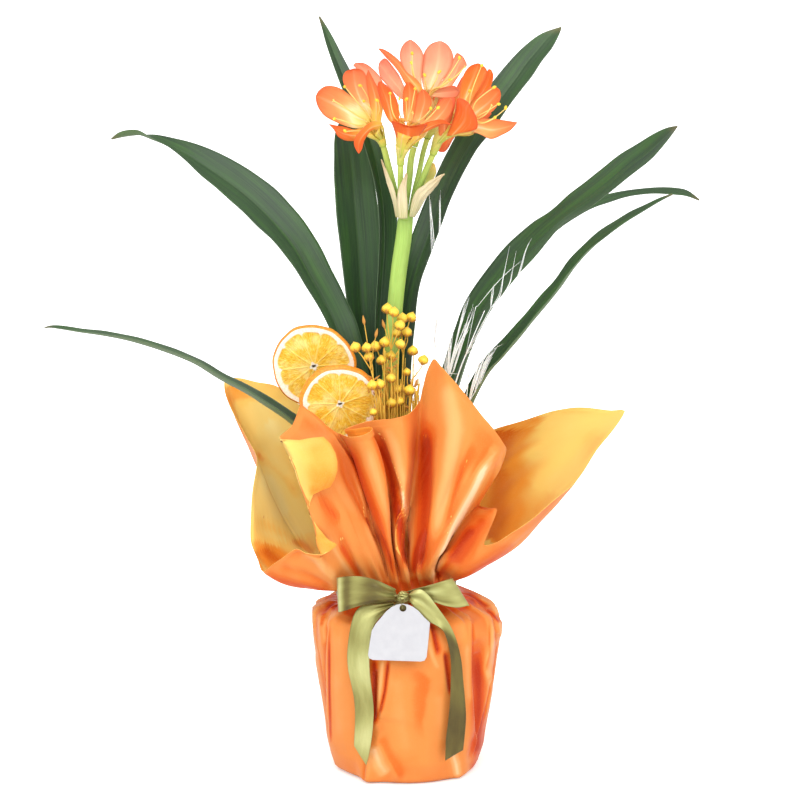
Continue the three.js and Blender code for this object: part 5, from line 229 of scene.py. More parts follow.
COLS = [{"th":150,"ridge":1,"p":[[-63.6,46,206.2],[-93.1,58,290.9]]},{"th":158,"ridge":1,"p":[[-75.8,42,211.3],[-107.6,55,304]]},{"th":165,"ridge":1,"p":[[-85.5,38,214.6],[-123,
51,308]]},{"th":172,"ridge":1,"p":[[-94.3,33,215.7],[-137.3,46,312.1]]},{"th":178,"ridge":1,"p":[[-100.6,27,214.5],[-147.6,40,312.3]]},{"th":184,"ridge":1,"p":[[-102.7,
20,211.8],[-148,32,302.9]]},{"th":189,"ridge":1,"p":[[-102.5,13,207.5],[-141.9,22,289.1]]},{"th":194,"ridge":1,"p":[[-98.3,8,200.3],[-130.1,10,270.8]]},{"th":199,
"ridge":1,"p":[[-96.3,-2,193.5],[-120.6,-4,255.5]]},{"th":204,"ridge":1,"p":[[-99.1,-14,183.9],[-123.8,-16,233.5]]},{"th":209,"ridge":1,"p":[[-101.9,-24,174.7],[-124.6,
-26,213.6]]},{"th":213,"ridge":1,"p":[[-103.2,-34,166.5],[-124.3,-36,194.7]]},{"th":217,"ridge":1,"p":[[-98.1,-42,161.9],[-118.4,-44,181.1]]},{"th":221,"ridge":1,
"p":[[-91.5,-47,160.3],[-114.6,-52,173.7]]},{"th":225,"ridge":1,"p":[[-85,-52,161.1],[-107.4,-60,180.1]]},{"th":229,"ridge":1,"p":[[-78.6,-56,162.5],[-97.6,-67,188.6]]},
{"th":233,"ridge":1,"p":[[-70.6,-58,165],[-87.2,-73,196.8]]},{"th":237,"ridge":1,"p":[[-63.5,-58,166.6],[-77.8,-75,193.7]]},{"th":240,"ridge":1,"p":[[-58,-57,167.2],
[-68.8,-76,191.1],[-64.4,-80,194.8]]},{"th":242,"ridge":2,"p":[[-53.3,-57,170.4],[-63.2,-68,186.8],[-71,-78,200.3],[-63.5,-83,203.5],[-54.9,-83,202.7]]},{"th":243.6,
"ridge":2,"p":[[-50.1,-58,174.7],[-64.6,-72,199.8],[-72.4,-78.5,208.4],[-63.5,-82,208]]},{"th":245,"ridge":2,"p":[[-47.7,-59,178.2],[-66.7,-77,212.1],[-76.6,-81,226.5]]},
{"th":246.5,"ridge":2,"p":[[-45.3,-60,181.7],[-66.6,-79,221.3],[-80.1,-84,237.8],[-73.1,-89,243.6]]},{"th":248,"ridge":2,"p":[[-43.7,-61,184.3],[-66.5,-81,229.7],[-84.8,
-86,250.9],[-74.5,-94,252.9],[-59.9,-92,249.8]]},{"th":249.5,"ridge":2,"p":[[-42.1,-62,187],[-67.2,-82,240.2],[-89.1,-87,264.1],[-75.1,-96,265.9],[-54.1,-95,263.4]]},
{"th":251,"ridge":2,"p":[[-40.5,-63,189.6],[-67.1,-82,248.9],[-93.6,-86.5,274.2],[-78.2,-95,275.1],[-55.5,-94,277.2]]},{"th":252.5,"ridge":2,"p":[[-38.9,-64,192.3],
[-67.1,-81,255],[-97.1,-85,281.8],[-82.9,-91,283.3],[-64.8,-90,289.3]]},{"th":254,"ridge":2,"p":[[-37.4,-64,193.9],[-66.4,-79,258.5],[-99,-83,284.5],[-83.8,-86.5,
286.3]]},{"th":255,"ridge":2,"p":[[-36.6,-64,195.5],[-65.7,-77,260.5],[-99,-81,285.2]]},{"th":256.4,"ridge":2,"p":[[-35.8,-63.5,196.2],[-64.2,-75,263.2],[-95.3,-77,
290.1]]},{"th":257.6,"ridge":2,"p":[[-34.2,-63,196.9],[-61.9,-72,267.4],[-90,-73,294]]},{"th":259,"ridge":2,"p":[[-32.7,-62,197.4],[-58.8,-69,273.1],[-85.8,-69,303.1]]},
{"th":260.3,"ridge":2,"p":[[-31.1,-61,198],[-56.5,-67,277.5],[-82.8,-66,310.2]]},{"th":261.6,"ridge":2,"p":[[-29.5,-60.5,198.7],[-52.7,-66,275.7],[-77.4,-65,305.6]]},
{"th":263,"ridge":2,"p":[[-27.2,-60,198.6],[-48.8,-65.5,272.4],[-70.9,-64.5,301.1]]},{"th":264.5,"ridge":2,"p":[[-24.8,-59,198.4],[-43.4,-64.5,264.3],[-63.5,-65,293.7]]},
{"th":266,"ridge":2,"p":[[-23.3,-56,196.9],[-38.8,-62,257.4],[-55,-66,286.8]]},{"th":267.6,"ridge":2,"p":[[-22.5,-60,197],[-38.7,-68,253.9],[-50.1,-76,287.1]]},{"th":269,
"ridge":2,"p":[[-20.1,-67,200.2],[-33.1,-80,261.1],[-43.8,-85,288]]},{"th":270.5,"ridge":2,"p":[[-16.9,-70,202.5],[-27.6,-85,266],[-36.8,-89,289.6]]},{"th":272,"ridge":2,
"p":[[-14.6,-70,203.3],[-21.4,-85,266.8],[-31,-88,291.4]]},{"th":273.4,"ridge":2,"p":[[-13,-65,201.3],[-16.8,-80,262.7],[-27.2,-83,293.6]]},{"th":274.6,"ridge":2,
"p":[[-13.1,-58,198.1],[-17.7,-70,252.7],[-30,-77,294.4]]},{"th":275.8,"ridge":2,"p":[[-13.1,-54,195.6],[-20,-64,249.9],[-49.4,-70,289.5]]},{"th":277,"ridge":2,
"p":[[-13.1,-53,194.6],[-18.5,-60,250.7],[-42.5,-67,292.5]]},{"th":278.2,"ridge":2,"p":[[-12.3,-55,195.8],[-16.2,-62,254.3],[-31.6,-66,296.3]]},{"th":279.8,"ridge":2,
"p":[[-10.7,-60,198.6],[-12.2,-70,262.2],[-20.7,-71,299.1]]},{"th":281.4,"ridge":2,"p":[[-8.4,-64,201.1],[-7.6,-75,268],[-13,-75,300.3]]},{"th":283,"ridge":2,"p":[[-6,
-66,201.6],[-2.9,-77,270],[-6,-76,302.1]]},{"th":284.6,"ridge":2,"p":[[-4.4,-66,201.6],[1,-76,269.8],[-0.2,-72,303.1]]},{"th":286,"ridge":2,"p":[[-2.9,-60,198.6],[4.1,
-70,267],[4.5,-68,305.3]]},{"th":287.4,"ridge":2,"p":[[-2.1,-55,195.8],[6.5,-64,265.8],[9.5,-66,311.6]]},{"th":288.8,"ridge":2,"p":[[-0.5,-53,194.6],[9.6,-62,267],[11.8,
-68,321.1]]},{"th":290.2,"ridge":2,"p":[[1.1,-54,194.8],[13.5,-64,269.8],[14.2,-72,333.5]]},{"th":291.8,"ridge":2,"p":[[3.4,-58,196.5],[18.1,-70,274.9],[16.8,-76,342]]},
{"th":293.4,"ridge":2,"p":[[5.8,-64,198.7],[22.6,-80,278.4],[20.1,-81,348.3]]},{"th":295.4,"ridge":2,"p":[[8.1,-70,200.1],[27.1,-88,280],[25.4,-86,343.6]]},{"th":297.4,
"ridge":2,"p":[[10.4,-73,200],[31.7,-92,279.2],[31.1,-90,337.7]]},{"th":299.4,"ridge":2,"p":[[12.7,-74,198.6],[36.3,-92,276.1],[39.2,-92,328.7]]},{"th":301.4,"ridge":2,
"p":[[15.1,-74,197],[40.2,-90,271],[48.4,-92,317.4]]},{"th":303.4,"ridge":2,"p":[[16.6,-75,195.6],[43.2,-92,266.7],[56.8,-93,306.5]]},{"th":305.4,"ridge":2,"p":[[18.9,
-77,194.5],[47,-96,262],[66.1,-94,295.6]]},{"th":307.2,"ridge":2,"p":[[21.3,-76,192.7],[50.9,-95,255.5],[73.2,-91,284.5]]},{"th":308.8,"ridge":2,"p":[[23.7,-72,190.9],
[53.4,-88,249.3],[75.7,-85,277.8]]},{"th":310.4,"ridge":2,"p":[[24.6,-66,187.9],[53.7,-78,242.5],[72.7,-75,263.2]]},{"th":312,"ridge":2,"p":[[24.7,-60,184.9],[51.7,-68,
233.2],[65,-66,244.7]]},{"th":314,"ridge":2,"p":[[23.9,-55,181.3],[45.7,-60,217.1],[56.7,-60,227.5]]},{"th":316.5,"ridge":2,"p":[[27.1,-56,181.5],[48.9,-60,213.1],[62.1,
-62,225.9]]},{"th":319.5,"ridge":2,"p":[[31,-58,182],[52.8,-62,207.9],[69.8,-66,226]]},{"th":322,"ridge":2,"p":[[35,-56,178.3],[52.2,-58,194.1],[63.8,-60,208.2]]},
{"th":324.5,"ridge":2,"p":[[38.2,-53,174.3],[53,-56,185.6],[60,-58,197.3]]},{"th":328,"ridge":2,"p":[[42.2,-50,171.2],[60.2,-54,183.5],[70.2,-58,198.9]]},{"th":331.5,
"ridge":2,"p":[[46.3,-45,169.1],[68.2,-50,184.1],[81.7,-54,205.3]]},{"th":335,"ridge":2,"p":[[50.4,-38,167.4],[78.8,-42,187.9],[98.5,-47,215]]},{"th":338.5,"ridge":2,
"p":[[54.6,-30,167.1],[89.5,-32,192.1],[117.1,-37,229]]},{"th":342,"ridge":2,"p":[[58,-22,168.5],[97.1,-21,197.8],[130.2,-27,237.4]]},{"th":345.5,"ridge":2,"p":[[59.9,
-14,172.3],[102.3,-11,206.2],[140.3,-17,247.9]]},{"th":349,"ridge":2,"p":[[60.9,-6,177.9],[106.7,-1,218],[151.7,-5,262.2]]},{"th":352.5,"ridge":2,"p":[[61.9,2,184.3],
[110.3,9,230.7],[166,6,277.3]]},{"th":356,"ridge":2,"p":[[62.1,10,190.8],[112.4,19,241],[175.5,17,290]]},{"th":360,"ridge":2,"p":[[61.5,18,197.3],[108.7,28,247.5],[165,
27,288.5]]},{"th":365,"ridge":2,"p":[[59.2,26,203],[100.2,38,249.7],[147.9,37,288.9]]},{"th":371,"ridge":2,"p":[[54.5,34,206.3],[89.9,46,250.6],[133.7,45,287.4]]},
{"th":377,"ridge":2,"p":[[49,40,208.3],[79.6,54,249],[117.8,52,283.3]]},{"th":383,"ridge":2,"p":[[43.3,46,208.7],[68.3,60,245.3],[96.9,59,274.9]]},{"th":389,"ridge":2,
"p":[[36.8,50,207.9],[57.7,64,238.7],[76.6,66,267.3]]},{"th":398,"ridge":2,"p":[[30.3,54,201.9],[45.5,70,225.6],[58.9,82,257.1]]},{"th":408,"ridge":2,"p":[[23.8,58,
190.9],[34,76,212.5],[45.9,92,241.6]]},{"th":418,"ridge":2,"p":[[17.2,60,187.1],[25.8,84,210.8],[36.2,112,241.1]]},{"th":428,"ridge":2,"p":[[10.6,62,186.6],[16.7,94,
212.1],[23,138,244.8]]},{"th":438,"ridge":2,"p":[[4,62,186.6],[6.6,98,213],[9.5,156,245.7]]},{"th":448,"ridge":2,"p":[[-3.5,62,186.6],[-4.3,98,213],[-4.3,152,245.6]]},
{"th":458,"ridge":2,"p":[[-10.1,61,186.8],[-15.2,90,213],[-17.9,132,244.2]]},{"th":468,"ridge":2,"p":[[-17.6,58,187.5],[-26,80,213.3],[-32.9,106,244]]},{"th":478,
"ridge":2,"p":[[-27.5,55,189.9],[-37.6,72,218.4],[-47.7,86,251.3]]},{"th":488,"ridge":2,"p":[[-39,53,193.7],[-48.2,64,231.9],[-60.7,72,265.8]]},{"th":499,"ridge":2,
"p":[[-50.5,50,199.4],[-60.4,58,245.7],[-76.9,64,280.7]]}]
# creases seen from the front: frame px polyline (travelling down), height mm, width px on its left and its right
BAG_FOLDS = [
    ([(318, 601), (322, 625), (326, 648)], 1.1, 2.0, 3.0),
    ([(383, 655), (380, 685), (377, 712), (375.5, 732)], 1.9, 2.6, 4.0),
    ([(375, 668), (374.8, 695), (375.5, 722)], -2.6, 2.2, 2.4),
    ([(376.5, 733), (384, 750), (391, 764), (399, 780)], 1.9, 6.0, 4.0),
    ([(408.7, 655), (420, 672), (427, 679), (423, 692), (419, 706), (422, 725), (427, 748), (423, 779)], 1.7, 16.0, 9.0),
    ([(431, 620), (434, 634), (438, 656)], -2.2, 1.6, 4.0),
    ([(425, 640), (430, 652), (436, 668)], 1.2, 2.5, 3.0),
    ([(445, 652), (447, 672), (450, 694)], -2.4, 1.6, 5.0),
    ([(477.5, 636), (478, 690), (477, 722), (474, 750), (468, 768)], -4.2, 4.5, 6.0),
    ([(488, 609), (491, 637), (485.5, 660), (484, 674), (492, 684)], 2.0, 2.6, 3.6),
    ([(494.5, 630), (495.5, 660), (492, 692)], -1.6, 2.2, 2.2),
    ([(449, 755), (455, 768), (460, 778)], 1.6, 4.0, 4.0),
    ([(471, 603), (486, 606.5), (494, 617), (501, 621)], -2.6, 2.0, 2.0),
    ([(340, 605), (338, 618), (331, 628)], 1.4, 2.5, 2.5),
    ([(345, 600), (342, 640), (345, 690)], 1.2, 9.0, 9.0),
    ([(396, 668), (392, 700), (390, 730), (398, 760)], 0.9, 10.0, 10.0),
]
# laps: one panel stands over its neighbour; height mm, high side, ease px on the high and the low side
BAG_LAPS = [
    ([(330.5, 606), (329.5, 640), (329.8, 680), (330.4, 720), (331.5, 753)], 2.6, "R", 24.0, 7.0),
    ([(390, 658), (386, 690), (379.5, 719)], 1.9, "R", 26.0, 3.0),
    ([(371.5, 738), (369, 750), (366.5, 765), (365, 782)], 2.2, "R", 14.0, 5.0),
    ([(468, 610), (471, 625), (471.5, 650), (471.2, 680), (474, 712), (479, 745)], 2.4, "L", 16.0, 5.0),
    ([(458, 583), (470, 592), (484, 600), (492, 612), (496, 640)], 2.2, "R", 8.0, 4.0),
]
COLLAR_FOLDS = [
    ([(338, 461), (362, 508), (381, 543), (398, 582)], -4.0, 3.2, 3.0),
    ([(330, 437), (343, 457), (355, 489), (372, 524)], -1.8, 4.0, 4.0),
    ([(374, 428), (385, 455), (392.5, 487), (400, 522), (404.5, 560)], -4.6, 3.0, 4.5),
    ([(380, 423), (389, 451), (402, 487), (407, 503)], 1.7, 2.2, 3.0),
    ([(398, 505), (402.5, 530), (406, 566)], -4.0, 3.0, 2.2),
    ([(406.8, 500), (407.4, 535), (408.4, 580)], 2.0, 2.0, 3.5),
    ([(424.5, 432), (424, 480), (422.5, 530), (419, 572)], -4.5, 5.0, 6.0),
    ([(466, 455), (452, 500), (441, 540), (432, 566)], -1.8, 5.0, 1.8),
    ([(470, 457), (456, 502), (444.5, 541), (434, 570)], 1.7, 2.0, 7.0),
    ([(501, 447), (495, 478), (480, 511), (461, 542), (440, 566)], 2.2, 5.0, 3.0),
    ([(420.5, 534), (419.5, 556), (418.5, 570)], -3.0, 2.6, 2.6),
    ([(455, 553), (444, 562), (434, 578)], 1.8, 2.0, 3.0),
    ([(449, 547), (439, 558), (428, 576)], -2.2, 2.4, 2.0),
    ([(300, 551), (318, 560), (337, 579)], 1.5, 3.0, 6.0),
    ([(340, 540), (350, 558), (363, 582)], -2.4, 3.0, 3.0),
    ([(326, 538), (346, 562), (367, 586)], 1.6, 3.0, 4.0),
    ([(366, 520), (378, 550), (392, 584)], 1.4, 3.0, 3.0),
    ([(278, 566), (302, 574), (334, 587)], -1.6, 3.0, 3.0),
    ([(322, 500), (334, 512), (338, 524)], -1.5, 3.0, 3.0),
]
# creases on the flared wings, seen on the yellow inside (positive = away from the viewer)
WING_FOLDS = [
    ([(252, 517), (275, 529), (300, 544), (317, 557)], 2.4, 9.0, 3.0),
    ([(256, 441), (275, 463), (294, 483)], 2.2, 4.0, 9.0),
    ([(503, 466), (522, 452), (548, 440)], -1.6, 5.0, 4.0),
    ([(505, 500), (530, 492), (560, 470), (590, 436)], 1.6, 10.0, 8.0),
    ([(497, 520), (520, 516), (545, 505)], -1.2, 5.0, 5.0),
]
KEY_W, FILL_W, TOP_W, WORLD_S, FLOOR_E = 58.0, 10.0, 16.0, 0.34, 1.0
FLOOR_N = 0.12
# where the pleats run deeper than their neighbours: column angle, half width, mm back
VALLEYS = [(266.6, 1.3, 7.0), (276.6, 1.6, 6.0), (287.6, 2.1, 11.0), (313.8, 3.4, 13.0)]
KEY_AT = (-1.3, -1.9, 1.6)
KEY_W, FILL_W, TOP_W, WORLD_S, FLOOR_E, FLOOR_N, FRONT_W = 14.0, 14.5, 25.0, 0.92, 1.0, 0.36, 3.2
# where along each loop it turns back, as a share of its length
LOOP_TURN = {"bow_loop_left": 0.55, "bow_loop_right": 0.55}
# painted light for the paper's colour: frame px polylines, painted highlight (+) or painted shade (-), width on the
# left and on the right of it in px
COLLAR_PAINTED_LIGHT = [
    ([(498, 444), (481, 478), (464, 513), (447, 545)], 0.5, 3.6, 3.0, (0.06, 0.1)),
    ([(492, 443), (474, 472), (457, 508), (446, 530)], -0.3, 3.0, 3.0),
    ([(346, 440), (356, 468), (378, 520), (398, 582)], -0.75, 4.0, 7.0),
    ([(366, 440), (378, 480), (392, 530), (401, 575)], 0.35, 8.0, 5.0),
    ([(375, 430), (386, 458), (393.5, 490), (401, 525), (405, 575)], -1.1, 3.0, 3.5),
    ([(384, 424), (396, 452), (406, 490)], 0.25, 5.0, 7.0),
    ([(394, 500), (398, 525), (403, 556)], -0.8, 3.0, 3.0),
    ([(401, 488), (404, 500), (405, 512)], 0.9, 3.0, 2.0),
    ([(407, 500), (408.3, 540), (408.5, 580)], 0.3, 2.0, 4.0),
    ([(416, 405), (417, 450), (413, 490), (411, 540)], 0.12, 8.0, 1.0),
    ([(428, 415), (426, 450), (424, 500), (423, 540), (419, 580)], -0.85, 8.0, 9.0),
    ([(424, 532), (416, 552), (413, 575)], -0.8, 3.0, 3.0),
    ([(444, 372), (450, 400), (456, 430), (451, 470), (442, 510), (434, 545)], 0.5, 12.0, 7.0),
    ([(474, 440), (462, 475), (451, 515), (440, 550)], -0.35, 3.0, 5.0),
    ([(489, 455), (474, 490), (457, 522), (441, 555), (428, 584)], 0.8, 4.5, 3.5),
    ([(500, 450), (490, 484), (474, 515), (458, 545)], -0.3, 3.0, 3.5),
    ([(476, 524), (462, 541), (447, 562), (434, 582)], -0.95, 5.0, 4.0),
    ([(484, 512), (470, 540), (452, 566)], -0.55, 6.0, 9.0),
    ([(450, 556), (440, 566), (430, 580)], 0.5, 2.5, 2.5),
    ([(520, 548), (490, 564), (452, 584)], -0.55, 8.0, 4.0),
    ([(300, 551), (320, 566), (345, 588)], 0.3, 6.0, 5.0),
    ([(338, 542), (350, 562), (364, 586)], -0.6, 3.0, 3.0),
    ([(326, 536), (345, 566), (362, 588)], 0.3, 3.0, 3.0),
    ([(355, 480), (370, 520), (388, 575)], 0.1, 10.0, 6.0),
    ([(262, 575), (292, 584), (333, 592)], -0.5, 6.0, 5.0),
    ([(318, 496), (330, 510), (340, 520)], -0.35, 4.0, 4.0),
    ([(308, 508), (322, 530), (330, 545)], 0.15, 6.0, 6.0),
    ([(300, 420), (318, 428), (334, 434)], -0.15, 6.0, 5.0),
]
# painted highlight (+) and painted shade (-) along the folds of the bag, in the same layout
BAG_PAINTED_LIGHT = [
    ([(331, 612), (329.3, 640), (329.5, 690), (331, 750)], -1.15, 1.3, 1.3, (0.35, 0.15)),
    ([(323, 615), (323, 660), (326, 730)], -0.15, 6.0, 4.0),
    ([(335, 625), (336, 690), (338, 745)], 0.15, 3.0, 12.0),
    ([(374, 655), (374.5, 690), (375.5, 728)], -1.1, 2.4, 3.0),
    ([(383.5, 658), (380, 690), (377, 715)], 0.45, 2.5, 1.6),
    ([(388.5, 658), (385, 690), (379, 716)], -0.9, 1.2, 2.4),
    ([(376, 735), (385, 752), (395, 768), (402, 780)], -0.26, 2.5, 7.0),
    ([(373, 745), (380, 764), (388, 776)], 0.75, 8.0, 5.0),
    ([(408, 655), (419, 673), (427, 681), (423, 700), (420, 722), (426, 752)], -0.32, 11.0, 4.5, (0.3, 0.35)), ([(440, 690), (441, 720), (444, 745)], 0.2, 8.0, 8.0),
    ([(398, 672), (400, 700), (404, 730), (412, 760)], 0.2, 12.0, 12.0),
    ([(429, 620), (433, 634), (438, 655)], -0.9, 1.6, 3.0),
    ([(424, 632), (430, 650), (440, 672)], 0.3, 3.0, 3.0),
    ([(444, 650), (447, 672), (450, 696)], -1.0, 1.4, 3.0),
    ([(471.5, 615), (471.8, 650), (471.5, 690), (474, 730)], -0.3, 1.5, 2.0),
    ([(477, 632), (479, 690), (479, 730), (474, 762)], -0.95, 6.5, 6.0, (0.3, 0.12)),
    ([(467, 640), (468, 680), (470, 705)], 0.3, 3.5, 3.0),
    ([(486, 735), (482, 755), (470, 771)], -0.7, 3.5, 4.0),
    ([(490, 620), (491, 645), (485, 668), (491, 690)], 0.4, 2.5, 3.0),
    ([(496, 640), (494, 670), (492, 700)], -0.25, 3.0, 3.0),
    ([(452, 750), (456, 764), (458, 778)], 0.7, 4.0, 4.0),
    ([(458, 700), (462, 730), (466, 752)], 0.15, 6.0, 5.0),
    ([(461, 585), (468, 590), (474, 595)], -1.3, 1.3, 1.6, (0.3, 0.3)),
    ([(469, 602.5), (480, 603), (489, 608)], -1.4, 1.5, 1.8, (0.25, 0.3)),
    ([(483, 607), (492, 614), (500, 623)], -1.3, 1.2, 1.5, (0.3, 0.1)),
    ([(474, 596), (487, 601), (499, 615)], 0.3, 2.0, 2.0),
    ([(466, 594), (478, 599), (490, 605)], -0.45, 2.0, 2.0),
    ([(489.5, 621), (489.6, 655), (485, 672)], -0.55, 1.2, 1.6),
    ([(494, 640), (492, 660), (488, 680)], 0.3, 2.5, 2.0),
    ([(334, 596), (323, 603), (314, 607)], 0.4, 1.8, 1.8),
    ([(334, 603), (323, 614), (321, 628)], -0.8, 1.1, 1.5),
    ([(347, 611), (329, 616), (323.5, 627), (325, 645)], 0.4, 1.8, 2.2),
    ([(350, 606.5), (340, 606), (329, 606)], -0.6, 1.4, 1.8),
]
# painted highlight (+) and painted shade (-) on the yellow inside of the wings, in the same layout; the broad light
# strokes brighten the wings where the lamps leave them dim
WING_PAINTED_LIGHT = [
    ([(262, 400), (266, 440), (276, 490), (292, 540)], 0.62, 30.0, 24.0, (0.01, 0.01)),
    ([(540, 425), (560, 450), (545, 490)], 0.12, 40.0, 40.0, (0.01, 0.01)),
    ([(308, 445), (322, 470), (316, 500), (322, 540)], -0.06, 8.0, 14.0, (0.01, 0.01)),
    ([(252, 450), (268, 462), (290, 484), (298, 498)], -0.55, 5.0, 4.0),
    ([(232, 385), (234, 412), (252, 446), (268, 470)], -0.5, 15.0, 12.0, (0.01, 0.2)),
    ([(254, 540), (270, 556), (292, 572)], -0.4, 10.0, 10.0, (0.01, 0.01)),
    ([(270, 420), (285, 440)], 0.35, 14.0, 12.0, (0.01, 0.01)),
    ([(262, 470), (268, 490), (285, 520)], 0.3, 12.0, 12.0),
    ([(254, 519), (280, 532), (318, 556)], -0.6, 4.0, 5.0),
    ([(262, 545), (275, 558), (288, 566)], -0.4, 12.0, 12.0, (0.01, 0.01)),
    ([(500, 470), (520, 456), (545, 448)], 0.3, 6.0, 6.0),
    ([(497, 430), (500, 470), (496, 500), (486, 540)], -0.85, 16.0, 32.0, (0.01, 0.01)),
    ([(494, 433), (515, 425), (545, 415)], -0.4, 10.0, 9.0),
    ([(600, 420), (570, 470), (530, 515)], -0.15, 12.0, 16.0),
    ([(322, 470), (330, 478), (338, 490)], -0.1, 4.0, 4.0),
    ([(306, 468), (318, 474), (333, 477)], -0.12, 4.0, 3.0),
    ([(309, 492), (322, 488), (334, 480)], -0.35, 2.5, 4.0),
]
# bleached awns: frame px points, how many hairs, how far they stray in mm
WISPS = {
    "grass_plume_a": [([(430, 202.7), (433, 240), (435.5, 280), (436, 320), (433.5, 354)], 3, 0.25), ([(440, 200), (440.3, 229), (438, 270), (436, 310), (433, 350)], 3, 0.3), ([(433, 355), (435.5, 330), (438, 310), (440, 270)], 4, 0.7), ([(427, 262), (431, 300), (431, 345)], 1, 0.4)],
    "grass_plume_b": [([(448, 377), (449, 350), (450, 322)], 11, 1.5), ([(449, 374), (458, 334), (468, 297)], 12, 1.4), ([(453, 372), (462, 340), (472, 306)], 9, 1.3), ([(444, 390), (446, 360), (443, 330)], 3, 0.8)],
    "grass_plume_c": [([(449.5, 373.5), (457, 350), (465.5, 332), (475, 309)], 9, 1.0), ([(475, 309), (495, 285), (511, 269), (523, 260)], 2, 0.3), ([(490.3, 309), (499, 295.8), (503, 275.7), (508.4, 245.6)], 3, 0.35), ([(500, 300), (509, 283.8), (512.4, 270.4), (516.4, 251.6)], 2, 0.3), ([(511, 296), (519.8, 271.7), (525.8, 250.3), (531.8, 237.5)], 3, 0.4), ([(478, 345), (484, 335), (491, 317), (497, 305)], 6, 1.0), ([(491, 309), (492, 296), (494, 284)], 2, 0.3)],
    "grass_plume_d": [([(469.6, 399), (474, 380), (484, 356), (497, 346)], 12, 1.3), ([(475, 392), (483, 368), (493, 350)], 9, 1.2), ([(479, 384), (487, 363), (497, 346)], 7, 1.0), ([(479, 360), (484, 335), (491, 317)], 4, 0.8), ([(466, 400), (469, 372), (476, 345)], 4, 0.9)],
}
POT_R0, POT_R1, POT_LIP, POT_H = 51.2, 68.6, 71.0, 118.0
# how far each tepal has faded to peach
PALE = {
    "left": {"a": 0.25, "b": 0.3, "c": 0.2, "d": 0.8, "e": 0.05, "f": 0.0},
    "front": {"a": 0.0, "b": 0.1, "c": 0.2, "d": 0.25, "e": 0.0, "f": 0.0},
    "top": {"a": 0.95, "b": 0.85, "c": 0.6, "d": 0.7, "e": 1.0, "f": 0.25},
    "right": {"a": 0.0, "b": 0.0, "c": 0.15, "d": 0.2, "e": 0.0, "f": 0.3},
    "back": {"a": 0.3, "b": 0.2, "c": 0.2, "d": 0.1, "e": 0.3, "f": 0.2},
}

# ------------------------------------------------------------------ numbers
def cat(rows, n):
    """Catmull-Rom through rows, n samples, ends kept."""
    R = np.asarray(rows, float)
    if R.ndim == 1:
        R = R[:, None]
    m = len(R) - 1
    s = np.linspace(0, m, n)
    k = np.minimum(m - 1, s.astype(int))
    t = (s - k)[:, None]
    p0, p1, p2, p3 = R[np.maximum(0, k - 1)], R[k], R[k + 1], R[np.minimum(m, k + 2)]
    return 0.5 * (2 * p1 + (p2 - p0) * t + (2 * p0 - 5 * p1 + 4 * p2 - p3) * t * t + (3 * p1 - p0 - 3 * p2 + p3) * t ** 3)


def unit(v):
    v = np.asarray(v, float)
    l = np.linalg.norm(v, axis=-1, keepdims=True)
    return v / np.where(l < 1e-9, 1, l)


def smooth(x, a, b):
    t = np.clip((np.asarray(x, float) - a) / (b - a), 0, 1)
    return t * t * (3 - 2 * t)


def along(C):
    """tangents of a polyline by central differences"""
    T = np.empty_like(C)
    T[1:-1] = C[2:] - C[:-2]
    T[0] = C[1] - C[0]
    T[-1] = C[-1] - C[-2]
    return unit(T)


def wave(seed, k=5):
    """a smooth pseudo-random function of one number, made of k sines"""
    r = np.random.default_rng(seed)
    f, p, a = r.uniform(0.6, 3.2, k), r.uniform(0, 6.28, k), r.uniform(0.4, 1, k)
    a = a / a.sum()
    return lambda x: sum(a[i] * np.sin(f[i] * np.asarray(x, float) + p[i]) for i in range(k))


def value_noise(seed, n=64):
    g = np.random.default_rng(seed).uniform(-1, 1, (n, n))

    def f(x, y):
        x, y = np.asarray(x, float), np.asarray(y, float)
        xi, yi = np.floor(x).astype(int), np.floor(y).astype(int)
        tx, ty = x - xi, y - yi
        tx, ty = tx * tx * (3 - 2 * tx), ty * ty * (3 - 2 * ty)
        a, b = g[xi % n, yi % n], g[(xi + 1) % n, yi % n]
        c, d = g[xi % n, (yi + 1) % n], g[(xi + 1) % n, (yi + 1) % n]
        return (a * (1 - tx) + b * tx) * (1 - ty) + (c * (1 - tx) + d * tx) * ty
    return f


# ------------------------------------------------------------------ meshes
class Geo:
    """collects closed shapes for one piece"""

    def __init__(self):
        self.V, self.F, self.M, self.A, self.B, self.n = [], [], [], [], [], 0

    def add(self, V, F, M=0, A=None, B=None, fix=True):
        V = np.asarray(V, float)
        if fix:   # turn the shape's faces outwards by its signed volume
            vol = 0.0
            for f in F:
                for i in range(1, len(f) - 1):
                    vol += np.dot(V[f[0]], np.cross(V[f[i]], V[f[i + 1]]))
            if vol < 0:
                F = [tuple(reversed(f)) for f in F]
        self.V.append(V)
        self.F += [tuple(int(i) + self.n for i in f) for f in F]
        self.M += list(M) if hasattr(M, "__len__") else [M] * len(F)
        self.A.append(np.zeros((len(V), 3)) if A is None else np.asarray(A, float))
        self.B.append(np.zeros((len(V), 3)) if B is None else np.asarray(B, float))
        self.n += len(V)
        return self

    def build(self, name, mats, smooth=True):
        V = np.concatenate(self.V) * 0.001
        me = bpy.data.meshes.new(name)
        me.from_pydata(V.tolist(), [], self.F)
        for m in mats:
            me.materials.append(m)
        me.polygons.foreach_set("material_index", self.M)
        me.polygons.foreach_set("use_smooth", [bool(smooth)] * len(self.F))
        for nm, arr in (("uvc", self.A), ("mmc", self.B)):
            at = me.attributes.new(nm, "FLOAT_VECTOR", "POINT")
            at.data.foreach_set("vector", np.concatenate(arr).astype(np.float32).ravel())
        uv = me.uv_layers.new(name="uv")
        A = np.concatenate(self.A)
        li = np.empty(len(me.loops), int)
        me.loops.foreach_get("vertex_index", li)
        uv.data.foreach_set("uv", A[li][:, :2].astype(np.float32).ravel())
        me.validate()
        me.update()
        ob = bpy.data.objects.new(name, me)
        bpy.context.scene.collection.objects.link(ob)
        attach(ob, "root")
        return ob


def quads(i0, i1):
    """quads between two vertex rows of equal length"""
    return [(i0[k], i0[k + 1], i1[k + 1], i1[k]) for k in range(len(i0) - 1)]


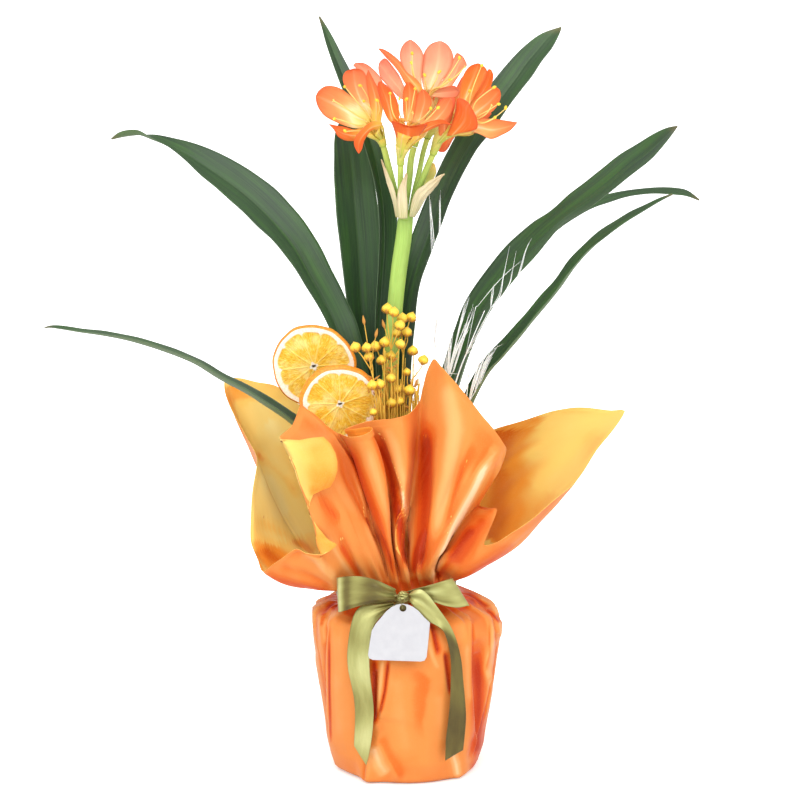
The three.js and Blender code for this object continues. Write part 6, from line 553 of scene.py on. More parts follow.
def sheet_solid(P, Nn, H, A, B=None, inner=1, rim=0):
    """closed thin solid about grid P (n, m, 3): the +N face is material 0, the -N face is `inner`, the rim is `rim`"""
    n, m = P.shape[:2]
    H = np.asarray(H, float)
    if H.ndim < 2:
        H = np.broadcast_to(H, (n, m))
    top = P + Nn * H[..., None]
    bot = P - Nn * H[..., None]
    V = np.concatenate([top.reshape(-1, 3), bot.reshape(-1, 3)])
    idx = np.arange(n * m).reshape(n, m)
    o = n * m
    a, b, c, d = idx[:-1, :-1].ravel(), idx[:-1, 1:].ravel(), idx[1:, 1:].ravel(), idx[1:, :-1].ravel()
    F = np.stack([a, b, c, d], 1).tolist()
    M = [0] * len(F)
    G = np.stack([d + o, c + o, b + o, a + o], 1).tolist()
    F += G
    M += [inner] * len(G)
    R = []
    R += [(p[0], p[3] + o, p[2], p[1]) for p in []]
    e = idx[:, 0]
    R += [(e[k], e[k + 1], e[k + 1] + o, e[k] + o) for k in range(n - 1)]
    e = idx[:, -1]
    R += [(e[k + 1], e[k], e[k] + o, e[k + 1] + o) for k in range(n - 1)]
    e = idx[0]
    R += [(e[k + 1], e[k], e[k] + o, e[k + 1] + o) for k in range(m - 1)]
    e = idx[-1]
    R += [(e[k], e[k + 1], e[k + 1] + o, e[k] + o) for k in range(m - 1)]
    F += R
    M += [rim] * len(R)
    A2 = np.concatenate([A.reshape(-1, 3), A.reshape(-1, 3)])
    A2[:o, 2], A2[o:, 2] = 1, 0
    B2 = None if B is None else np.concatenate([B.reshape(-1, 3)] * 2)
    return V, F, M, A2, B2


def grid_normals(P, ref=None):
    du = np.gradient(P, axis=1)
    dv = np.gradient(P, axis=0)
    N = np.cross(du, dv)
    l = np.linalg.norm(N, axis=-1, keepdims=True)
    N = np.where(l < 1e-7, 0, N / np.where(l < 1e-7, 1, l))
    if ref is not None:
        s = np.sign((N * ref).sum(-1, keepdims=True))
        N = np.where(l < 1e-7, ref, N * np.where(s == 0, 1, s))
    return N


def strap(rows, n, m, thick, side=1, taper=0.35, sagp=1.5, disp=None, tipthin=1.0, rnd=0.0):
    """closed blade between two margins; rows [A, B, sag]. `disp(u, v, along_mm)` moves it along its face normal"""
    S = cat(rows, n)
    A, B, sag = S[:, :3], S[:, 3:6], S[:, 6]
    C = (A + B) / 2
    T = along(C)
    W = B - A
    wl = np.linalg.norm(W, axis=1)
    w = unit(W)
    for i in range(1, n):
        if wl[i] < 0.4:
            w[i] = w[i - 1]
    nn = side * unit(np.cross(w, T))
    u = np.linspace(0, 1, m)
    k = 1 - np.abs(2 * u - 1) ** sagp
    P = A[:, None] * (1 - u)[None, :, None] + B[:, None] * u[None, :, None] - nn[:, None] * (sag[:, None] * k)[..., None]
    L = np.concatenate([[0], np.cumsum(np.linalg.norm(np.diff(C, axis=0), axis=1))])
    v = L / L[-1]
    U, Vv = np.meshgrid(u, v)
    if disp is not None:
        D = disp(U, Vv, L[:, None] * np.ones(m))
        P = P + nn[:, None] * D[..., None]
    Nn = grid_normals(P, nn[:, None] * np.ones((1, m, 1)))
    H = 0.5 * thick * (taper + (1 - taper) * (1 - np.abs(2 * u - 1) ** 2))[None, :] * (1 - (1 - tipthin) * v[:, None] ** 2)
    Aa = np.stack([U, Vv, np.zeros_like(U)], -1)
    Bb = np.stack([(U - 0.5) * np.maximum(wl, 0.5)[:, None], L[:, None] * np.ones(m), np.full_like(U, rnd)], -1)
    return sheet_solid(P, Nn, H, Aa, Bb)


def tube(path, rad, n, sides, flat=1.0, rib=None, rnd=0.0, v0=0.0, v1=1.0):
    """closed round bar along a path; flattened towards +Y by `flat`"""
    S = cat(path, n)
    R = np.maximum(0.05, cat(rad, n)[:, 0])
    T = along(S)
    up = np.array([0.0, 1.0, 0.0])
    ring_b, ring_c = np.empty_like(S), np.empty_like(S)
    if abs(T[0] @ up) > 0.95:
        up = np.array([1.0, 0, 0])
    for i in range(n):
        if abs(T[i] @ up) > 0.985:
            b = unit(ring_b[i - 1] - T[i] * (ring_b[i - 1] @ T[i])) if i else unit(np.cross(T[i], [0, 0, 1.0]))
        else:
            b = unit(np.cross(T[i], up))
        if i and b @ ring_b[i - 1] < 0:
            b = -b
        ring_b[i], ring_c[i] = b, unit(np.cross(b, T[i]))
    a = np.arange(sides) / sides * 2 * np.pi
    L = np.concatenate([[0], np.cumsum(np.linalg.norm(np.diff(S, axis=0), axis=1))])
    v = v0 + (v1 - v0) * L / max(L[-1], 1e-9)
    Rr = R[:, None] * np.ones(sides)
    if rib is not None:
        Rr = Rr * (1 + rib(a[None, :], v[:, None]))
    P = S[:, None] + ring_b[:, None] * (np.cos(a)[None] * Rr)[..., None] + ring_c[:, None] * (np.sin(a)[None] * Rr * flat)[..., None]
    V = np.concatenate([P.reshape(-1, 3), S[:1], S[-1:]])
    F = []
    for i in range(n - 1):
        for j in range(sides):
            p, q = i * sides + j, i * sides + (j + 1) % sides
            F.append((p, q, q + sides, p + sides))
    s, e = n * sides, n * sides + 1
    o = (n - 1) * sides
    for j in range(sides):
        F.append((s, (j + 1) % sides, j))
        F.append((e, o + j, o + (j + 1) % sides))
    U = np.abs(((a / (2 * np.pi) + 0.25) % 1) * 2 - 1)[None] * np.ones((n, 1))
    Aa = np.concatenate([np.stack([U, v[:, None] * np.ones(sides), np.full((n, sides), rnd)], -1).reshape(-1, 3), [[0.5, v[0], rnd], [0.5, v[-1], rnd]]])
    Bb = np.concatenate([np.stack([a[None] * R[:, None], L[:, None] * np.ones(sides), np.full((n, sides), rnd)], -1).reshape(-1, 3), [[0, 0, rnd], [0, L[-1], rnd]]])
    return V, F, 0, Aa, Bb


def revolve(prof, seg, c, axis=(0, 0, 1), lobes=None, rnd=0.0, mat=0, twist=0.0):
    """closed body of revolution: prof [(r, h)] from one pole to the other, r = 0 at both"""
    ax = unit(np.array(axis, float))
    b = unit(np.cross(ax, [0.0, 1.0, 0.0] if abs(ax[1]) < 0.9 else [1.0, 0, 0]))
    d = np.cross(ax, b)
    c = np.asarray(c, float)
    inner = prof[1:-1]
    V, A = [], []
    hs = [p[1] for p in prof]
    h0, h1 = min(hs), max(hs)
    for r, h in inner:
        for j in range(seg):
            t = j / seg * 2 * math.pi + twist
            rr = r * (1 + (lobes(t, (h - h0) / (h1 - h0)) if lobes else 0))
            V.append(c + b * math.cos(t) * rr + d * math.sin(t) * rr + ax * h)
            A.append((j / seg, (h - h0) / (h1 - h0), rnd))
    s = len(V)
    V += [c + ax * prof[0][1], c + ax * prof[-1][1]]
    A += [(0, (prof[0][1] - h0) / (h1 - h0), rnd), (0, (prof[-1][1] - h0) / (h1 - h0), rnd)]
    F = []
    for i in range(len(inner) - 1):
        for j in range(seg):
            p, q = i * seg + j, i * seg + (j + 1) % seg
            F.append((p, q, q + seg, p + seg))
    o = (len(inner) - 1) * seg
    for j in range(seg):
        F.append((s, (j + 1) % seg, j))
        F.append((s + 1, o + j, o + (j + 1) % seg))
    return np.array(V), F, mat, np.array(A), None


# ------------------------------------------------------------------ materials
def rgb(r, g, b):
    f = lambda v: v / 12.92 if v <= 0.04045 else ((v + 0.055) / 1.055) ** 2.4
    return (f(r / 255.0), f(g / 255.0), f(b / 255.0), 1.0)


class Mat:
    def __init__(self, name, rough=0.5, spec=0.5, **kw):
        self.m = bpy.data.materials.new(name)
        self.m.use_nodes = True
        self.t = self.m.node_tree
        self.t.nodes.clear()
        self.o = self.t.nodes.new("ShaderNodeOutputMaterial")
        self.b = self.t.nodes.new("ShaderNodeBsdfPrincipled")
        self.t.links.new(self.b.outputs[0], self.o.inputs[0])
        self.b.inputs["Roughness"].default_value = rough
        self.b.inputs["Specular IOR Level"].default_value = spec
        for k, v in kw.items():
            self.b.inputs[k.replace("_", " ")].default_value = v
        self._a = {}

    def put(self, sock, v):
        if isinstance(v, bpy.types.NodeSocket):
            self.t.links.new(v, sock)
        else:
            sock.default_value = v

    def node(self, typ, **p):
        n = self.t.nodes.new(typ)
        for k, v in p.items():
            setattr(n, k, v)
        return n

    def attr(self, name):
        if name not in self._a:
            n = self.node("ShaderNodeAttribute", attribute_name=name)
            s = self.node("ShaderNodeSeparateXYZ")
            self.t.links.new(n.outputs["Vector"], s.inputs[0])
            self._a[name] = (n.outputs["Vector"], s.outputs[0], s.outputs[1], s.outputs[2])
        return self._a[name]

    def pos(self):
        if "pos" not in self._a:
            n = self.node("ShaderNodeTexCoord")
            self._a["pos"] = n.outputs["Object"]
        return self._a["pos"]

    def math(self, op, a, b=0.0, c=0.0, clamp=False):
        n = self.node("ShaderNodeMath", operation=op, use_clamp=clamp)
        self.put(n.inputs[0], a)
        self.put(n.inputs[1], b)
        if op in ("MULTIPLY_ADD", "SMOOTH_MIN", "WRAP"):
            self.put(n.inputs[2], c)
        return n.outputs[0]

    def vec(self, x, y, z):
        n = self.node("ShaderNodeCombineXYZ")
        for i, v in enumerate((x, y, z)):
            self.put(n.inputs[i], v)
        return n.outputs[0]

    def scale(self, v, s):
        n = self.node("ShaderNodeVectorMath", operation="MULTIPLY")
        self.put(n.inputs[0], v)
        n.inputs[1].default_value = s
        return n.outputs[0]

    def noise(self, vec, scale=1.0, detail=3.0, rough=0.5, dist=0.0):
        n = self.node("ShaderNodeTexNoise")
        self.put(n.inputs["Vector"], vec)
        n.inputs["Scale"].default_value = scale
        n.inputs["Detail"].default_value = detail
        n.inputs["Roughness"].default_value = rough
        n.inputs["Distortion"].default_value = dist
        return n.outputs["Fac"]

    def ramp(self, fac, stops, interp="LINEAR"):
        n = self.node("ShaderNodeValToRGB")
        n.color_ramp.interpolation = interp
        e = n.color_ramp.elements
        while len(e) < len(stops):
            e.new(0.5)
        for i, (p, c) in enumerate(stops):
            e[i].position = p
            e[i].color = c if hasattr(c, "__len__") else (c, c, c, 1)
        self.put(n.inputs[0], fac)
        return n.outputs[0]

    def span(self, fac, a, b, c=0.0, d=1.0):
        n = self.node("ShaderNodeMapRange", interpolation_type="SMOOTHSTEP")
        self.put(n.inputs[0], fac)
        for i, v in enumerate((a, b, c, d)):
            n.inputs[i + 1].default_value = v
        return n.outputs[0]

    def mix(self, f, a, b, blend="MIX"):
        n = self.node("ShaderNodeMix", data_type="RGBA", blend_type=blend)
        self.put(n.inputs[0], f)
        self.put(n.inputs[6], a)
        self.put(n.inputs[7], b)
        return n.outputs[2]

    def color(self, c):
        self.put(self.b.inputs["Base Color"], c)
        return self

    def rough(self, r):
        self.put(self.b.inputs["Roughness"], r)
        return self

    def bump(self, h, strength=0.3, dist=0.001):
        n = self.node("ShaderNodeBump")
        n.inputs["Strength"].default_value = strength
        n.inputs["Distance"].default_value = dist
        self.put(n.inputs["Height"], h)
        if self.b.inputs["Normal"].is_linked:
            self.t.links.new(self.b.inputs["Normal"].links[0].from_socket, n.inputs["Normal"])
        self.t.links.new(n.outputs[0], self.b.inputs["Normal"])
        return self


def leaf_mat(name, top, tint=0.0):
    """strap leaf: long parallel veins, a paler midrib line, soft wax sheen"""
    M = Mat(name, 0.34 if top else 0.5, 0.4 if top else 0.3, Sheen_Weight=0.05, Sheen_Roughness=0.4)
    v, x, y, s = M.attr("mmc")
    _, u, t, _ = M.attr("uvc")
    fine = M.noise(M.vec(M.math("MULTIPLY", x, 1.6), M.math("MULTIPLY", y, 0.012), s), 1.0, 2.0, 0.6)
    broad = M.noise(M.vec(M.math("MULTIPLY", x, 0.22), M.math("MULTIPLY", y, 0.01), s), 1.0, 2.0, 0.5)
    blot = M.noise(M.vec(M.math("MULTIPLY", x, 0.05), M.math("MULTIPLY", y, 0.03), s), 1.0, 2.0, 0.5)
    if top:
        c = M.ramp(fine, [(0.3, rgb(34, 56, 32)), (0.5, rgb(44, 70, 38)), (0.7, rgb(56, 84, 44))])
        c = M.mix(M.math("MULTIPLY", M.span(broad, 0.38, 0.72), 0.75), c, rgb(56, 94, 38))
        c = M.mix(M.math("MULTIPLY", M.span(blot, 0.3, 0.75), 0.35), c, rgb(36, 56, 42))
    else:
        c = M.ramp(fine, [(0.3, rgb(64, 92, 48)), (0.5, rgb(82, 108, 62)), (0.7, rgb(98, 124, 74))])
        c = M.mix(M.math("MULTIPLY", M.span(blot, 0.3, 0.75), 0.35), c, rgb(88, 108, 76))
    mid = M.math("ABSOLUTE", M.math("SUBTRACT", u, 0.5))
    rib = M.span(mid, 0.0, 0.045, 1.0, 0.0)
    c = M.mix(M.math("MULTIPLY", rib, 0.16), c, rgb(84, 110, 66) if top else rgb(112, 138, 88))
    edge = M.span(mid, 0.475, 0.5, 0.0, 1.0)
    c = M.mix(M.math("MULTIPLY", edge, 0.5), c, rgb(110, 130, 100))
    tip = M.span(t, 0.975, 1.0)
    c = M.mix(M.math("MULTIPLY", tip, 0.6), c, rgb(110, 96, 60))
    M.color(c)
    M.rough(M.math("ADD", M.math("MULTIPLY", fine, 0.16), 0.33 if top else 0.42))
    M.bump(M.math("ADD", fine, M.math("MULTIPLY", rib, -0.4)), 0.22, 0.0004)
    return M.m


def petal_mat(name, inner):
    """orange tepal: cream and yellow throat, pale midrib, deeper margin, fine veins; older flowers fade to peach"""
    M = Mat(name, 0.5, 0.2, Subsurface_Weight=0.07, Subsurface_Scale=0.003, Sheen_Weight=0.04, Sheen_Roughness=0.5)
    M.b.inputs["Subsurface Radius"].default_value = (1.0, 0.35, 0.12)
    v, x, y, s = M.attr("mmc")
    _, u, t, pale = M.attr("uvc")
    fine = M.noise(M.vec(M.math("MULTIPLY", x, 2.4), M.math("MULTIPLY", y, 0.06), s), 1.0, 3.0, 0.6)
    blot = M.noise(M.vec(M.math("MULTIPLY", x, 0.14), M.math("MULTIPLY", y, 0.08), s), 1.0, 2.0, 0.5)
    mid = M.math("ABSOLUTE", M.math("SUBTRACT", u, 0.5))
    tt = M.math("ADD", t, M.math("MULTIPLY", M.math("SUBTRACT", blot, 0.5), 0.14))
    tt = M.math("ADD", tt, M.math("MULTIPLY", M.span(mid, 0.0, 0.3, 1.0, 0.0), -0.07))
    tt = M.math("ADD", tt, M.math("MULTIPLY", M.math("SUBTRACT", fine, 0.5), 0.16))
    if inner:
        c = M.ramp(tt, [(0.0, rgb(190, 196, 84)), (0.2, rgb(240, 200, 72)), (0.36, rgb(246, 222, 130)), (0.48, rgb(246, 220, 164)), (0.58, rgb(240, 164, 84)), (0.68, rgb(235, 130, 48)),
                        (0.84, rgb(230, 112, 36)), (1.0, rgb(222, 92, 28))])
        p = M.ramp(tt, [(0.0, rgb(200, 204, 90)), (0.26, rgb(246, 222, 120)), (0.48, rgb(244, 218, 166)), (0.62, rgb(238, 184, 146)), (0.82, rgb(232, 154, 124)), (1.0, rgb(226, 124, 98))])
    else:
        c = M.ramp(tt, [(0.0, rgb(166, 184, 76)), (0.24, rgb(228, 202, 88)), (0.42, rgb(240, 180, 76)), (0.58, rgb(232, 118, 40)),
                        (0.85, rgb(222, 88, 28)), (1.0, rgb(214, 76, 28))])
        p = M.ramp(tt, [(0.0, rgb(166, 184, 76)), (0.3, rgb(232, 208, 120)), (0.55, rgb(236, 160, 110)), (1.0, rgb(226, 116, 88))])
    c = M.mix(pale, c, p)
    rib = M.math("MULTIPLY", M.span(mid, 0.02, 0.07, 1.0, 0.0), M.span(t, 0.45, 0.9, 1.0, 0.1))
    c = M.mix(M.math("MULTIPLY", rib, 0.6 if inner else 0.5), c, rgb(250, 226, 184) if inner else rgb(246, 196, 150))
    c = M.mix(M.math("MULTIPLY", M.span(fine, 0.5, 0.75), 0.2), c, rgb(246, 178, 124))
    c = M.mix(M.math("MULTIPLY", M.span(fine, 0.48, 0.25), 0.2), c, rgb(214, 78, 26))
    edge = M.math("MULTIPLY", M.span(mid, 0.36, 0.5), M.span(t, 0.45, 0.7))
    c = M.mix(M.math("MULTIPLY", edge, 0.55), c, rgb(216, 84, 38))
    M.color(c)
    M.bump(fine, 0.3, 0.0004)
    return M.m


def plant_mat(name, c0, c1, c2, line=0.35, rough=0.42, spec=0.4, k=1.2):
    """green or yellow plant tissue with long streaks; c0 at the base, c1 middle, c2 top"""
    M = Mat(name, rough, spec, Subsurface_Weight=0.06, Subsurface_Scale=0.003)
    _, x, y, s = M.attr("mmc")
    _, u, t, _ = M.attr("uvc")
    fine = M.noise(M.vec(M.math("MULTIPLY", x, k), M.math("MULTIPLY", y, 0.03), s), 1.0, 3.0, 0.6)
    blot = M.noise(M.vec(M.math("MULTIPLY", x, 0.1), M.math("MULTIPLY", y, 0.05), s), 1.0, 2.0, 0.5)
    c = M.ramp(t, [(0.0, rgb(*c0)), (0.5, rgb(*c1)), (1.0, rgb(*c2))])
    c = M.mix(M.math("MULTIPLY", M.span(fine, 0.3, 0.75), line), c, rgb(*[min(255, v + 34) for v in c1]))
    c = M.mix(M.math("MULTIPLY", M.span(blot, 0.4, 0.75), 0.35), c, rgb(*[int(v * 0.78) for v in c1]))
    M.color(c)
    M.rough(M.math("ADD", M.math("MULTIPLY", blot, 0.2), rough - 0.1))
    M.bump(fine, 0.25, 0.0004)
    return M.m


def paper_mat(name, outer):
    """two-tone coated paper: satin face, faint fibre cloud, fine handling creases; painted shade deepens it to
    red-orange in its folds and a painted highlight pales it along the ridges
    """
    M = Mat(name, 0.36 if outer else 0.4, 0.13, Coat_Weight=0.025, Coat_Roughness=0.22, Sheen_Weight=0.02)
    _, x, y, k = M.attr("mmc")      # k: how sharply the sheet is creased here
    # painted light channel: painted shade (-1) deepens the colour in a fold, a painted highlight (1) pales it along a
    # ridge
    _, u, v, painted_light = M.attr("uvc")   # tone: -1 in a fold, 1 along a ridge
    p = M.pos()
    cloud = M.noise(M.scale(p, (30, 30, 30)), 1.0, 3.0, 0.5)
    fine = M.noise(M.scale(p, (900, 900, 900)), 1.0, 2.0, 0.6)
    soft = M.noise(M.scale(p, (60, 60, 60)), 1.0, 2.0, 0.45, 0.4)
    # the colour follows the painted light: painted shade towards red-orange, painted highlight towards pale
    f = M.math("ADD", M.math("MULTIPLY_ADD", painted_light, 0.5, 0.5), M.math("MULTIPLY", M.math("SUBTRACT", cloud, 0.5), 0.16))
    if outer:
        c = M.ramp(f, [(0.0, rgb(178, 50, 8)), (0.2, rgb(206, 78, 16)), (0.38, rgb(216, 107, 37)), (0.54, rgb(223, 136, 65)), (0.75, rgb(231, 163, 97)), (1.0, rgb(248, 208, 162))], "EASE")
        c = M.mix(M.math("MULTIPLY", M.span(fine, 0.45, 0.7), 0.05), c, rgb(248, 170, 110))
        c = M.mix(M.math("MULTIPLY", M.span(k, 0.3, 1.0), 0.04), c, rgb(246, 186, 136))
    else:
        c = M.ramp(f, [(0.0, rgb(224, 104, 22)), (0.25, rgb(246, 150, 52)), (0.5, rgb(255, 206, 108)), (0.75, rgb(255, 220, 130)), (1.0, rgb(255, 232, 156))], "EASE")
        c = M.mix(M.math("MULTIPLY", M.span(fine, 0.45, 0.7), 0.05), c, rgb(250, 222, 160))
    M.color(c)
    M.rough(M.math("ADD", M.math("MULTIPLY", cloud, 0.14), 0.27))
    M.bump(M.math("ADD", M.math("MULTIPLY", soft, 1.0), M.math("MULTIPLY", fine, 0.06)), 0.12, 0.0012)
    return M.m


def satin_mat(name):
    """woven satin: fine long floats, a painted highlight along its folds and painted shade in deep olive where it turns
    away, a firm selvedge
    """
    M = Mat(name, 0.34, 0.5, Metallic=0.35, Sheen_Weight=0.1, Sheen_Roughness=0.35, Anisotropic=0.35)
    _, x, y, s = M.attr("mmc")
    _, u, t, painted_light = M.attr("uvc")
    warp = M.noise(M.vec(M.math("MULTIPLY", x, 0.3), M.math("MULTIPLY", y, 6.5), s), 1.0, 2.0, 0.6)
    weft = M.noise(M.vec(M.math("MULTIPLY", x, 7.5), M.math("MULTIPLY", y, 0.12), s), 1.0, 2.0, 0.6)
    cloud = M.noise(M.vec(M.math("MULTIPLY", x, 0.2), M.math("MULTIPLY", y, 0.05), s), 1.0, 2.0, 0.5)
    # painted highlight and painted shade from the per-vertex channel, with cloud and weft
    f = M.math("ADD", M.math("MULTIPLY_ADD", painted_light, 0.5, 0.5), M.math("MULTIPLY", M.math("SUBTRACT", cloud, 0.5), 0.35))
    f = M.math("ADD", f, M.math("MULTIPLY", M.math("SUBTRACT", weft, 0.5), 0.12))
    c = M.ramp(f, [(0.0, rgb(78, 66, 26)), (0.25, rgb(108, 98, 44)), (0.5, rgb(146, 142, 78)), (0.75, rgb(174, 173, 106)), (1.0, rgb(202, 203, 138))])
    c = M.mix(M.math("MULTIPLY", M.span(warp, 0.5, 0.3), 0.1), c, rgb(98, 92, 44))
    edge = M.span(M.math("ABSOLUTE", M.math("SUBTRACT", u, 0.5)), 0.465, 0.49)
    c = M.mix(M.math("MULTIPLY", edge, 0.3), c, rgb(104, 98, 48))
    M.color(c)
    M.bump(M.math("ADD", weft, M.math("MULTIPLY", warp, 0.5)), 0.15, 0.0002)
    M.bump(edge, 0.25, 0.0003)
    return M.m


def rough_mat(name, stops, scale, rough=0.9, spec=0.2, bump=0.6, dist=0.001, detail=5.0, stretch=(1, 1, 1)):
    M = Mat(name, rough, spec)
    p = M.scale(M.pos(), tuple(scale * q for q in stretch))
    n1 = M.noise(p, 1.0, detail, 0.6)
    n2 = M.noise(p, 5.0, 2.0, 0.6)
    c = M.ramp(n1, [(a, rgb(*b)) for a, b in stops])
    c = M.mix(M.math("MULTIPLY", M.span(n2, 0.35, 0.7), 0.3), c, rgb(*stops[-1][1]))
    M.color(c)
    M.bump(M.math("ADD", n1, M.math("MULTIPLY", n2, 0.4)), bump, dist)
    return M.m


MATS = dict(
    leaf_top=leaf_mat("leaf_upper", True), leaf_under=leaf_mat("leaf_under", False),
    petal_in=petal_mat("petal_inside", True), petal_out=petal_mat("petal_outside", False),
    scape=plant_mat("flower_stalk", (146, 176, 78), (158, 190, 84), (150, 182, 84)),
    pedicel=plant_mat("pedicel", (140, 168, 76), (158, 186, 84), (190, 198, 88)),
    bud=plant_mat("bud_skin", (150, 178, 84), (176, 192, 92), (226, 180, 90)),
    bract=plant_mat("dry_bract", (160, 160, 96), (212, 196, 158), (178, 146, 104), 0.7, 0.7, 0.2, 3.2),
    filament=plant_mat("filament", (244, 200, 96), (250, 206, 110), (250, 214, 130), 0.2, 0.5, 0.3, 2.0),
    anther=rough_mat("anther_pollen", [(0.3, (214, 160, 40)), (0.5, (240, 196, 56)), (0.7, (252, 226, 110))], 1800, 0.85, 0.15, 0.6, 0.0003),
    paper_out=paper_mat("wrap_outside", True), paper_in=paper_mat("wrap_inside", False),
    satin=satin_mat("olive_satin"),
    soil=rough_mat("peat", [(0.3, (34, 24, 16)), (0.5, (58, 42, 29)), (0.7, (92, 70, 48))], 320, 0.95, 0.1, 1.0, 0.002),
    pot=rough_mat("pot_plastic", [(0.3, (104, 62, 42)), (0.5, (116, 70, 48)), (0.7, (126, 78, 55))], 60, 0.5, 0.4, 0.15, 0.0004),
    crown=rough_mat("crown_sheath", [(0.3, (122, 128, 82)), (0.5, (160, 166, 112)), (0.7, (190, 188, 142))], 90, 0.7, 0.3, 0.5, 0.001, 4.0, (2.5, 2.5, 0.5)),
    pick=rough_mat("pick_wood", [(0.3, (176, 136, 88)), (0.5, (200, 162, 112)), (0.7, (216, 184, 136))], 240, 0.75, 0.25, 0.4, 0.0004, 4.0, (3, 3, 0.3)),
    straw=plant_mat("flax_stem", (186, 138, 40), (214, 164, 56), (226, 182, 70), 0.5, 0.65, 0.25, 3.0),
    pod=None, scale=plant_mat("flax_scale", (176, 118, 50), (206, 146, 62), (186, 120, 50), 0.5, 0.7, 0.2, 3.0),
    grass=plant_mat("bleached_grass", (246, 245, 240), (250, 249, 246), (253, 252, 250), 0.3, 0.7, 0.25, 3.0),
    thread=plant_mat("tag_thread", (96, 88, 50), (120, 112, 66), (128, 120, 72), 0.3, 0.8, 0.2, 3.0),
)


def pod_mat():
    M = Mat("flax_pod", 0.45, 0.45, Subsurface_Weight=0.05, Subsurface_Scale=0.002)
    _, u, t, s = M.attr("uvc")
    p = M.pos()
    n = M.noise(M.scale(p, (420, 420, 420)), 1.0, 3.0, 0.6)
    c = M.ramp(t, [(0.0, rgb(196, 132, 38)), (0.25, rgb(232, 182, 44)), (0.7, rgb(242, 206, 62)), (0.95, rgb(232, 184, 60)), (1.0, rgb(170, 120, 60))])
    c = M.mix(M.math("MULTIPLY", M.span(n, 0.4, 0.72), 0.45), c, rgb(250, 224, 104))
    c = M.mix(M.math("MULTIPLY", M.span(n, 0.45, 0.25), 0.35), c, rgb(202, 142, 36))
    seam = M.math("ABSOLUTE", M.math("SINE", M.math("MULTIPLY", u, 15.708)))
    c = M.mix(M.span(seam, 0.12, 0.0, 0.0, 0.35), c, rgb(176, 122, 34))
    M.color(c)
    M.bump(n, 0.35, 0.0005)
    return M.m


MATS["pod"] = pod_mat()
S = MATS

# ------------------------------------------------------------------ leaves
for li, (name, rows) in enumerate(LEAVES.items()):
    side = -1 if name in ("leaf_far_left", "leaf_left_arch") else 1
    w1, w2, w3 = wave(li * 7 + 1), wave(li * 7 + 2), wave(li * 7 + 3)

    def disp(u, v, L, w1=w1, w2=w2, w3=w3):
        e = np.abs(2 * u - 1)
        ruff = 0.55 * e ** 3 * np.where(u < 0.5, w1(L / 14), w2(L / 15)) * smooth(v, 0.25, 0.5) * smooth(v, 1.0, 0.9)
        chan = -0.55 * np.exp(-(np.abs(u - 0.5) / 0.035) ** 2) * smooth(v, 1.0, 0.9)
        long = 0.35 * w3(L / 26) * (1 - e)
        return ruff + chan + long * smooth(v, 1.0, 0.85)
    g = Geo().add(*strap(rows, 110, 19, 1.25, side, 0.42, 1.5, disp, 0.45, li * 3.7))
    ob = g.build(name + "_blade", [S["leaf_top"], S["leaf_under"]])
    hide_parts(name)

# ------------------------------------------------------------------ scape, pedicels, bud, bracts
rib6 = lambda k, a: (lambda t, v: a * np.cos(k * t + 2.0 * v))
TUBES = {
    "flower_scape": ([6.2, 6.2, 6.2, 6.2, 6.2, 6.2, 6.2, 6.3, 6.3, 5.8], 60, 40, 0.72, "scape"),
    "pedicel_left": ([1.9, 2.1, 2.3, 2.4, 2.4, 2.2], 30, 20, 1, "pedicel"),
    "pedicel_front": ([1.8, 2.1, 2.2, 2.2, 2.2], 30, 20, 1, "pedicel"),
    "pedicel_top": ([1.9, 2.4, 2.6, 2.5, 2.4], 30, 20, 1, "pedicel"),
    "pedicel_back": ([1.8, 2.0, 2.0, 2.0, 2.1], 30, 20, 1, "pedicel"),
    "pedicel_right": ([1.8, 2.2, 2.4, 2.4, 2.3], 30, 20, 1, "pedicel"),
    "flower_bud": ([1.3, 1.4, 2.6, 3.7, 1.0], 36, 20, 1, "bud"),
}
for i, (name, (rad, n, sides, flat, mk)) in enumerate(TUBES.items()):
    rib = (lambda t, v: 0.012 * np.cos(9 * t) + 0.01 * np.cos(14 * t + 1)) if name == "flower_scape" else (lambda t, v: 0.02 * np.cos(6 * t) + 0 * v)
    if name == "flower_bud":
        rib = lambda t, v: 0.05 * np.cos(3 * t) * smooth(v, 0.35, 0.6)
    g = Geo().add(*tube(PATHS[name], rad, n, sides, flat, rib, i * 2.3))
    if name == "flower_scape":                     # the swollen head that the flower stalks grow from
        V, F, _, A1, _ = revolve([(0, -6.0), (4.6, -4.5), (5.4, -1.5), (4.9, 1.2), (3.0, 3.4), (0, 4.4)], 28, PATHS[name][-1], (0, 0, 1), lambda t, h: 0.05 * math.cos(5 * t))
        g.add(V, F, 0, A1)
    ob = g.build(name + "_skin", [S[mk]])
    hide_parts(name)
for i, (name, rows) in enumerate(BRACTS.items()):
    w1, w2 = wave(40 + i), wave(50 + i)
    disp = lambda u, v, L, w1=w1, w2=w2: 0.5 * w1(L / 4 + 3 * u) * smooth(v, 0.15, 0.6) + 0.35 * np.sin(u * 18 + i) * smooth(v, 0.0, 0.5)
    g = Geo().add(*strap(rows, 34, 13, 0.4, -1, 0.6, 1.5, disp, 0.6, i * 1.9))
    ob = g.build(name + "_skin", [S["bract"], S["bract"]])
    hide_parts(name)

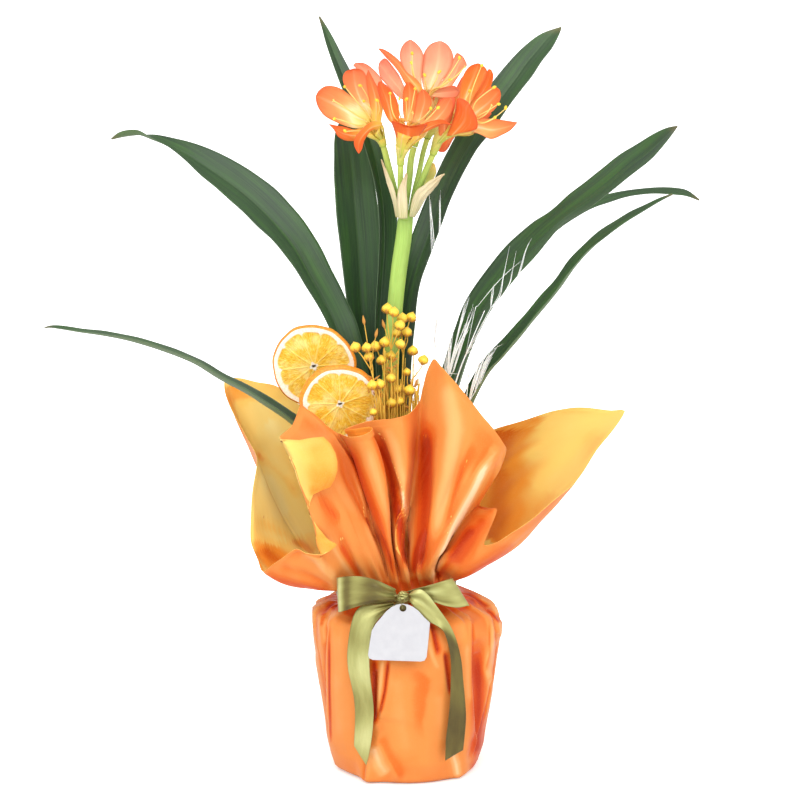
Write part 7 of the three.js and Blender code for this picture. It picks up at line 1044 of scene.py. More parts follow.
# ------------------------------------------------------------------ flowers
for fi, (name, f) in enumerate(FLOWERS.items()):
    n5 = 41
    T5 = cat(f["tube"], n5)
    R5 = cat(f["rad"], n5)[:, 0]
    tan = along(T5)
    bb = unit(np.cross(tan, np.where(np.abs(tan[:, 1:2]) > 0.9, [[1.0, 0, 0]], [[0, 1.0, 0]])))
    cc = np.cross(tan, bb)
    mouth, b1, c1 = T5[-1], bb[-1], cc[-1]
    teps = []
    for key, rows in f["tepals"].items():
        rows = np.array(rows, float)
        m = (rows[2, :3] + rows[2, 3:6]) / 2 - mouth
        teps.append([math.atan2(m @ c1, m @ b1), rows, key])
    teps.sort(key=lambda q: q[0])
    sx = sum(math.cos(q[0] - k * math.pi / 3) for k, q in enumerate(teps))
    sy = sum(math.sin(q[0] - k * math.pi / 3) for k, q in enumerate(teps))
    off = math.atan2(sy, sx)
    gp = Geo()
    for k, (phi, rows, key) in enumerate(teps):
        a0 = off + k * math.pi / 3
        outer = k % 2 == 0
        pre = []
        for fr, arc, rk in ((0.30, 31, 0.9), (0.66, 29, 0.97), (1.0, 24, 1.0)):
            j = int(fr * (n5 - 1))
            r = max(0.8, R5[j]) * rk * (1.0 if outer else 0.86)
            d = math.radians(arc)
            pa = T5[j] + r * (bb[j] * math.cos(a0 - d) + cc[j] * math.sin(a0 - d))
            pb = T5[j] + r * (bb[j] * math.cos(a0 + d) + cc[j] * math.sin(a0 + d))
            pre.append(np.concatenate([pa, pb, [r * (1 - math.cos(d))]]))
        A0, B0 = pre[-1][:3], pre[-1][3:6]
        if (B0 - A0) @ (rows[1, 3:6] - rows[1, :3]) < 0:
            rows = np.concatenate([rows[:, 3:6], rows[:, :3], rows[:, 6:]], 1)
        w1, w2, w3 = wave(fi * 31 + k * 3), wave(fi * 31 + k * 3 + 1), wave(fi * 31 + k * 3 + 2)

        def disp(u, v, L, w1=w1, w2=w2, w3=w3):
            e = np.abs(2 * u - 1)
            return (0.5 * e ** 2.5 * np.where(u < 0.5, w1(L / 5.5), w2(L / 5)) * smooth(v, 0.35, 0.6)
                    - 0.28 * np.exp(-(np.abs(u - 0.5) / 0.06) ** 2) * smooth(v, 0.95, 0.6) + 0.25 * w3(L / 8) * (1 - e) * smooth(v, 0.3, 0.5))
        q = list(strap(np.concatenate([np.array(pre), rows]), 34, 13, 0.55, -1, 0.5, 1.5, disp, 0.7, fi * 5.1 + k * 1.3))
        q[3] = np.array(q[3], float)
        q[3][:, 2] = PALE[name][key]
        gp.add(*q)
    # the short green-yellow tube below the tepals, closed at the ovary
    nt = 16
    jj = np.linspace(0, int(0.55 * (n5 - 1)), nt).astype(int)
    gp.add(*tube(T5[jj], np.maximum(0.6, R5[jj] * 1.02), nt, 24, 1, lambda t, v: 0.03 * np.cos(6 * t) + 0 * v, fi * 1.7, 0.0, 0.3)[:2], 1,
           *tube(T5[jj], np.maximum(0.6, R5[jj] * 1.02), nt, 24, 1, None, fi * 1.7, 0.0, 0.3)[3:])
    ob = gp.build("flower_%s_tepals" % name, [S["petal_in"], S["petal_out"]])
    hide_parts("flower_" + name)
    gs = Geo()
    hub = T5[int(0.5 * (n5 - 1))]
    rng = np.random.default_rng(300 + fi)
    for k, st in enumerate(f["stamens"]):
        st = np.array(st, float)
        p = np.concatenate([[hub, hub + 0.6 * (st[0] - hub)], st])
        e, d = p[-1], unit(p[-1] - p[-2])
        gs.add(*tube(p, [0.62, 0.55, 0.5, 0.42, 0.3], 22, 8, 1, None, k * 1.1))
        q = unit(rng.normal(size=3))
        q = unit(q - d * (q @ d))
        ax = unit(d * 0.75 + q * 0.65)
        L = rng.uniform(3.4, 4.2)
        prof = [(0, -0.45 * L)] + [(1.12 * math.sin(math.pi * t) ** 0.6, (t - 0.45) * L) for t in np.linspace(0.06, 0.94, 8)] + [(0, 0.55 * L)]
        V, F, _, A, _ = revolve(prof, 10, e + ax * 0.4, ax, lambda t, h: 0.16 * math.cos(2 * t) - 0.05)
        gs.add(V, F, 1, A)
    st = np.array([hub] + [list(q) for q in f["style"]], float)
    gs.add(*tube(st, [0.7, 0.6, 0.55, 0.5, 0.45], 24, 8, 1, None, 9.1))
    for k in range(3):
        e, d = st[-1], unit(st[-1] - st[-2])
        q = unit(np.cross(d, [math.cos(2.1 * k), math.sin(2.1 * k), 0.3]))
        gs.add(*tube([e - d * 0.3, e + d * 0.6 + q * 0.5, e + d * 1.0 + q * 1.3], [0.4, 0.35, 0.2], 6, 6))
    ob = gs.build("flower_%s_stamens" % name, [S["filament"], S["anther"]])
    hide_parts("flower_" + name)

# ------------------------------------------------------------------ flax sprigs
def stem_join(stem, p, drop=16.0):
    k = len(stem) - 1
    while k > int(0.4 * len(stem)) and (stem[k][2] > p[2] - 14 or np.linalg.norm(stem[k] - p) < drop):
        k -= 1
    return stem[k], k


for i, (name, f) in enumerate(FLAX.items()):
    rng = np.random.default_rng(70 + i)
    root = np.array(f["root"], float)
    path = np.array([root, root + [0, 0, 14]] + [list(q) for q in f["fork"]], float)
    g = Geo()
    stem = cat(path, 80)
    g.add(*tube(path, [1.0, 0.95, 0.85] + [0.7] * (len(path) - 3) + [0.4], 40, 9, 1, lambda t, v: 0.06 * np.cos(3 * t + 9 * v) + 0 * v, i * 2.0))
    ends = []
    for p, r in f["pods"]:
        p = np.array(p, float)
        s, k = stem_join(stem, p)
        out = unit(p - stem[-1]) if np.linalg.norm(p - stem[-1]) > 1 else np.array([0, 0, 1.0])
        m = s + 0.5 * (p - s) + out * 1.6 + rng.normal(size=3) * 0.8
        m2 = s + 0.8 * (p - s) + out * 0.8 + rng.normal(size=3) * 0.4
        ax = unit(p - m2 + np.array([0, 0, 1.5]))
        r = r * 1.14
        g.add(*tube([s, m, m2, p - ax * r * 0.9], [0.5, 0.42, 0.36, 0.5], 18, 7, 1, None, rng.uniform(0, 9)))
        # the capsule: five faint lobes and a short point, in a cup of five small sepals
        tt = np.linspace(0.04, 0.9, 10)
        prof = [(0, -r)] + [(r * 1.02 * math.sin(math.pi * t) ** 0.75, -r + 2 * r * t) for t in tt] + [(r * 0.13, r * 1.0), (0, r * 1.16)]
        V, F, _, A, _ = revolve(prof, 20, p, ax, lambda t, h: 0.045 * math.cos(5 * t) + 0.02 * math.cos(3 * t + 1), rng.uniform(0, 5))
        g.add(V, F, 1, A)
        b = unit(np.cross(ax, [0.3, 1, 0.2]))
        c = np.cross(ax, b)
        for q in range(5):
            t = q * 1.2566 + 0.4
            d = b * math.cos(t) + c * math.sin(t)
            w = np.cross(ax, d)
            base = p - ax * r * 0.98
            P1 = base + d * r * 0.35
            P2 = base + d * r * 0.98 + ax * r * 0.42
            P3 = base + d * r * 1.14 + ax * r * 0.95
            g.add(*strap([np.r_[P1 - w * 0.3, P1 + w * 0.3, 0], np.r_[P2 - w * r * 0.26, P2 + w * r * 0.26, 0.1], np.r_[P3 - w * 0.06, P3 + w * 0.06, 0]], 6, 3, 0.25, 1, 0.8)[:2], 2)
        ends.append(p)
    for p in f["tips"]:
        p = np.array(p, float)
        s, k = stem_join(stem, p, 12)
        m = s + 0.55 * (p - s) + rng.normal(size=3) * 0.6
        g.add(*tube([s, m, p], [0.42, 0.36, 0.3], 12, 6, 1, None, rng.uniform(0, 9)))
        d = unit(p - m)
        g.add(*tube([p - d * 5.5, p - d * 3, p - d * 0.6, p + d * 2.2], [0.35, 1.25, 1.0, 0.12], 12, 8, 1, lambda t, v: 0.12 * np.cos(3 * t) + 0 * v, rng.uniform(0, 9))[:2], 2)
    # bare side straws and dry leaflets along the stem
    for q in range(15):
        k = int(rng.uniform(0.3, 0.55) * 80)
        s = stem[k]
        e = stem[min(79, k + int(rng.uniform(20, 34)))] + rng.normal(size=3) * [4.2, 2.4, 5.5]
        th_ = rng.uniform(0.3, 0.75)
        if project(e[None])[0, 0] < 370:
            continue
        g.add(*tube([s, s + 0.4 * (e - s) + rng.normal(size=3) * [2.2, 1.0, 0.5], e], [th_, th_, th_ * 0.5], 14, 6, 1, None, rng.uniform(0, 9)))
    for q in range(22):                            # long golden straws that fill the bunch
        k = int(rng.uniform(0.2, 0.4) * 80)
        s = stem[k]
        hgt = rng.uniform(0.55, 1.0)
        e = stem[min(79, int(79 * hgt))] + rng.normal(size=3) * [6.5, 3.0, 3.0]
        th_ = rng.uniform(0.45, 0.85)
        if project(e[None])[0, 0] < 371:
            continue
        g.add(*tube([s, s + 0.5 * (e - s) + rng.normal(size=3) * [2.6, 1.5, 0.5], e], [th_, th_, th_ * 0.45], 18, 6, 1, None, rng.uniform(0, 9)))
    for q in range(16):                            # the straws nearest the front, bright and close to upright
        k = int(rng.uniform(0.3, 0.5) * 80)
        s = stem[k]
        e = stem[min(79, int(79 * rng.uniform(0.62, 1.0)))] + [rng.normal() * 5.0, -rng.uniform(1.0, 6.0), rng.normal() * 4]
        th_ = rng.uniform(0.5, 0.8)
        if project(e[None])[0, 0] < 372:           # the slices stand in front on this side
            continue
        g.add(*tube([s, s + 0.5 * (e - s) + [rng.normal() * 2.0, -rng.uniform(1.0, 4.0), 0], e], [th_, th_, th_ * 0.5], 18, 6, 1, None, rng.uniform(0, 9)))
    for q in range(16):
        k = int(rng.uniform(0.42, 0.95) * 79)
        s = stem[k]
        d = unit(np.array([rng.normal(), rng.normal() * 0.7, rng.uniform(0.6, 1.8)]))
        w = unit(np.cross(d, rng.normal(size=3))) * rng.uniform(0.6, 1.2)
        g.add(*strap([np.r_[s - w * 0.5, s + w * 0.5, 0], np.r_[s + d * 3 - w, s + d * 3 + w, 0.3], np.r_[s + d * 6.5 - w * 0.1, s + d * 6.5 + w * 0.1, 0]], 8, 4, 0.25, 1, 0.8)[:2], 2)
    ob = g.build(name + "_dried", [S["straw"], S["pod"], S["scale"]])
    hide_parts(name)

# ------------------------------------------------------------------ bleached grass: stems that break up into hair-thin wisps
for i, (name, gr) in enumerate(GRASS.items()):
    rng = np.random.default_rng(90 + i)
    root = np.array(gr["root"], float)
    path = np.array([root, root + [0, 0, 14]] + [list(q) for q in gr["pts"]], float)
    C = cat(path, 60)
    T = along(C)
    g = Geo()
    g.add(*tube(C[:44], [0.9, 0.8, 0.6, 0.25], 40, 7, 1, None, i))
    for line, n, spread in WISPS[name]:
        P = np.array([place(q[0], q[1], np.interp(q[1], [200, 400], [gr["pts"][-1][1], gr["pts"][2][1]])) for q in line])
        base = C[34] if P[0, 2] > C[34, 2] else C[int(np.argmin(np.linalg.norm(C - P[0], axis=1)))]
        for q in range(n):
            off = rng.normal(size=3) * [spread, spread * 1.3, 0]
            k = np.linspace(0, 1, len(P))[:, None]
            W = P + off * (0.25 + 0.9 * k) + rng.normal(size=(len(P), 3)) * [0.35, 0.5, 0.3]
            cut = 1 - rng.uniform(0, 0.35) * (q > 0)
            W = cat(W, 24)[: max(8, int(24 * cut))]
            W = np.concatenate([[base + rng.normal(size=3) * 0.3], W]) if q < 2 else W
            r0 = rng.uniform(0.13, 0.26)
            g.add(*tube(W, [0.12, r0, r0 * 1.15, r0 * 0.8, 0.05], 30, 5, 1, None, rng.uniform(0, 9)))
            for e in range(1 if n > 3 else 0):     # short barbs along the awn
                m = int(rng.uniform(6, len(W) - 2))
                tt = unit(W[m] - W[m - 1] + rng.normal(size=3) * 0.12)
                g.add(*tube([W[m], W[m] + tt * rng.uniform(2, 4), W[m] + tt * rng.uniform(5, 9) + rng.normal(size=3) * 0.3], [0.12, 0.1, 0.04], 8, 4, 1, None, 1.0))
    ob = g.build(name + "_straws", [S["grass"]])
    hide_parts(name)

# ------------------------------------------------------------------ dried orange slices
def slice_mats():
    P = Mat("orange_pith", 0.7, 0.25, Subsurface_Weight=0.1, Subsurface_Scale=0.003)
    n = P.noise(P.scale(P.pos(), (700, 700, 700)), 1.0, 3.0, 0.6)
    _, k, a, mem = P.attr("uvc")          # k radius share, a angle share, mem membrane nearness
    _, fl, co, ho = P.attr("mmc")         # flesh, core, hole masks
    pith = P.ramp(n, [(0.3, rgb(240, 218, 190)), (0.6, rgb(251, 238, 222))])
    ang = P.math("MULTIPLY", a, 150.0)
    vesic = P.noise(P.vec(ang, P.math("MULTIPLY", k, 9.0), 0.0), 1.0, 3.0, 0.6, 0.5)
    blot = P.noise(P.scale(P.pos(), (95, 95, 95)), 1.0, 3.0, 0.55)
    flesh = P.ramp(vesic, [(0.28, rgb(206, 140, 22)), (0.45, rgb(230, 176, 40)), (0.6, rgb(240, 202, 78)), (0.76, rgb(250, 230, 150))])
    flesh = P.mix(P.math("MULTIPLY", P.span(blot, 0.42, 0.7), 0.6), flesh, rgb(246, 226, 150))
    flesh = P.mix(P.math("MULTIPLY", P.span(blot, 0.45, 0.25), 0.55), flesh, rgb(222, 150, 20))
    flesh = P.mix(P.math("MULTIPLY", mem, 0.62), flesh, rgb(247, 226, 130))
    c = P.mix(fl, pith, flesh)
    c = P.mix(co, c, rgb(250, 240, 222))
    c = P.mix(ho, c, rgb(70, 46, 22))
    P.color(c)
    P.rough(P.math("SUBTRACT", 0.75, P.math("MULTIPLY", fl, 0.4)))
    P.bump(P.math("ADD", P.math("MULTIPLY", vesic, fl), P.math("MULTIPLY", n, 0.25)), 0.7, 0.0012)
    Q = Mat("orange_rind", 0.42, 0.45, Coat_Weight=0.1, Coat_Roughness=0.35)
    n = Q.noise(Q.scale(Q.pos(), (520, 520, 520)), 1.0, 2.0, 0.5)
    m = Q.noise(Q.scale(Q.pos(), (60, 60, 60)), 1.0, 2.0, 0.5)
    c = Q.ramp(n, [(0.3, rgb(222, 122, 16)), (0.55, rgb(236, 146, 26)), (0.75, rgb(244, 166, 48))])
    c = Q.mix(Q.math("MULTIPLY", Q.span(m, 0.4, 0.7), 0.4), c, rgb(206, 108, 24))
    Q.color(c)
    Q.bump(n, 0.5, 0.0006)
    return P.m, Q.m


PITH, RIND = slice_mats()
for si, (name, s) in enumerate(SLICES.items()):
    yw, pt = math.radians(s["yaw"]), math.radians(s["pitch"])
    nn = np.array([math.sin(yw) * math.cos(pt), -math.cos(yw) * math.cos(pt), math.sin(pt)])
    ex = unit(np.cross([0, 0, 1.0], nn))
    ez = np.cross(nn, ex)
    rng = np.random.default_rng(500 + si)
    nseg = 10 if si == 0 else 9
    mem_a = (np.arange(nseg) + rng.uniform(-0.16, 0.16, nseg) + (0.35 if si else 0.1)) / nseg * 2 * np.pi
    na, nk = 200, 40
    a = np.arange(na) / na * 2 * np.pi
    k = np.concatenate([np.linspace(0.0, 0.12, 7)[1:], np.linspace(0.12, 0.8, 22)[1:], np.linspace(0.8, 0.93, 10)[1:], [0.95, 0.965]])
    wob = wave(510 + si)
    K, A_ = np.meshgrid(k, a, indexing="ij")
    d = np.min(np.abs((A_[..., None] - mem_a + np.pi) % (2 * np.pi) - np.pi), -1)
    rmm = s["r"] * K
    mem = np.exp(-(d * rmm / 0.5) ** 2)
    kb = 0.862 + 0.014 * np.sin(3 * A_ + si) + 0.012 * wob(A_ * 6) - 0.06 * np.exp(-(d * rmm / 1.4) ** 2)
    fl = 1 - smooth(K, kb - 0.012, kb + 0.012)
    core = 1 - smooth(K, 0.075 + 0.02 * np.sin(4 * A_), 0.1 + 0.02 * np.sin(4 * A_))
    hk = 0.03 + 0.012 * np.sin(2 * A_ + 1) + 0.007 * np.sin(3 * A_)
    hole = 1 - smooth(K, hk, hk + 0.018)
    noisef = value_noise(520 + si)
    pulp = noisef(A_ / (2 * np.pi) * 46, K * 7) * 0.5 + noisef(A_ / (2 * np.pi) * 97 + 9, K * 15) * 0.35
    h0 = np.interp(K, [0, 0.35, 0.8, 0.9, 0.965, 1.0], [1.5, 1.25, 1.3, 2.0, 2.3, 1.9])
    relief = -0.55 * fl * (1 - mem) * smooth(K, 0.06, 0.16) + 0.38 * fl * pulp * (1 - 0.6 * mem) - 1.0 * hole
    rad = 1 + 0.012 * np.sin(3 * A_ + 1) + 0.008 * np.sin(7 * A_) + 0.004 * np.sin(13 * A_ + si)
    warp = 1.2 * K * K * np.sin(2 * A_ + 0.6)
    face = 0.95 if si else 0.985       # the cut face is a little smaller than the rind behind it
    g = Geo()
    C = np.array(s["c"], float)

    def pt3(r, h):
        return C + ex * (r * np.cos(A_[0]))[..., None] + ez * (r * np.sin(A_[0]))[..., None] + nn * h[..., None]
    V, AT, BT = [C + nn * (1.5 + 0 - 1.0)], [(0, 0, 0)], [(1, 1, 1)]
    for i in range(len(k)):                                       # front face out to the rim
        V += list(pt3(s["r"] * face * K[i] * rad[i], h0[i] + relief[i] + warp[i]))
        AT += list(np.stack([K[i], A_[i] / (2 * np.pi), mem[i] * fl[i]], -1))
        BT += list(np.stack([fl[i], core[i], hole[i]], -1))
    ring_front = len(k)
    rim = [(face * 0.985, 2.25), (face * 1.0, 1.9), ((1 + face) / 2 + 0.004, 0.9), (1.0, -0.6), (0.998, -1.6), (0.985, -2.1), (0.965, -2.3)]
    for kr, h in rim:
        V += list(pt3(s["r"] * kr * rad[-1], h + warp[-1]))
        AT += list(np.stack([np.full(na, kr), A_[0] / (2 * np.pi), np.zeros(na)], -1))
        BT += [(0, 0, 0)] * na
    for i in range(len(k) - 1, -1, -1):                           # back face to the middle
        V += list(pt3(s["r"] * K[i] * rad[i], -(h0[i] + relief[i]) + warp[i]))
        AT += list(np.stack([K[i], A_[i] / (2 * np.pi), mem[i] * fl[i]], -1))
        BT += list(np.stack([fl[i], core[i], hole[i]], -1))
    V.append(C - nn * 0.5)
    AT.append((0, 0, 0))
    BT.append((1, 1, 1))
    rings = 2 * len(k) + len(rim)
    F, M = [], []
    for j in range(na):
        F.append((0, 1 + j, 1 + (j + 1) % na))
        M.append(0)
    for i in range(rings - 1):
        o = 1 + i * na
        m = 1 if ring_front - 1 <= i < ring_front + len(rim) - 0 else 0
        for j in range(na):
            F.append((o + j, o + na + j, o + na + (j + 1) % na, o + (j + 1) % na))
            M.append(m)
    o = 1 + (rings - 1) * na
    for j in range(na):
        F.append((len(V) - 1, o + (j + 1) % na, o + j))
        M.append(0)
    g.add(np.array(V), F, M, np.array(AT), np.array(BT))
    if si:                                                        # two pips left in the front slice
        for aa, kk in ((0.45, 0.80), (-0.32, 0.83)):
            c0 = C + ex * s["r"] * face * kk * math.cos(aa) + ez * s["r"] * face * kk * math.sin(aa) + nn * 1.5
            ax = unit(-ex * math.cos(aa) * 0.3 + ez * 1.0)
            prof = [(0, -1.9)] + [(0.85 * math.sin(math.pi * t) ** 0.7, -1.9 + 3.8 * t) for t in np.linspace(0.06, 0.94, 8)] + [(0, 1.9)]
            VV, FF, _, AA, _ = revolve(prof, 10, c0, ax)
            g.add(VV, FF, 2, AA)
    ob = g.build(name + "_dried", [PITH, RIND, S["scale"]])
    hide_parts(name)
for i, (name, p) in enumerate(PICKS.items()):
    p = np.array(p[::-1], float)
    g = Geo().add(*tube(p, [1.2] * len(p), 40, 12, 1, lambda t, v: 0.03 * np.cos(5 * t + 3 * v) + 0 * v, i))
    ob = g.build(name + "_stick", [S["pick"]])
    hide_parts(name)

# ------------------------------------------------------------------ paper wrap
def neck_z(x):
    return NECK["z"] + (x - NECK["x"]) * NECK["slope"]


def bag_R(th, z):
    side = 0.5 - 0.5 * np.cos(th)
    zz = [0.0] + [b[0] for b in BAG]
    rl = [BAG_R0] + [b[1] for b in BAG]
    rr = [BAG_R0] + [b[2] for b in BAG]
    return np.interp(z, zz, rl) * side + np.interp(z, zz, rr) * (1 - side)


def seg_dist(X, Y, poly):
    """signed distance (left of travel < 0) and share along, of points to a polyline in px"""
    poly = np.array(poly, float)
    best = np.full(X.shape, 1e9)
    sg = np.zeros(X.shape)
    tt = np.zeros(X.shape)
    L = np.concatenate([[0], np.cumsum(np.linalg.norm(np.diff(poly, axis=0), axis=1))])
    for i in range(len(poly) - 1):
        a, b = poly[i], poly[i + 1]
        d = b - a
        l2 = (d * d).sum()
        t = np.clip(((X - a[0]) * d[0] + (Y - a[1]) * d[1]) / l2, 0, 1)
        qx, qy = a[0] + t * d[0], a[1] + t * d[1]
        dist = np.hypot(X - qx, Y - qy)
        cr = d[0] * (Y - a[1]) - d[1] * (X - a[0])
        m = dist < best
        best = np.where(m, dist, best)
        sg = np.where(m, np.sign(cr), sg)
        tt = np.where(m, (L[i] + t * math.sqrt(l2)) / L[-1], tt)
    return best * sg, tt


def fold(X, Y, poly, amp, wl, wr, fade=(0.12, 0.12)):
    """a crease along px polyline travelling down: height amp, width wl on the frame's left of it and wr on its right"""
    d, t = seg_dist(X, Y, poly)
    w = np.where(d > 0, wl, wr)
    end = np.ones_like(t)
    if fade[0] > 0:
        end = end * smooth(t, 0, fade[0])
    if fade[1] > 0:
        end = end * smooth(t, 1, 1 - fade[1])
    return amp * np.exp(-(np.maximum(np.sqrt(d * d + 0.3) - 0.5477, 0) / w) ** 1.35) * end


def lap(X, Y, poly, amp, high, wh, wlo, fade=(0.08, 0.08)):
    """a panel that laps over its neighbour along px polyline travelling down; `high` is the frame side that stands proud"""
    d, t = seg_dist(X, Y, poly)
    d = d if high == "L" else -d
    s = 0.5 + 0.5 * np.tanh(d / 0.75)
    end = smooth(t, 0, fade[0]) * smooth(t, 1, 1 - fade[1])
    return end * (amp * np.exp(-np.maximum(d, 0) / wh) * s - 0.55 * amp * np.exp(-np.maximum(-d, 0) / wlo) * (1 - s))


# columns of the flared sheet: crossing points at equal shares of their length
NR, NC = 38, 8
th0 = np.array([c["th"] for c in COLS], float)
prof = []
for c in COLS:
    a = math.radians(c["th"])
    nx, ny = NECK["x"] + NECK["rx"] * math.cos(a), NECK["ry"] * math.sin(a)
    nz = neck_z(nx)
    base = [[nx, ny, nz + NECK["half"]]]
    pts = base + c["p"][:c["ridge"] + 1]
    m = cat(pts, 120)
    L = np.concatenate([[0], np.cumsum(np.linalg.norm(np.diff(m, axis=0), axis=1))])
    curl = c["p"][c["ridge"]:]
    if len(curl) > 1:
        s = np.linspace(0, 1, NR) * L[-1]
        up = np.stack([np.interp(s, L, m[:, i]) for i in range(3)], 1)
        q = cat(curl, 60)
        # round the turn over the ridge
        Lq = np.concatenate([[0], np.cumsum(np.linalg.norm(np.diff(q, axis=0), axis=1))])
        s = np.linspace(0, 1, NC + 1)[1:] * Lq[-1]
        cu = np.stack([np.interp(s, Lq, q[:, i]) for i in range(3)], 1)
    else:
        s = np.linspace(0, 0.96, NR) * L[-1]
        up = np.stack([np.interp(s, L, m[:, i]) for i in range(3)], 1)
        s = (0.96 + 0.04 * np.linspace(0, 1, NC + 1)[1:]) * L[-1]
        cu = np.stack([np.interp(s, L, m[:, i]) for i in range(3)], 1)
    prof.append(np.concatenate([up, cu]))
prof = np.array(prof)                       # (columns, NR+NC, 3)
# finer columns round the sheet
ths, src, frac = [], [], []
for i in range(len(th0)):
    t0, t1 = th0[i], th0[(i + 1) % len(th0)] + (360 if i == len(th0) - 1 else 0)
    k = int(max(1, round((t1 - t0) / (0.62 if 205 < t0 < 338 else 1.35))))
    for j in range(k):
        ths.append(t0 + (t1 - t0) * j / k)
        src.append(i)
        frac.append(j / k)
ths, src, frac = np.array(ths), np.array(src), np.array(frac)
nC = len(COLS)
gap = np.array([(th0[(i + 1) % nC] - th0[i]) % 360 for i in range(nC)])
p0, p1, p2, p3 = prof[(src - 1) % nC], prof[src], prof[(src + 1) % nC], prof[(src + 2) % nC]
g0, g1, g2 = gap[(src - 1) % nC], gap[src], gap[(src + 1) % nC]
t = frac[:, None, None]
g0, g1, g2 = g0[:, None, None], g1[:, None, None], g2[:, None, None]
m1 = ((p1 - p0) / g0 * g1 + (p2 - p1) / g1 * g0) / (g0 + g1) * g1 * 0.85
m2 = ((p2 - p1) / g1 * g2 + (p3 - p2) / g2 * g1) / (g1 + g2) * g1 * 0.85
fine = (2 * t ** 3 - 3 * t ** 2 + 1) * p1 + (t ** 3 - 2 * t ** 2 + t) * m1 + (-2 * t ** 3 + 3 * t ** 2) * p2 + (t ** 3 - t ** 2) * m2
ncol = len(ths)
grow = smooth(np.arange(NR + NC), 1, 9)[None] * np.ones((ncol, 1))
for tc, w_, dy in VALLEYS:
    fine[..., 1] += dy * np.exp(-((ths - tc) / w_) ** 2)[:, None] * grow
A = np.radians(ths)
# the bag below the neck, floor upwards
zb = np.concatenate([np.linspace(0.35, 6, 4), np.linspace(6, 131, 56)[1:], np.linspace(131, 143, 8)[1:-1]])
neck_x, neck_y = NECK["x"] + NECK["rx"] * np.cos(A), NECK["ry"] * np.sin(A)
rows_ = []
for rr in (0.25, 0.55, 0.8, 0.93):
    rows_.append(np.stack([BAG_R0 * rr * np.cos(A), BAG_R0 * rr * np.sin(A), np.full(ncol, 0.35)], 1))
for z in zb:
    zc = min(z, 131.0)
    R = bag_R(A, zc)
    if z < 6:
        R = BAG_R0 + (bag_R(A, 6.0) - BAG_R0) * math.sin(min(1.0, (z - 0.35) / 5.65) * math.pi / 2) ** 0.8
    P = np.stack([R * np.cos(A), R * np.sin(A), np.full(ncol, z)], 1)
    if z > 131:
        f = (z - 131) / 12.0
        e = f * f * (3 - 2 * f) if False else f ** 1.3
        q = np.stack([neck_x, neck_y, neck_z(neck_x) - NECK["half"]], 1)
        b0 = np.stack([bag_R(A, 131.0) * np.cos(A), bag_R(A, 131.0) * np.sin(A), np.full(ncol, 131.0)], 1)
        P = b0 + (q - b0) * e
        P[:, 2] = 131 + (q[:, 2] - 131) * f
    rows_.append(P)
nb = len(rows_)
nk = 6
for j in range(nk):
    f = j / (nk - 1)
    rows_.append(np.stack([neck_x, neck_y, neck_z(neck_x) - NECK["half"] + f * 2 * NECK["half"] * 0.96], 1))
bag = np.stack(rows_, 1)                    # (ncol, nb+nk, 3)
# folded corners of the paper under the pot stand a little beyond its base
for tc, w_, dr in ((238.0, 8.0, 7.0), (318.0, 9.0, 2.5), (196.0, 9.0, 2.0), (30.0, 10.0, 4.0), (95.0, 9.0, 5.0), (150.0, 9.0, 3.0)):
    k_ = dr * np.exp(-((np.degrees(A)[:, None] - tc + 180) % 360 - 180) ** 2 / w_ ** 2) * smooth(bag[..., 2], 30, 0) * smooth(np.hypot(bag[..., 0], bag[..., 1]), 45, 53)
    bag[..., 0] += k_ * np.cos(A)[:, None]
    bag[..., 1] += k_ * np.sin(A)[:, None]
G = np.concatenate([bag, fine[:, 1:]], 1)   # first collar station is the neck's top
nst = G.shape[1]
close = lambda X: np.concatenate([X, X[:1]], 0)


def wrap_normals(G):
    Gc = np.concatenate([G[-2:], G, G[:2]], 0)
    du = (np.roll(Gc, -1, 0) - np.roll(Gc, 1, 0))[2:-2]
    dv = np.gradient(G, axis=1)
    N = np.cross(du, dv)
    l = np.linalg.norm(N, axis=-1, keepdims=True)
    return N / np.where(l < 1e-9, 1, l)


N0 = wrap_normals(G)
PX = project(G)
X, Y = PX[..., 0], PX[..., 1]
J = np.arange(nst)
Z = G[..., 2]
TH = A[:, None] * np.ones(nst)
arc = TH * 75.0
inbag = (J[None] >= 4) & (J[None] < nb) & (Z < 144)
D = np.zeros((ncol, nst))
# gathers: pleats run down from the tied neck and die out down the pot
rngw = np.random.default_rng(11)
pl = np.zeros(ncol)
ang, cur = [], 0.0
while cur < 360:
    ang.append(cur)
    cur += rngw.uniform(7, 17)
for a0 in ang:
    dd = (ths - a0 + 180) % 360 - 180
    w1_, w2_ = rngw.uniform(1.0, 1.8), rngw.uniform(2.6, 5.0)
    if rngw.random() < 0.5:
        w1_, w2_ = w2_, w1_
    pl += rngw.uniform(0.5, 1.0) * np.exp(-(np.abs(dd) / np.where(dd < 0, w1_, w2_)) ** 1.3)
pl = pl / pl.max()
fade = np.interp(Z, [60, 100, 120, 134, 142, 150, 158, 175], [0.0, 0.12, 0.5, 1.0, 0.9, 0.35, 0.8, 1.0])
fade = np.where(J[None] >= nb + nk, np.interp(J[None] - nb - nk, [0, 3, 9, 16], [0.5, 0.9, 0.35, 0.0]), fade)
fz_ = smooth(np.degrees(TH) % 360, 196, 214) * smooth(np.degrees(TH) % 360, 344, 326) * inbag
D += np.where(J[None] >= 4, (pl[:, None] * 3.4 - 1.3) * fade * (1 - 0.62 * fz_ * smooth(Z, 141, 132)), 0)
band = (J[None] >= nb - 1) & (J[None] < nb + nk)
D = np.where(band, np.minimum(D * 0.6, 0.0) - 0.25, D)
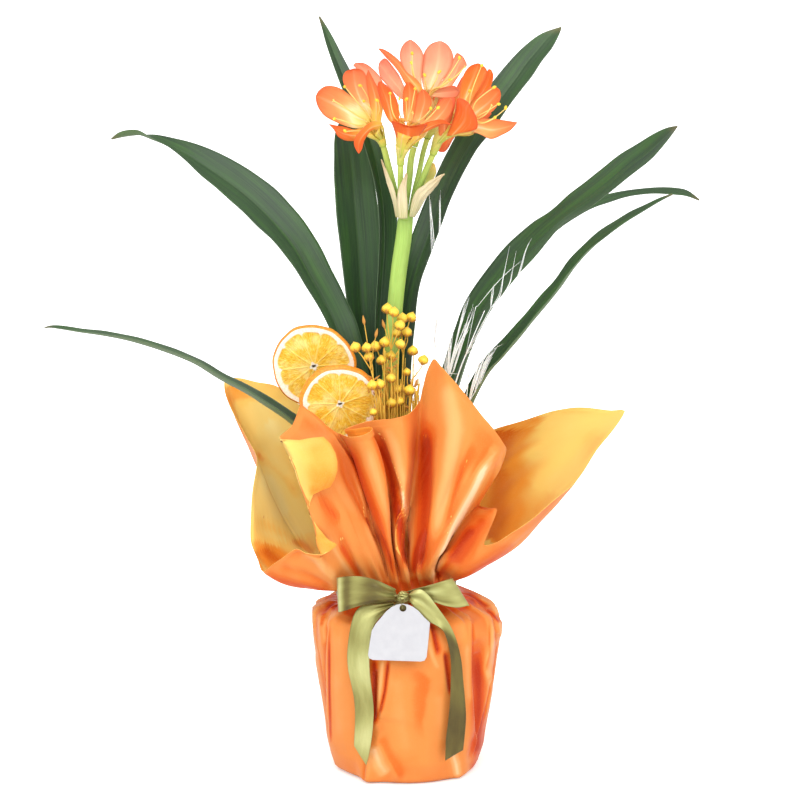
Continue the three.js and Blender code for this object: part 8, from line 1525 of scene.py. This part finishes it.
# long soft folds on the bag; its sides and back carry more laps and some crumple
vn, vn2 = value_noise(21), value_noise(22)
low = smooth(Z, 3, 16) * inbag
deg = np.degrees(TH) % 360
seen = smooth(deg, 196, 214) * smooth(deg, 344, 326)
side_ = 1 - 0.65 * np.exp(-((deg - 180) / 20) ** 2) - 0.65 * (np.exp(-(deg / 20) ** 2) + np.exp(-((deg - 360) / 20) ** 2))
D += low * side_ * (1.1 * vn(arc / 30 + Z / 170, Z / 85 + 3) + 0.35 * vn2(arc / 13 + Z / 60, Z / 40))
ridge = 1 - np.abs(vn2(arc / 17 + Z / 44 + 5, Z / 25 + 11))
D += low * side_ * (1 - 0.85 * seen) * (0.5 * (ridge ** 5) + 0.3 * vn(arc / 12 + Z / 60 + 2, Z / 30 + 4) - 0.2)
D += inbag * smooth(Z, 30, 105) * (2.6 * np.exp(-((deg - 192) / 20) ** 2) + 1.2 * np.exp(-((deg - 348) / 16) ** 2))
rl = np.random.default_rng(31)
for q in range(16):
    c0 = rl.uniform(-25, 205)
    slant, bend = rl.uniform(-0.10, 0.10), rl.uniform(-5, 5)
    z0, z1 = rl.uniform(2, 40), rl.uniform(90, 132)
    dd = ((deg - c0 + 180) % 360 - 180) - slant * (Z - 70) - bend * np.sin(Z / 40)
    dd = dd * (1 if rl.random() < 0.5 else -1)
    s_ = 0.5 + 0.5 * np.tanh(dd / 0.7)
    am = rl.uniform(1.2, 2.4)
    D += inbag * smooth(Z, z0, z0 + 14) * smooth(Z, z1, z1 - 14) * am * (np.exp(-np.maximum(dd, 0) / rl.uniform(9, 20)) * s_ - 0.5 * np.exp(-np.maximum(-dd, 0) / 4.0) * (1 - s_))
front = (G[..., 1] < 0)
fb = np.zeros((ncol, nst))
for poly, amp, wl, wr in BAG_FOLDS:
    fb += fold(X, Y, poly, amp, wl, wr)
for poly, amp, hi, wh, wlo in BAG_LAPS:
    fb += lap(X, Y, poly, amp, hi, wh, wlo)
D += np.where(front & inbag, fb * smooth(-G[..., 1], 0, 12), 0)
fc = np.zeros((ncol, nst))
incol = (J[None] >= nb + nk) & (J[None] < nb + nk + NR)
for poly, amp, wl, wr in COLLAR_FOLDS:
    fc += fold(X, Y, poly, amp, wl, wr)
yfront = G[..., 1] < -40
D += np.where(incol & yfront & (np.abs(N0[..., 1]) > 0.12), fc, 0)
fw = np.zeros((ncol, nst))
for poly, amp, wl, wr in WING_FOLDS:
    fw += fold(X, Y, poly, amp, wl, wr, (0.2, 0.2))
D += np.where(incol & (N0[..., 1] > 0.1), fw, 0)
# the flared sheet has slow waves and a few handling dents
col_v = np.clip((J - nb - nk) / (NR + NC - 1.0), 0, 1)[None] * np.ones((ncol, 1))
lenr = (J - nb - nk)[None] * 3.6
D += np.where(J[None] >= nb + nk, smooth(col_v, 0.05, 0.3) * (0.9 * vn(TH * 9, lenr / 40) + 0.35 * vn2(TH * 22, lenr / 16)), 0)
D = np.where((J[None] < 4) | (Z < 1.2), 0, D)
D = np.clip(D, -5.5, 6.0)
# the paper never goes through the pot that it is wrapped round
potr = np.where(Z < 106, POT_R0 + (POT_R1 - POT_R0) / POT_H * Z, POT_LIP) + 0.9
gap = np.hypot(G[..., 0], G[..., 1]) - potr
D = np.where(inbag & (Z > 2) & (Z < POT_H + 2), np.maximum(D, np.minimum(0, -gap)), D)
# a slanting crease that falls between two rows of the grid leaves single teeth: they are taken down to their neighbours
for ax in (1, 0, 1):
    Dm = D.copy()
    if ax:
        Dm[:, 1:-1] = np.median(np.stack([D[:, :-2], D[:, 1:-1], D[:, 2:]]), 0)
    else:
        Dm = np.median(np.stack([np.roll(D, 1, 0), D, np.roll(D, -1, 0)]), 0)
    D = np.where(J[None] >= nb + nk, D + np.clip(Dm - D, -0.6, 0.6), D)
S2 = G + N0 * D[..., None] * np.where(J[None, :, None] < nb + nk + NR, 1.0, 0.6)
S2[..., 2] = np.maximum(S2[..., 2], 0.3)
# how sharply each place is creased, for the worn pale crease lines
Lp = np.zeros((ncol, nst))
Lp[:, 1:-1] = np.abs(D[:, 2:] - 2 * D[:, 1:-1] + D[:, :-2])
Lc = np.abs(np.roll(D, 1, 0) - 2 * D + np.roll(D, -1, 0))
crease = np.clip((Lc * 1.2 + Lp) * 0.5 - 0.2, 0, 1)
print("wrap grid", ncol, nst, "tris", ncol * nst * 4)
Nf = wrap_normals(S2)
Hh = 0.16
# both faces are set off along a smoothed normal, so that neither shows through the other in a crease
Ns = Nf.copy()
for _ in range(3):
    Ns = (np.roll(Ns, 1, 0) + np.roll(Ns, -1, 0) + 2 * Ns) / 4
    Ns[:, 1:-1] = (Ns[:, 2:] + Ns[:, :-2] + 2 * Ns[:, 1:-1]) / 4
    Ns /= np.linalg.norm(Ns, axis=-1, keepdims=True) + 1e-9
out, inn = S2 + Ns * Hh, S2 - Ns * Hh
out[..., 2] = np.maximum(out[..., 2], 0.0)
V = np.concatenate([out.reshape(-1, 3), inn.reshape(-1, 3), [[0, 0, 0.02], [0, 0, 0.42]]])
out[:, :4, 2] = 0.02
V = np.concatenate([out.reshape(-1, 3), inn.reshape(-1, 3), [[0, 0, 0.02], [0, 0, 0.5]]])
idx = np.arange(ncol * nst).reshape(ncol, nst)
nxt = np.roll(idx, -1, 0)
a_, b_, c_, d_ = idx[:, :-1].ravel(), nxt[:, :-1].ravel(), nxt[:, 1:].ravel(), idx[:, 1:].ravel()
o = ncol * nst
F = np.stack([a_, b_, c_, d_], 1).tolist()
Mi = [0] * len(F)
F += np.stack([d_ + o, c_ + o, b_ + o, a_ + o], 1).tolist()
Mi += [1] * (len(F) // 2)
rimf = [(int(idx[i, -1]), int(nxt[i, -1]), int(nxt[i, -1]) + o, int(idx[i, -1]) + o) for i in range(ncol)]
F += rimf
Mi += [1] * ncol
F += [(2 * o, int(nxt[i, 0]), int(idx[i, 0])) for i in range(ncol)] + [(2 * o + 1, int(idx[i, 0]) + o, int(nxt[i, 0]) + o) for i in range(ncol)]
Mi += [0] * ncol + [1] * ncol
Lm = np.cumsum(np.concatenate([np.zeros((ncol, 1)), np.linalg.norm(np.diff(S2, axis=1), axis=2)], 1), 1)
# painted light and painted shade in the paper's colour, along the same creases
PX2 = project(S2)
X2, Y2 = PX2[..., 0], PX2[..., 1]


def painted_light_stroke(X, Y, poly, val, wl, wr, fade=(0.15, 0.15)):
    d, t = seg_dist(X, Y, poly)
    w = np.where(d > 0, wl, wr)
    return val * np.exp(-(np.abs(d) / w) ** 1.8) * smooth(t, 0, fade[0]) * smooth(t, 1, 1 - fade[1])


Ds = (np.roll(D, 1, 0) + D + np.roll(D, -1, 0)) / 3
Ds[:, 1:-1] = (Ds[:, 2:] + Ds[:, 1:-1] + Ds[:, :-2]) / 3
# painted shade in the hollows of the fold displacement and a painted highlight on its rises
relief_painted_light = 0.14 * np.clip(Ds, -3, 3) / 3.0 + 0.3 * np.clip(Ds - 0.5 * (np.roll(Ds, 5, 0) + np.roll(Ds, -5, 0)), -1.5, 1.5) / 1.5
tb, tc, tw = np.zeros_like(D), np.zeros_like(D), np.zeros_like(D)
for st in BAG_PAINTED_LIGHT:
    tb += painted_light_stroke(X2, Y2, *st)
for st in COLLAR_PAINTED_LIGHT:
    tc += painted_light_stroke(X2, Y2, *st)
for st in WING_PAINTED_LIGHT:
    tw += painted_light_stroke(X2, Y2, *st)
neck_ = (J[None] >= nb - 3) & (J[None] < nb + nk + 2)
face_ = smooth(-Nf[..., 1], 0.0, 0.3)
face_b = np.maximum(face_, smooth(Nf[..., 2], 0.1, 0.4) * (Z > 112))
painted_light = np.where(J[None] < nb + 1, relief_painted_light * (1 - 0.5 * seen) + tb * face_b * (G[..., 1] < 0), np.where(Nf[..., 1] > 0, 0.5 * relief_painted_light + tw, 0.6 * relief_painted_light + tc * (yfront | (Y2 > 560))))
# painted shade: darker at the tied neck and along the last rows of the collar's inner front
painted_light = np.clip(painted_light - 0.5 * neck_ - 0.36 * ((J[None] >= nb + nk + NR - 2) & (Nf[..., 1] > 0) & yfront), -1, 1)
uvA = np.stack([TH / (2 * np.pi), Lm / Lm.max(), painted_light], -1).reshape(-1, 3)
mmB = np.stack([TH * 75, Lm, crease], -1).reshape(-1, 3)
g = Geo().add(V, F, Mi, np.concatenate([uvA, uvA, [[0, 0, 0], [0, 0, 0]]]), np.concatenate([mmB, mmB, [[0, 0, 0], [0, 0, 0]]]))
wrap = g.build("paper_wrap_sheet", [S["paper_out"], S["paper_in"]])
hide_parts("paper_wrap")

# ------------------------------------------------------------------ ribbon
def pinch(u, v, near, k, amp, ph):
    """gathers that run out from the knot"""
    return amp * np.sin(u * math.pi * 2 * k + ph) * near


def ribbon_painted_light(name, u, v, B):
    """painted highlight and painted shade of the satin floats: by the turn of each part of the bow"""
    near = 1 - smooth(v, 0.0, 0.22)
    g = np.sin(u * 2 * math.pi * 2.4 + 3 * v) * 0.35
    if name == "ribbon_tail_left":
        return 0.25 + 0.35 * np.sin(v * 15 + u * 1.5) * smooth(v, 0.2, 0.35) + 0.25 * smooth(u, 0.2, 0.6) - 0.75 * near + g * near
    if name == "ribbon_tail_right":
        return 0.3 - 1.05 * smooth(v + 0.12 * u, 0.3, 0.42) + 0.15 * np.sin(v * 13) + g * near
    side = np.abs(v - LOOP_TURN[name])
    if name == "bow_loop_right":
        return 0.25 + 0.4 * np.sin(u * 2 * math.pi * 1.7 + 2 + 5 * v) * smooth(side, 0.05, 0.3) - 0.5 * np.exp(-((u - 0.82) / 0.06) ** 2) * smooth(side, 0.05, 0.2)
    t = -0.1 + 0.95 * np.exp(-((side - 0.035) / 0.03) ** 2) - 0.5 * np.exp(-((side - 0.11) / 0.035) ** 2) + 0.12 * np.exp(-((side - 0.19) / 0.04) ** 2) - 0.55 * np.exp(-((side - 0.33) / 0.09) ** 2)
    return t + 0.35 * np.sin(u * 2 * math.pi * 2.1 + 1) * smooth(side, 0.22, 0.45) - 0.6 * np.exp(-((u - 0.93) / 0.05) ** 2) * smooth(side, 0.06, 0.14)


for i, (name, rows) in enumerate(RIBBON.items()):
    loop = "loop" in name
    w1, w2 = wave(700 + i), wave(720 + i)

    def disp(u, v, L, w1=w1, w2=w2, loop=loop, i=i):
        near = (smooth(v, 0.34, 0.0) + smooth(v, 0.66, 1.0)) if loop else smooth(L, 34, 2)
        e = np.abs(2 * u - 1)
        return (1.25 if loop else 1.0) * np.sin(u * 2 * math.pi * (2.2 if loop else 1.8) + i * 1.7) * near + 0.3 * w1(L / 22 + u * 1.2) + 0.12 * e ** 2 * w2(L / 12)
    V, F, M_, A1, B1 = strap(rows, 110, 21, 0.45, 1, 0.9, 1.5, disp, 1.0, i * 2.1)
    A1 = np.array(A1, float)
    # painted highlight and painted shade for each bow piece
    A1[:, 2] = ribbon_painted_light(name, A1[:, 0], A1[:, 1], B1)
    g = Geo().add(V, F, M_, A1, B1)
    ob = g.build(name + "_satin", [S["satin"], S["satin"]])
    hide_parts(name)
# the band round the neck: gathered satin, higher than it is thick, with creases that run round it
na, nh = 240, 15
a = np.arange(na + 1) / na * 2 * np.pi
q = np.linspace(-1, 1, nh)
wv = value_noise(733)
Pb = np.empty((na + 1, nh, 3))
for j, h in enumerate(q):
    cre = 0.28 * np.sin(h * 7.0 + 1.2 * np.sin(a * 2 + 1) + 0.8 * np.sin(5 * a)) + 0.18 * wv(np.cos(a) * 6 + 9, np.sin(a) * 6 + 9 + h * 3)
    en = np.abs(np.cos(a)) ** 8
    r = 1.4 + cre - 0.35 * h * h - 1.0 * en
    x = NECK["x"] + (NECK["rx"] + r) * np.cos(a)
    y = (NECK["ry"] + r) * np.sin(a)
    Pb[:, j] = np.stack([x, y, neck_z(x) + h * (3.9 - 2.2 * en + 0.35 * np.sin(3 * a + 1))], 1)
Pb[-1] = Pb[0]
Nb = unit(np.cross(np.gradient(Pb, axis=0), np.gradient(Pb, axis=1)))
Nb[-1] = Nb[0] = unit(Nb[0] + Nb[-1])
ring = Pb[:-1]
Nr = Nb[:-1]
o_, i_ = ring + Nr * 0.22, ring - Nr * 0.22
V = np.concatenate([o_.reshape(-1, 3), i_.reshape(-1, 3)])
idx = np.arange(na * nh).reshape(na, nh)
nx2 = np.roll(idx, -1, 0)
oo = na * nh
F = [(int(idx[i, j]), int(nx2[i, j]), int(nx2[i, j + 1]), int(idx[i, j + 1])) for i in range(na) for j in range(nh - 1)]
F += [(f[3] + oo, f[2] + oo, f[1] + oo, f[0] + oo) for f in list(F)]
F += [(int(nx2[i, 0]), int(idx[i, 0]), int(idx[i, 0]) + oo, int(nx2[i, 0]) + oo) for i in range(na)]
F += [(int(idx[i, -1]), int(nx2[i, -1]), int(nx2[i, -1]) + oo, int(idx[i, -1]) + oo) for i in range(na)]
# the third channel is painted highlight and painted shade along the creases that run round the band
Ab = np.stack([(q[None] * 0.5 + 0.5) * np.ones((na, 1)), (a[:-1, None] / 6.2832) * np.ones(nh), -0.2 + 0.35 * np.cos(q[None] * 7 + 1.2 * np.sin(a[:-1, None] * 2 + 1))], -1).reshape(-1, 3)
Bb = np.stack([q[None] * 5 * np.ones((na, 1)), a[:-1, None] * 47 * np.ones(nh), np.full((na, nh), 3.3)], -1).reshape(-1, 3)
band = Geo().add(V, F, 0, np.concatenate([Ab, Ab]), np.concatenate([Bb, Bb])).build("ribbon_band_satin", [S["satin"]])
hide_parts("ribbon_band")
# the knot: a bulged wrap of satin with gathers along it
kp, kr = KNOT["path"], KNOT["rad"]
V, F, M_, A1, B1 = tube(kp, [q * 0.9 for q in kr], 44, 56, 0.8, lambda t, v: 0.11 * np.cos(7 * t + 2 * np.sin(6 * v)) + 0.06 * np.cos(12 * t + 4 * v) - 0.12 * np.exp(-((v - 0.5) / 0.25) ** 2), 5.0)
A1 = np.array(A1, float)
# painted highlight and painted shade along the knot's gathers
A1[:, 2] = 0.1 + 0.6 * np.cos(7 * 2 * math.pi * A1[:, 0] + 2 * np.sin(6 * A1[:, 1]))
kg = Geo().add(V, F, 0, A1, B1)
# the crossing of the two tails goes on behind the head of the tag
hx, hy, hz = TAG["hole"]
pt = [[hx - 5.5, hy + 1.9, hz + 3.4], [hx - 2.0, hy + 1.5, hz + 0.6], [hx + 2.0, hy + 1.5, hz - 0.2], [hx + 5.0, hy + 2.0, hz + 1.6]]
V, F, M_, A1, B1 = tube(pt, [2.6, 3.1, 3.0, 2.4], 20, 20, 0.22, lambda t, v: 0.05 * np.cos(5 * t), 2.0)
A1 = np.array(A1, float)
# painted in deep shade, so that the tag's hole shows dark
A1[:, 2] = -0.95
kg.add(V, F, 0, A1, B1)
knot = kg.build("ribbon_knot_satin", [S["satin"]])
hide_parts("ribbon_knot")

# ------------------------------------------------------------------ tag and thread
o3 = np.array(TAG["out"], float)
n_ = len(o3)
nn = unit(np.cross(o3[n_ // 3] - o3[0], o3[(2 * n_) // 3] - o3[0]))
fN = -nn if nn[1] > 0 else nn
ex = unit(np.cross([0, 0, 1.0], fN))
ez = np.cross(fN, ex)
org = o3[0]
f2 = np.stack([(o3 - org) @ ex, (o3 - org) @ ez], 1)
hc = np.array([(np.array(TAG["hole"]) - org) @ ex, (np.array(TAG["hole"]) - org) @ ez])
nh = 28
hole = np.stack([hc[0] + TAG["r"] * np.cos(np.arange(nh) / nh * 6.28319), hc[1] + TAG["r"] * np.sin(np.arange(nh) / nh * 6.28319)], 1)
cen = f2.mean(0)


def inset(poly, d, c, sign=1):
    e = poly - c
    l = np.linalg.norm(e, axis=1, keepdims=True)
    return c + e * (1 - sign * d / l)


V, F = [], []
loops = []
for h, d in ((0.30, 0.14), (0.16, 0.0), (-0.16, 0.0), (-0.30, 0.14)):
    lo, lh = inset(f2, d, cen), inset(hole, -d, hc)
    ids = []
    for q2 in (lo, lh):
        st = len(V)
        V += [org + ex * p[0] + ez * p[1] + fN * h for p in q2]
        ids.append(list(range(st, st + len(q2))))
    loops.append(ids)
for k in range(3):
    for w in (0, 1):
        p, q2 = loops[k][w], loops[k + 1][w]
        m = len(p)
        for j in range(m):
            f = (p[j], p[(j + 1) % m], q2[(j + 1) % m], q2[j])
            F.append(f if w == 0 else tuple(reversed(f)))
for k, rev in ((0, False), (3, True)):
    lo = [Vector((*inset(f2, 0.14, cen)[j], 0)) for j in range(len(f2))]
    lh = [Vector((*inset(hole, -0.14, hc)[j], 0)) for j in range(nh)]
    tri = tessellate_polygon([lo, lh])
    ids = loops[k][0] + loops[k][1]
    for t3 in tri:
        p = [(lo + lh)[j] for j in t3]
        area = (p[1].x - p[0].x) * (p[2].y - p[0].y) - (p[2].x - p[0].x) * (p[1].y - p[0].y)
        f = tuple(ids[j] for j in t3)
        if (area < 0) != rev:
            f = tuple(reversed(f))
        F.append(f)
M = Mat("tag_card", 0.62, 0.3)
n1 = M.noise(M.scale(M.pos(), (1500, 1500, 1500)), 1.0, 2.0, 0.6)
n2 = M.noise(M.scale(M.pos(), (140, 140, 140)), 1.0, 2.0, 0.5)
c = M.ramp(n2, [(0.3, rgb(183, 183, 187)), (0.7, rgb(190, 190, 193))])
M.color(M.mix(M.math("MULTIPLY", M.span(n1, 0.5, 0.75), 0.2), c, rgb(188, 190, 197)))
M.bump(n1, 0.12, 0.0002)
tag = Geo()
V = np.array(V)
Fq = F
# outward test on the outer side wall
tag.add(V, Fq, 0, np.stack([((V - org) @ ex) / 60, ((V - org) @ ez) / 60, np.zeros(len(V))], -1))
tag = tag.build("gift_tag_card", [M.m], smooth=False)
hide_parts("gift_tag")
cord = Geo().add(*tube(TAG["cord"], [0.34] * len(TAG["cord"]), 60, 10, 1, lambda t, v: 0.16 * np.cos(2 * t + 260 * v), 1.0)).build("tag_cord_thread", [S["thread"]])
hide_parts("tag_cord")

# ------------------------------------------------------------------ peat crumbs on the soil; the pot, soil and crown keep their CAD solids
rng = np.random.default_rng(5)
g = Geo()
keep = [np.array(p[0], float)[:2] for p in PICKS.values()] + [np.array(f["root"], float)[:2] for f in FLAX.values()] + [np.array(f["root"], float)[:2] for f in GRASS.values()]
cnt = 0
while cnt < 330:
    r, t = 63 * math.sqrt(rng.random()), rng.uniform(0, 6.2832)
    x, y = r * math.cos(t), r * math.sin(t)
    if ((x - 0) / 31.5) ** 2 + ((y + 3) / 27.5) ** 2 < 1 or any(np.hypot(x - k[0], y - k[1]) < 3.6 for k in keep):
        continue
    s = rng.uniform(1.0, 2.6)
    prof_ = [(0, -s * 0.6)] + [(s * math.sin(math.pi * q) * rng.uniform(0.75, 1.2), -s * 0.6 + 1.3 * s * q) for q in (0.2, 0.45, 0.7, 0.88)] + [(0, s * 0.7)]
    ax = unit([rng.normal() * 0.4, rng.normal() * 0.4, 1.0])
    ph = rng.uniform(0, 6)
    V, F, _, A1, _ = revolve(prof_, 7, [x, y, SOIL_TOP + 0.35 + 0.2 * s], ax, lambda t, h: 0.2 * math.cos(2 * t + ph) + 0.15 * math.cos(3 * t), ph)
    g.add(V, F, 0, A1)
    cnt += 1
crumbs = g.build("peat_crumbs", [S["soil"]], smooth=False)
for node, mk, sl in (("nursery_pot", "pot", "pot"), ("potting_soil", "soil", "soil"), ("plant_crown", "crown", "crown")):
    ob = NODES[node]
    ob.data.materials.clear()
    ob.data.materials.append(S[mk])

# ------------------------------------------------------------------ studio
def light(name, loc, size, power, target=(0, 0, 0.3)):
    L = bpy.data.lights.new(name, "AREA")
    L.shape = "RECTANGLE"
    L.size, L.size_y = size
    L.energy = power
    ob = bpy.data.objects.new(name, L)
    ob.location = loc
    d = Vector(target) - Vector(loc)
    ob.rotation_euler = d.to_track_quat("-Z", "Y").to_euler()
    bpy.context.scene.collection.objects.link(ob)
    return ob


light("key", KEY_AT, (1.3, 1.1), KEY_W)
light("fill", (1.5, -1.7, 1.2), (1.0, 1.4), FILL_W)
light("front", (0.35, -3.0, 0.75), (1.2, 1.2), FRONT_W)
light("top", (-0.25, -1.4, 2.1), (1.8, 1.8), TOP_W)
world = bpy.data.worlds.new("studio")
bpy.context.scene.world = world
world.use_nodes = True
bg = world.node_tree.nodes.get("Background") or world.node_tree.nodes.new("ShaderNodeBackground")
bg.inputs["Color"].default_value = (1, 1, 1, 1)
bg.inputs["Strength"].default_value = WORLD_S

fm = Mat("studio_floor", 0.9, 0.1)
n1 = fm.noise(fm.scale(fm.pos(), (3, 3, 3)), 1.0, 2.0, 0.5)
fm.color(fm.ramp(n1, [(0.3, (0.9, 0.9, 0.9, 1)), (0.7, (0.915, 0.915, 0.915, 1))]))
fm.b.inputs["Emission Color"].default_value = (1, 1, 1, 1)
ln = fm.node("ShaderNodeVectorMath", operation="LENGTH")
fm.t.links.new(fm.pos(), ln.inputs[0])
lp = fm.node("ShaderNodeLightPath")      # the glow of the white floor is only seen: it lights nothing
fm.put(fm.b.inputs["Emission Strength"], fm.math("MULTIPLY", lp.outputs["Is Camera Ray"], fm.span(ln.outputs["Value"], 0.1, 0.6, FLOOR_N, FLOOR_E)))
me = bpy.data.meshes.new("studio_floor")
bm = bmesh.new()
bmesh.ops.create_circle(bm, cap_ends=True, segments=96, radius=45.0)
bm.to_mesh(me)
bm.free()
me.materials.append(fm.m)
floor = bpy.data.objects.new("studio_floor", me)
floor.location = (0, 0, -0.0002)
bpy.context.scene.collection.objects.link(floor)
floor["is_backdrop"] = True

cam = bpy.data.cameras.new("camera")
cam.lens, cam.sensor_width, cam.sensor_fit = 123.75, 36.0, "HORIZONTAL"
cam.clip_end = 200
co = bpy.data.objects.new("camera", cam)
co.location = (CAM * 0.001).tolist()
co.rotation_euler = (math.radians(90) - EL, 0, 0)
bpy.context.scene.collection.objects.link(co)
bpy.context.scene.camera = co
bpy.context.scene.view_settings.view_transform = "Standard"

NEW_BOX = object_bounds()
flat = lambda b: [float(x) for p in b for x in p]
{"cad": flat(CAD_BOX), "visual": flat(NEW_BOX)}
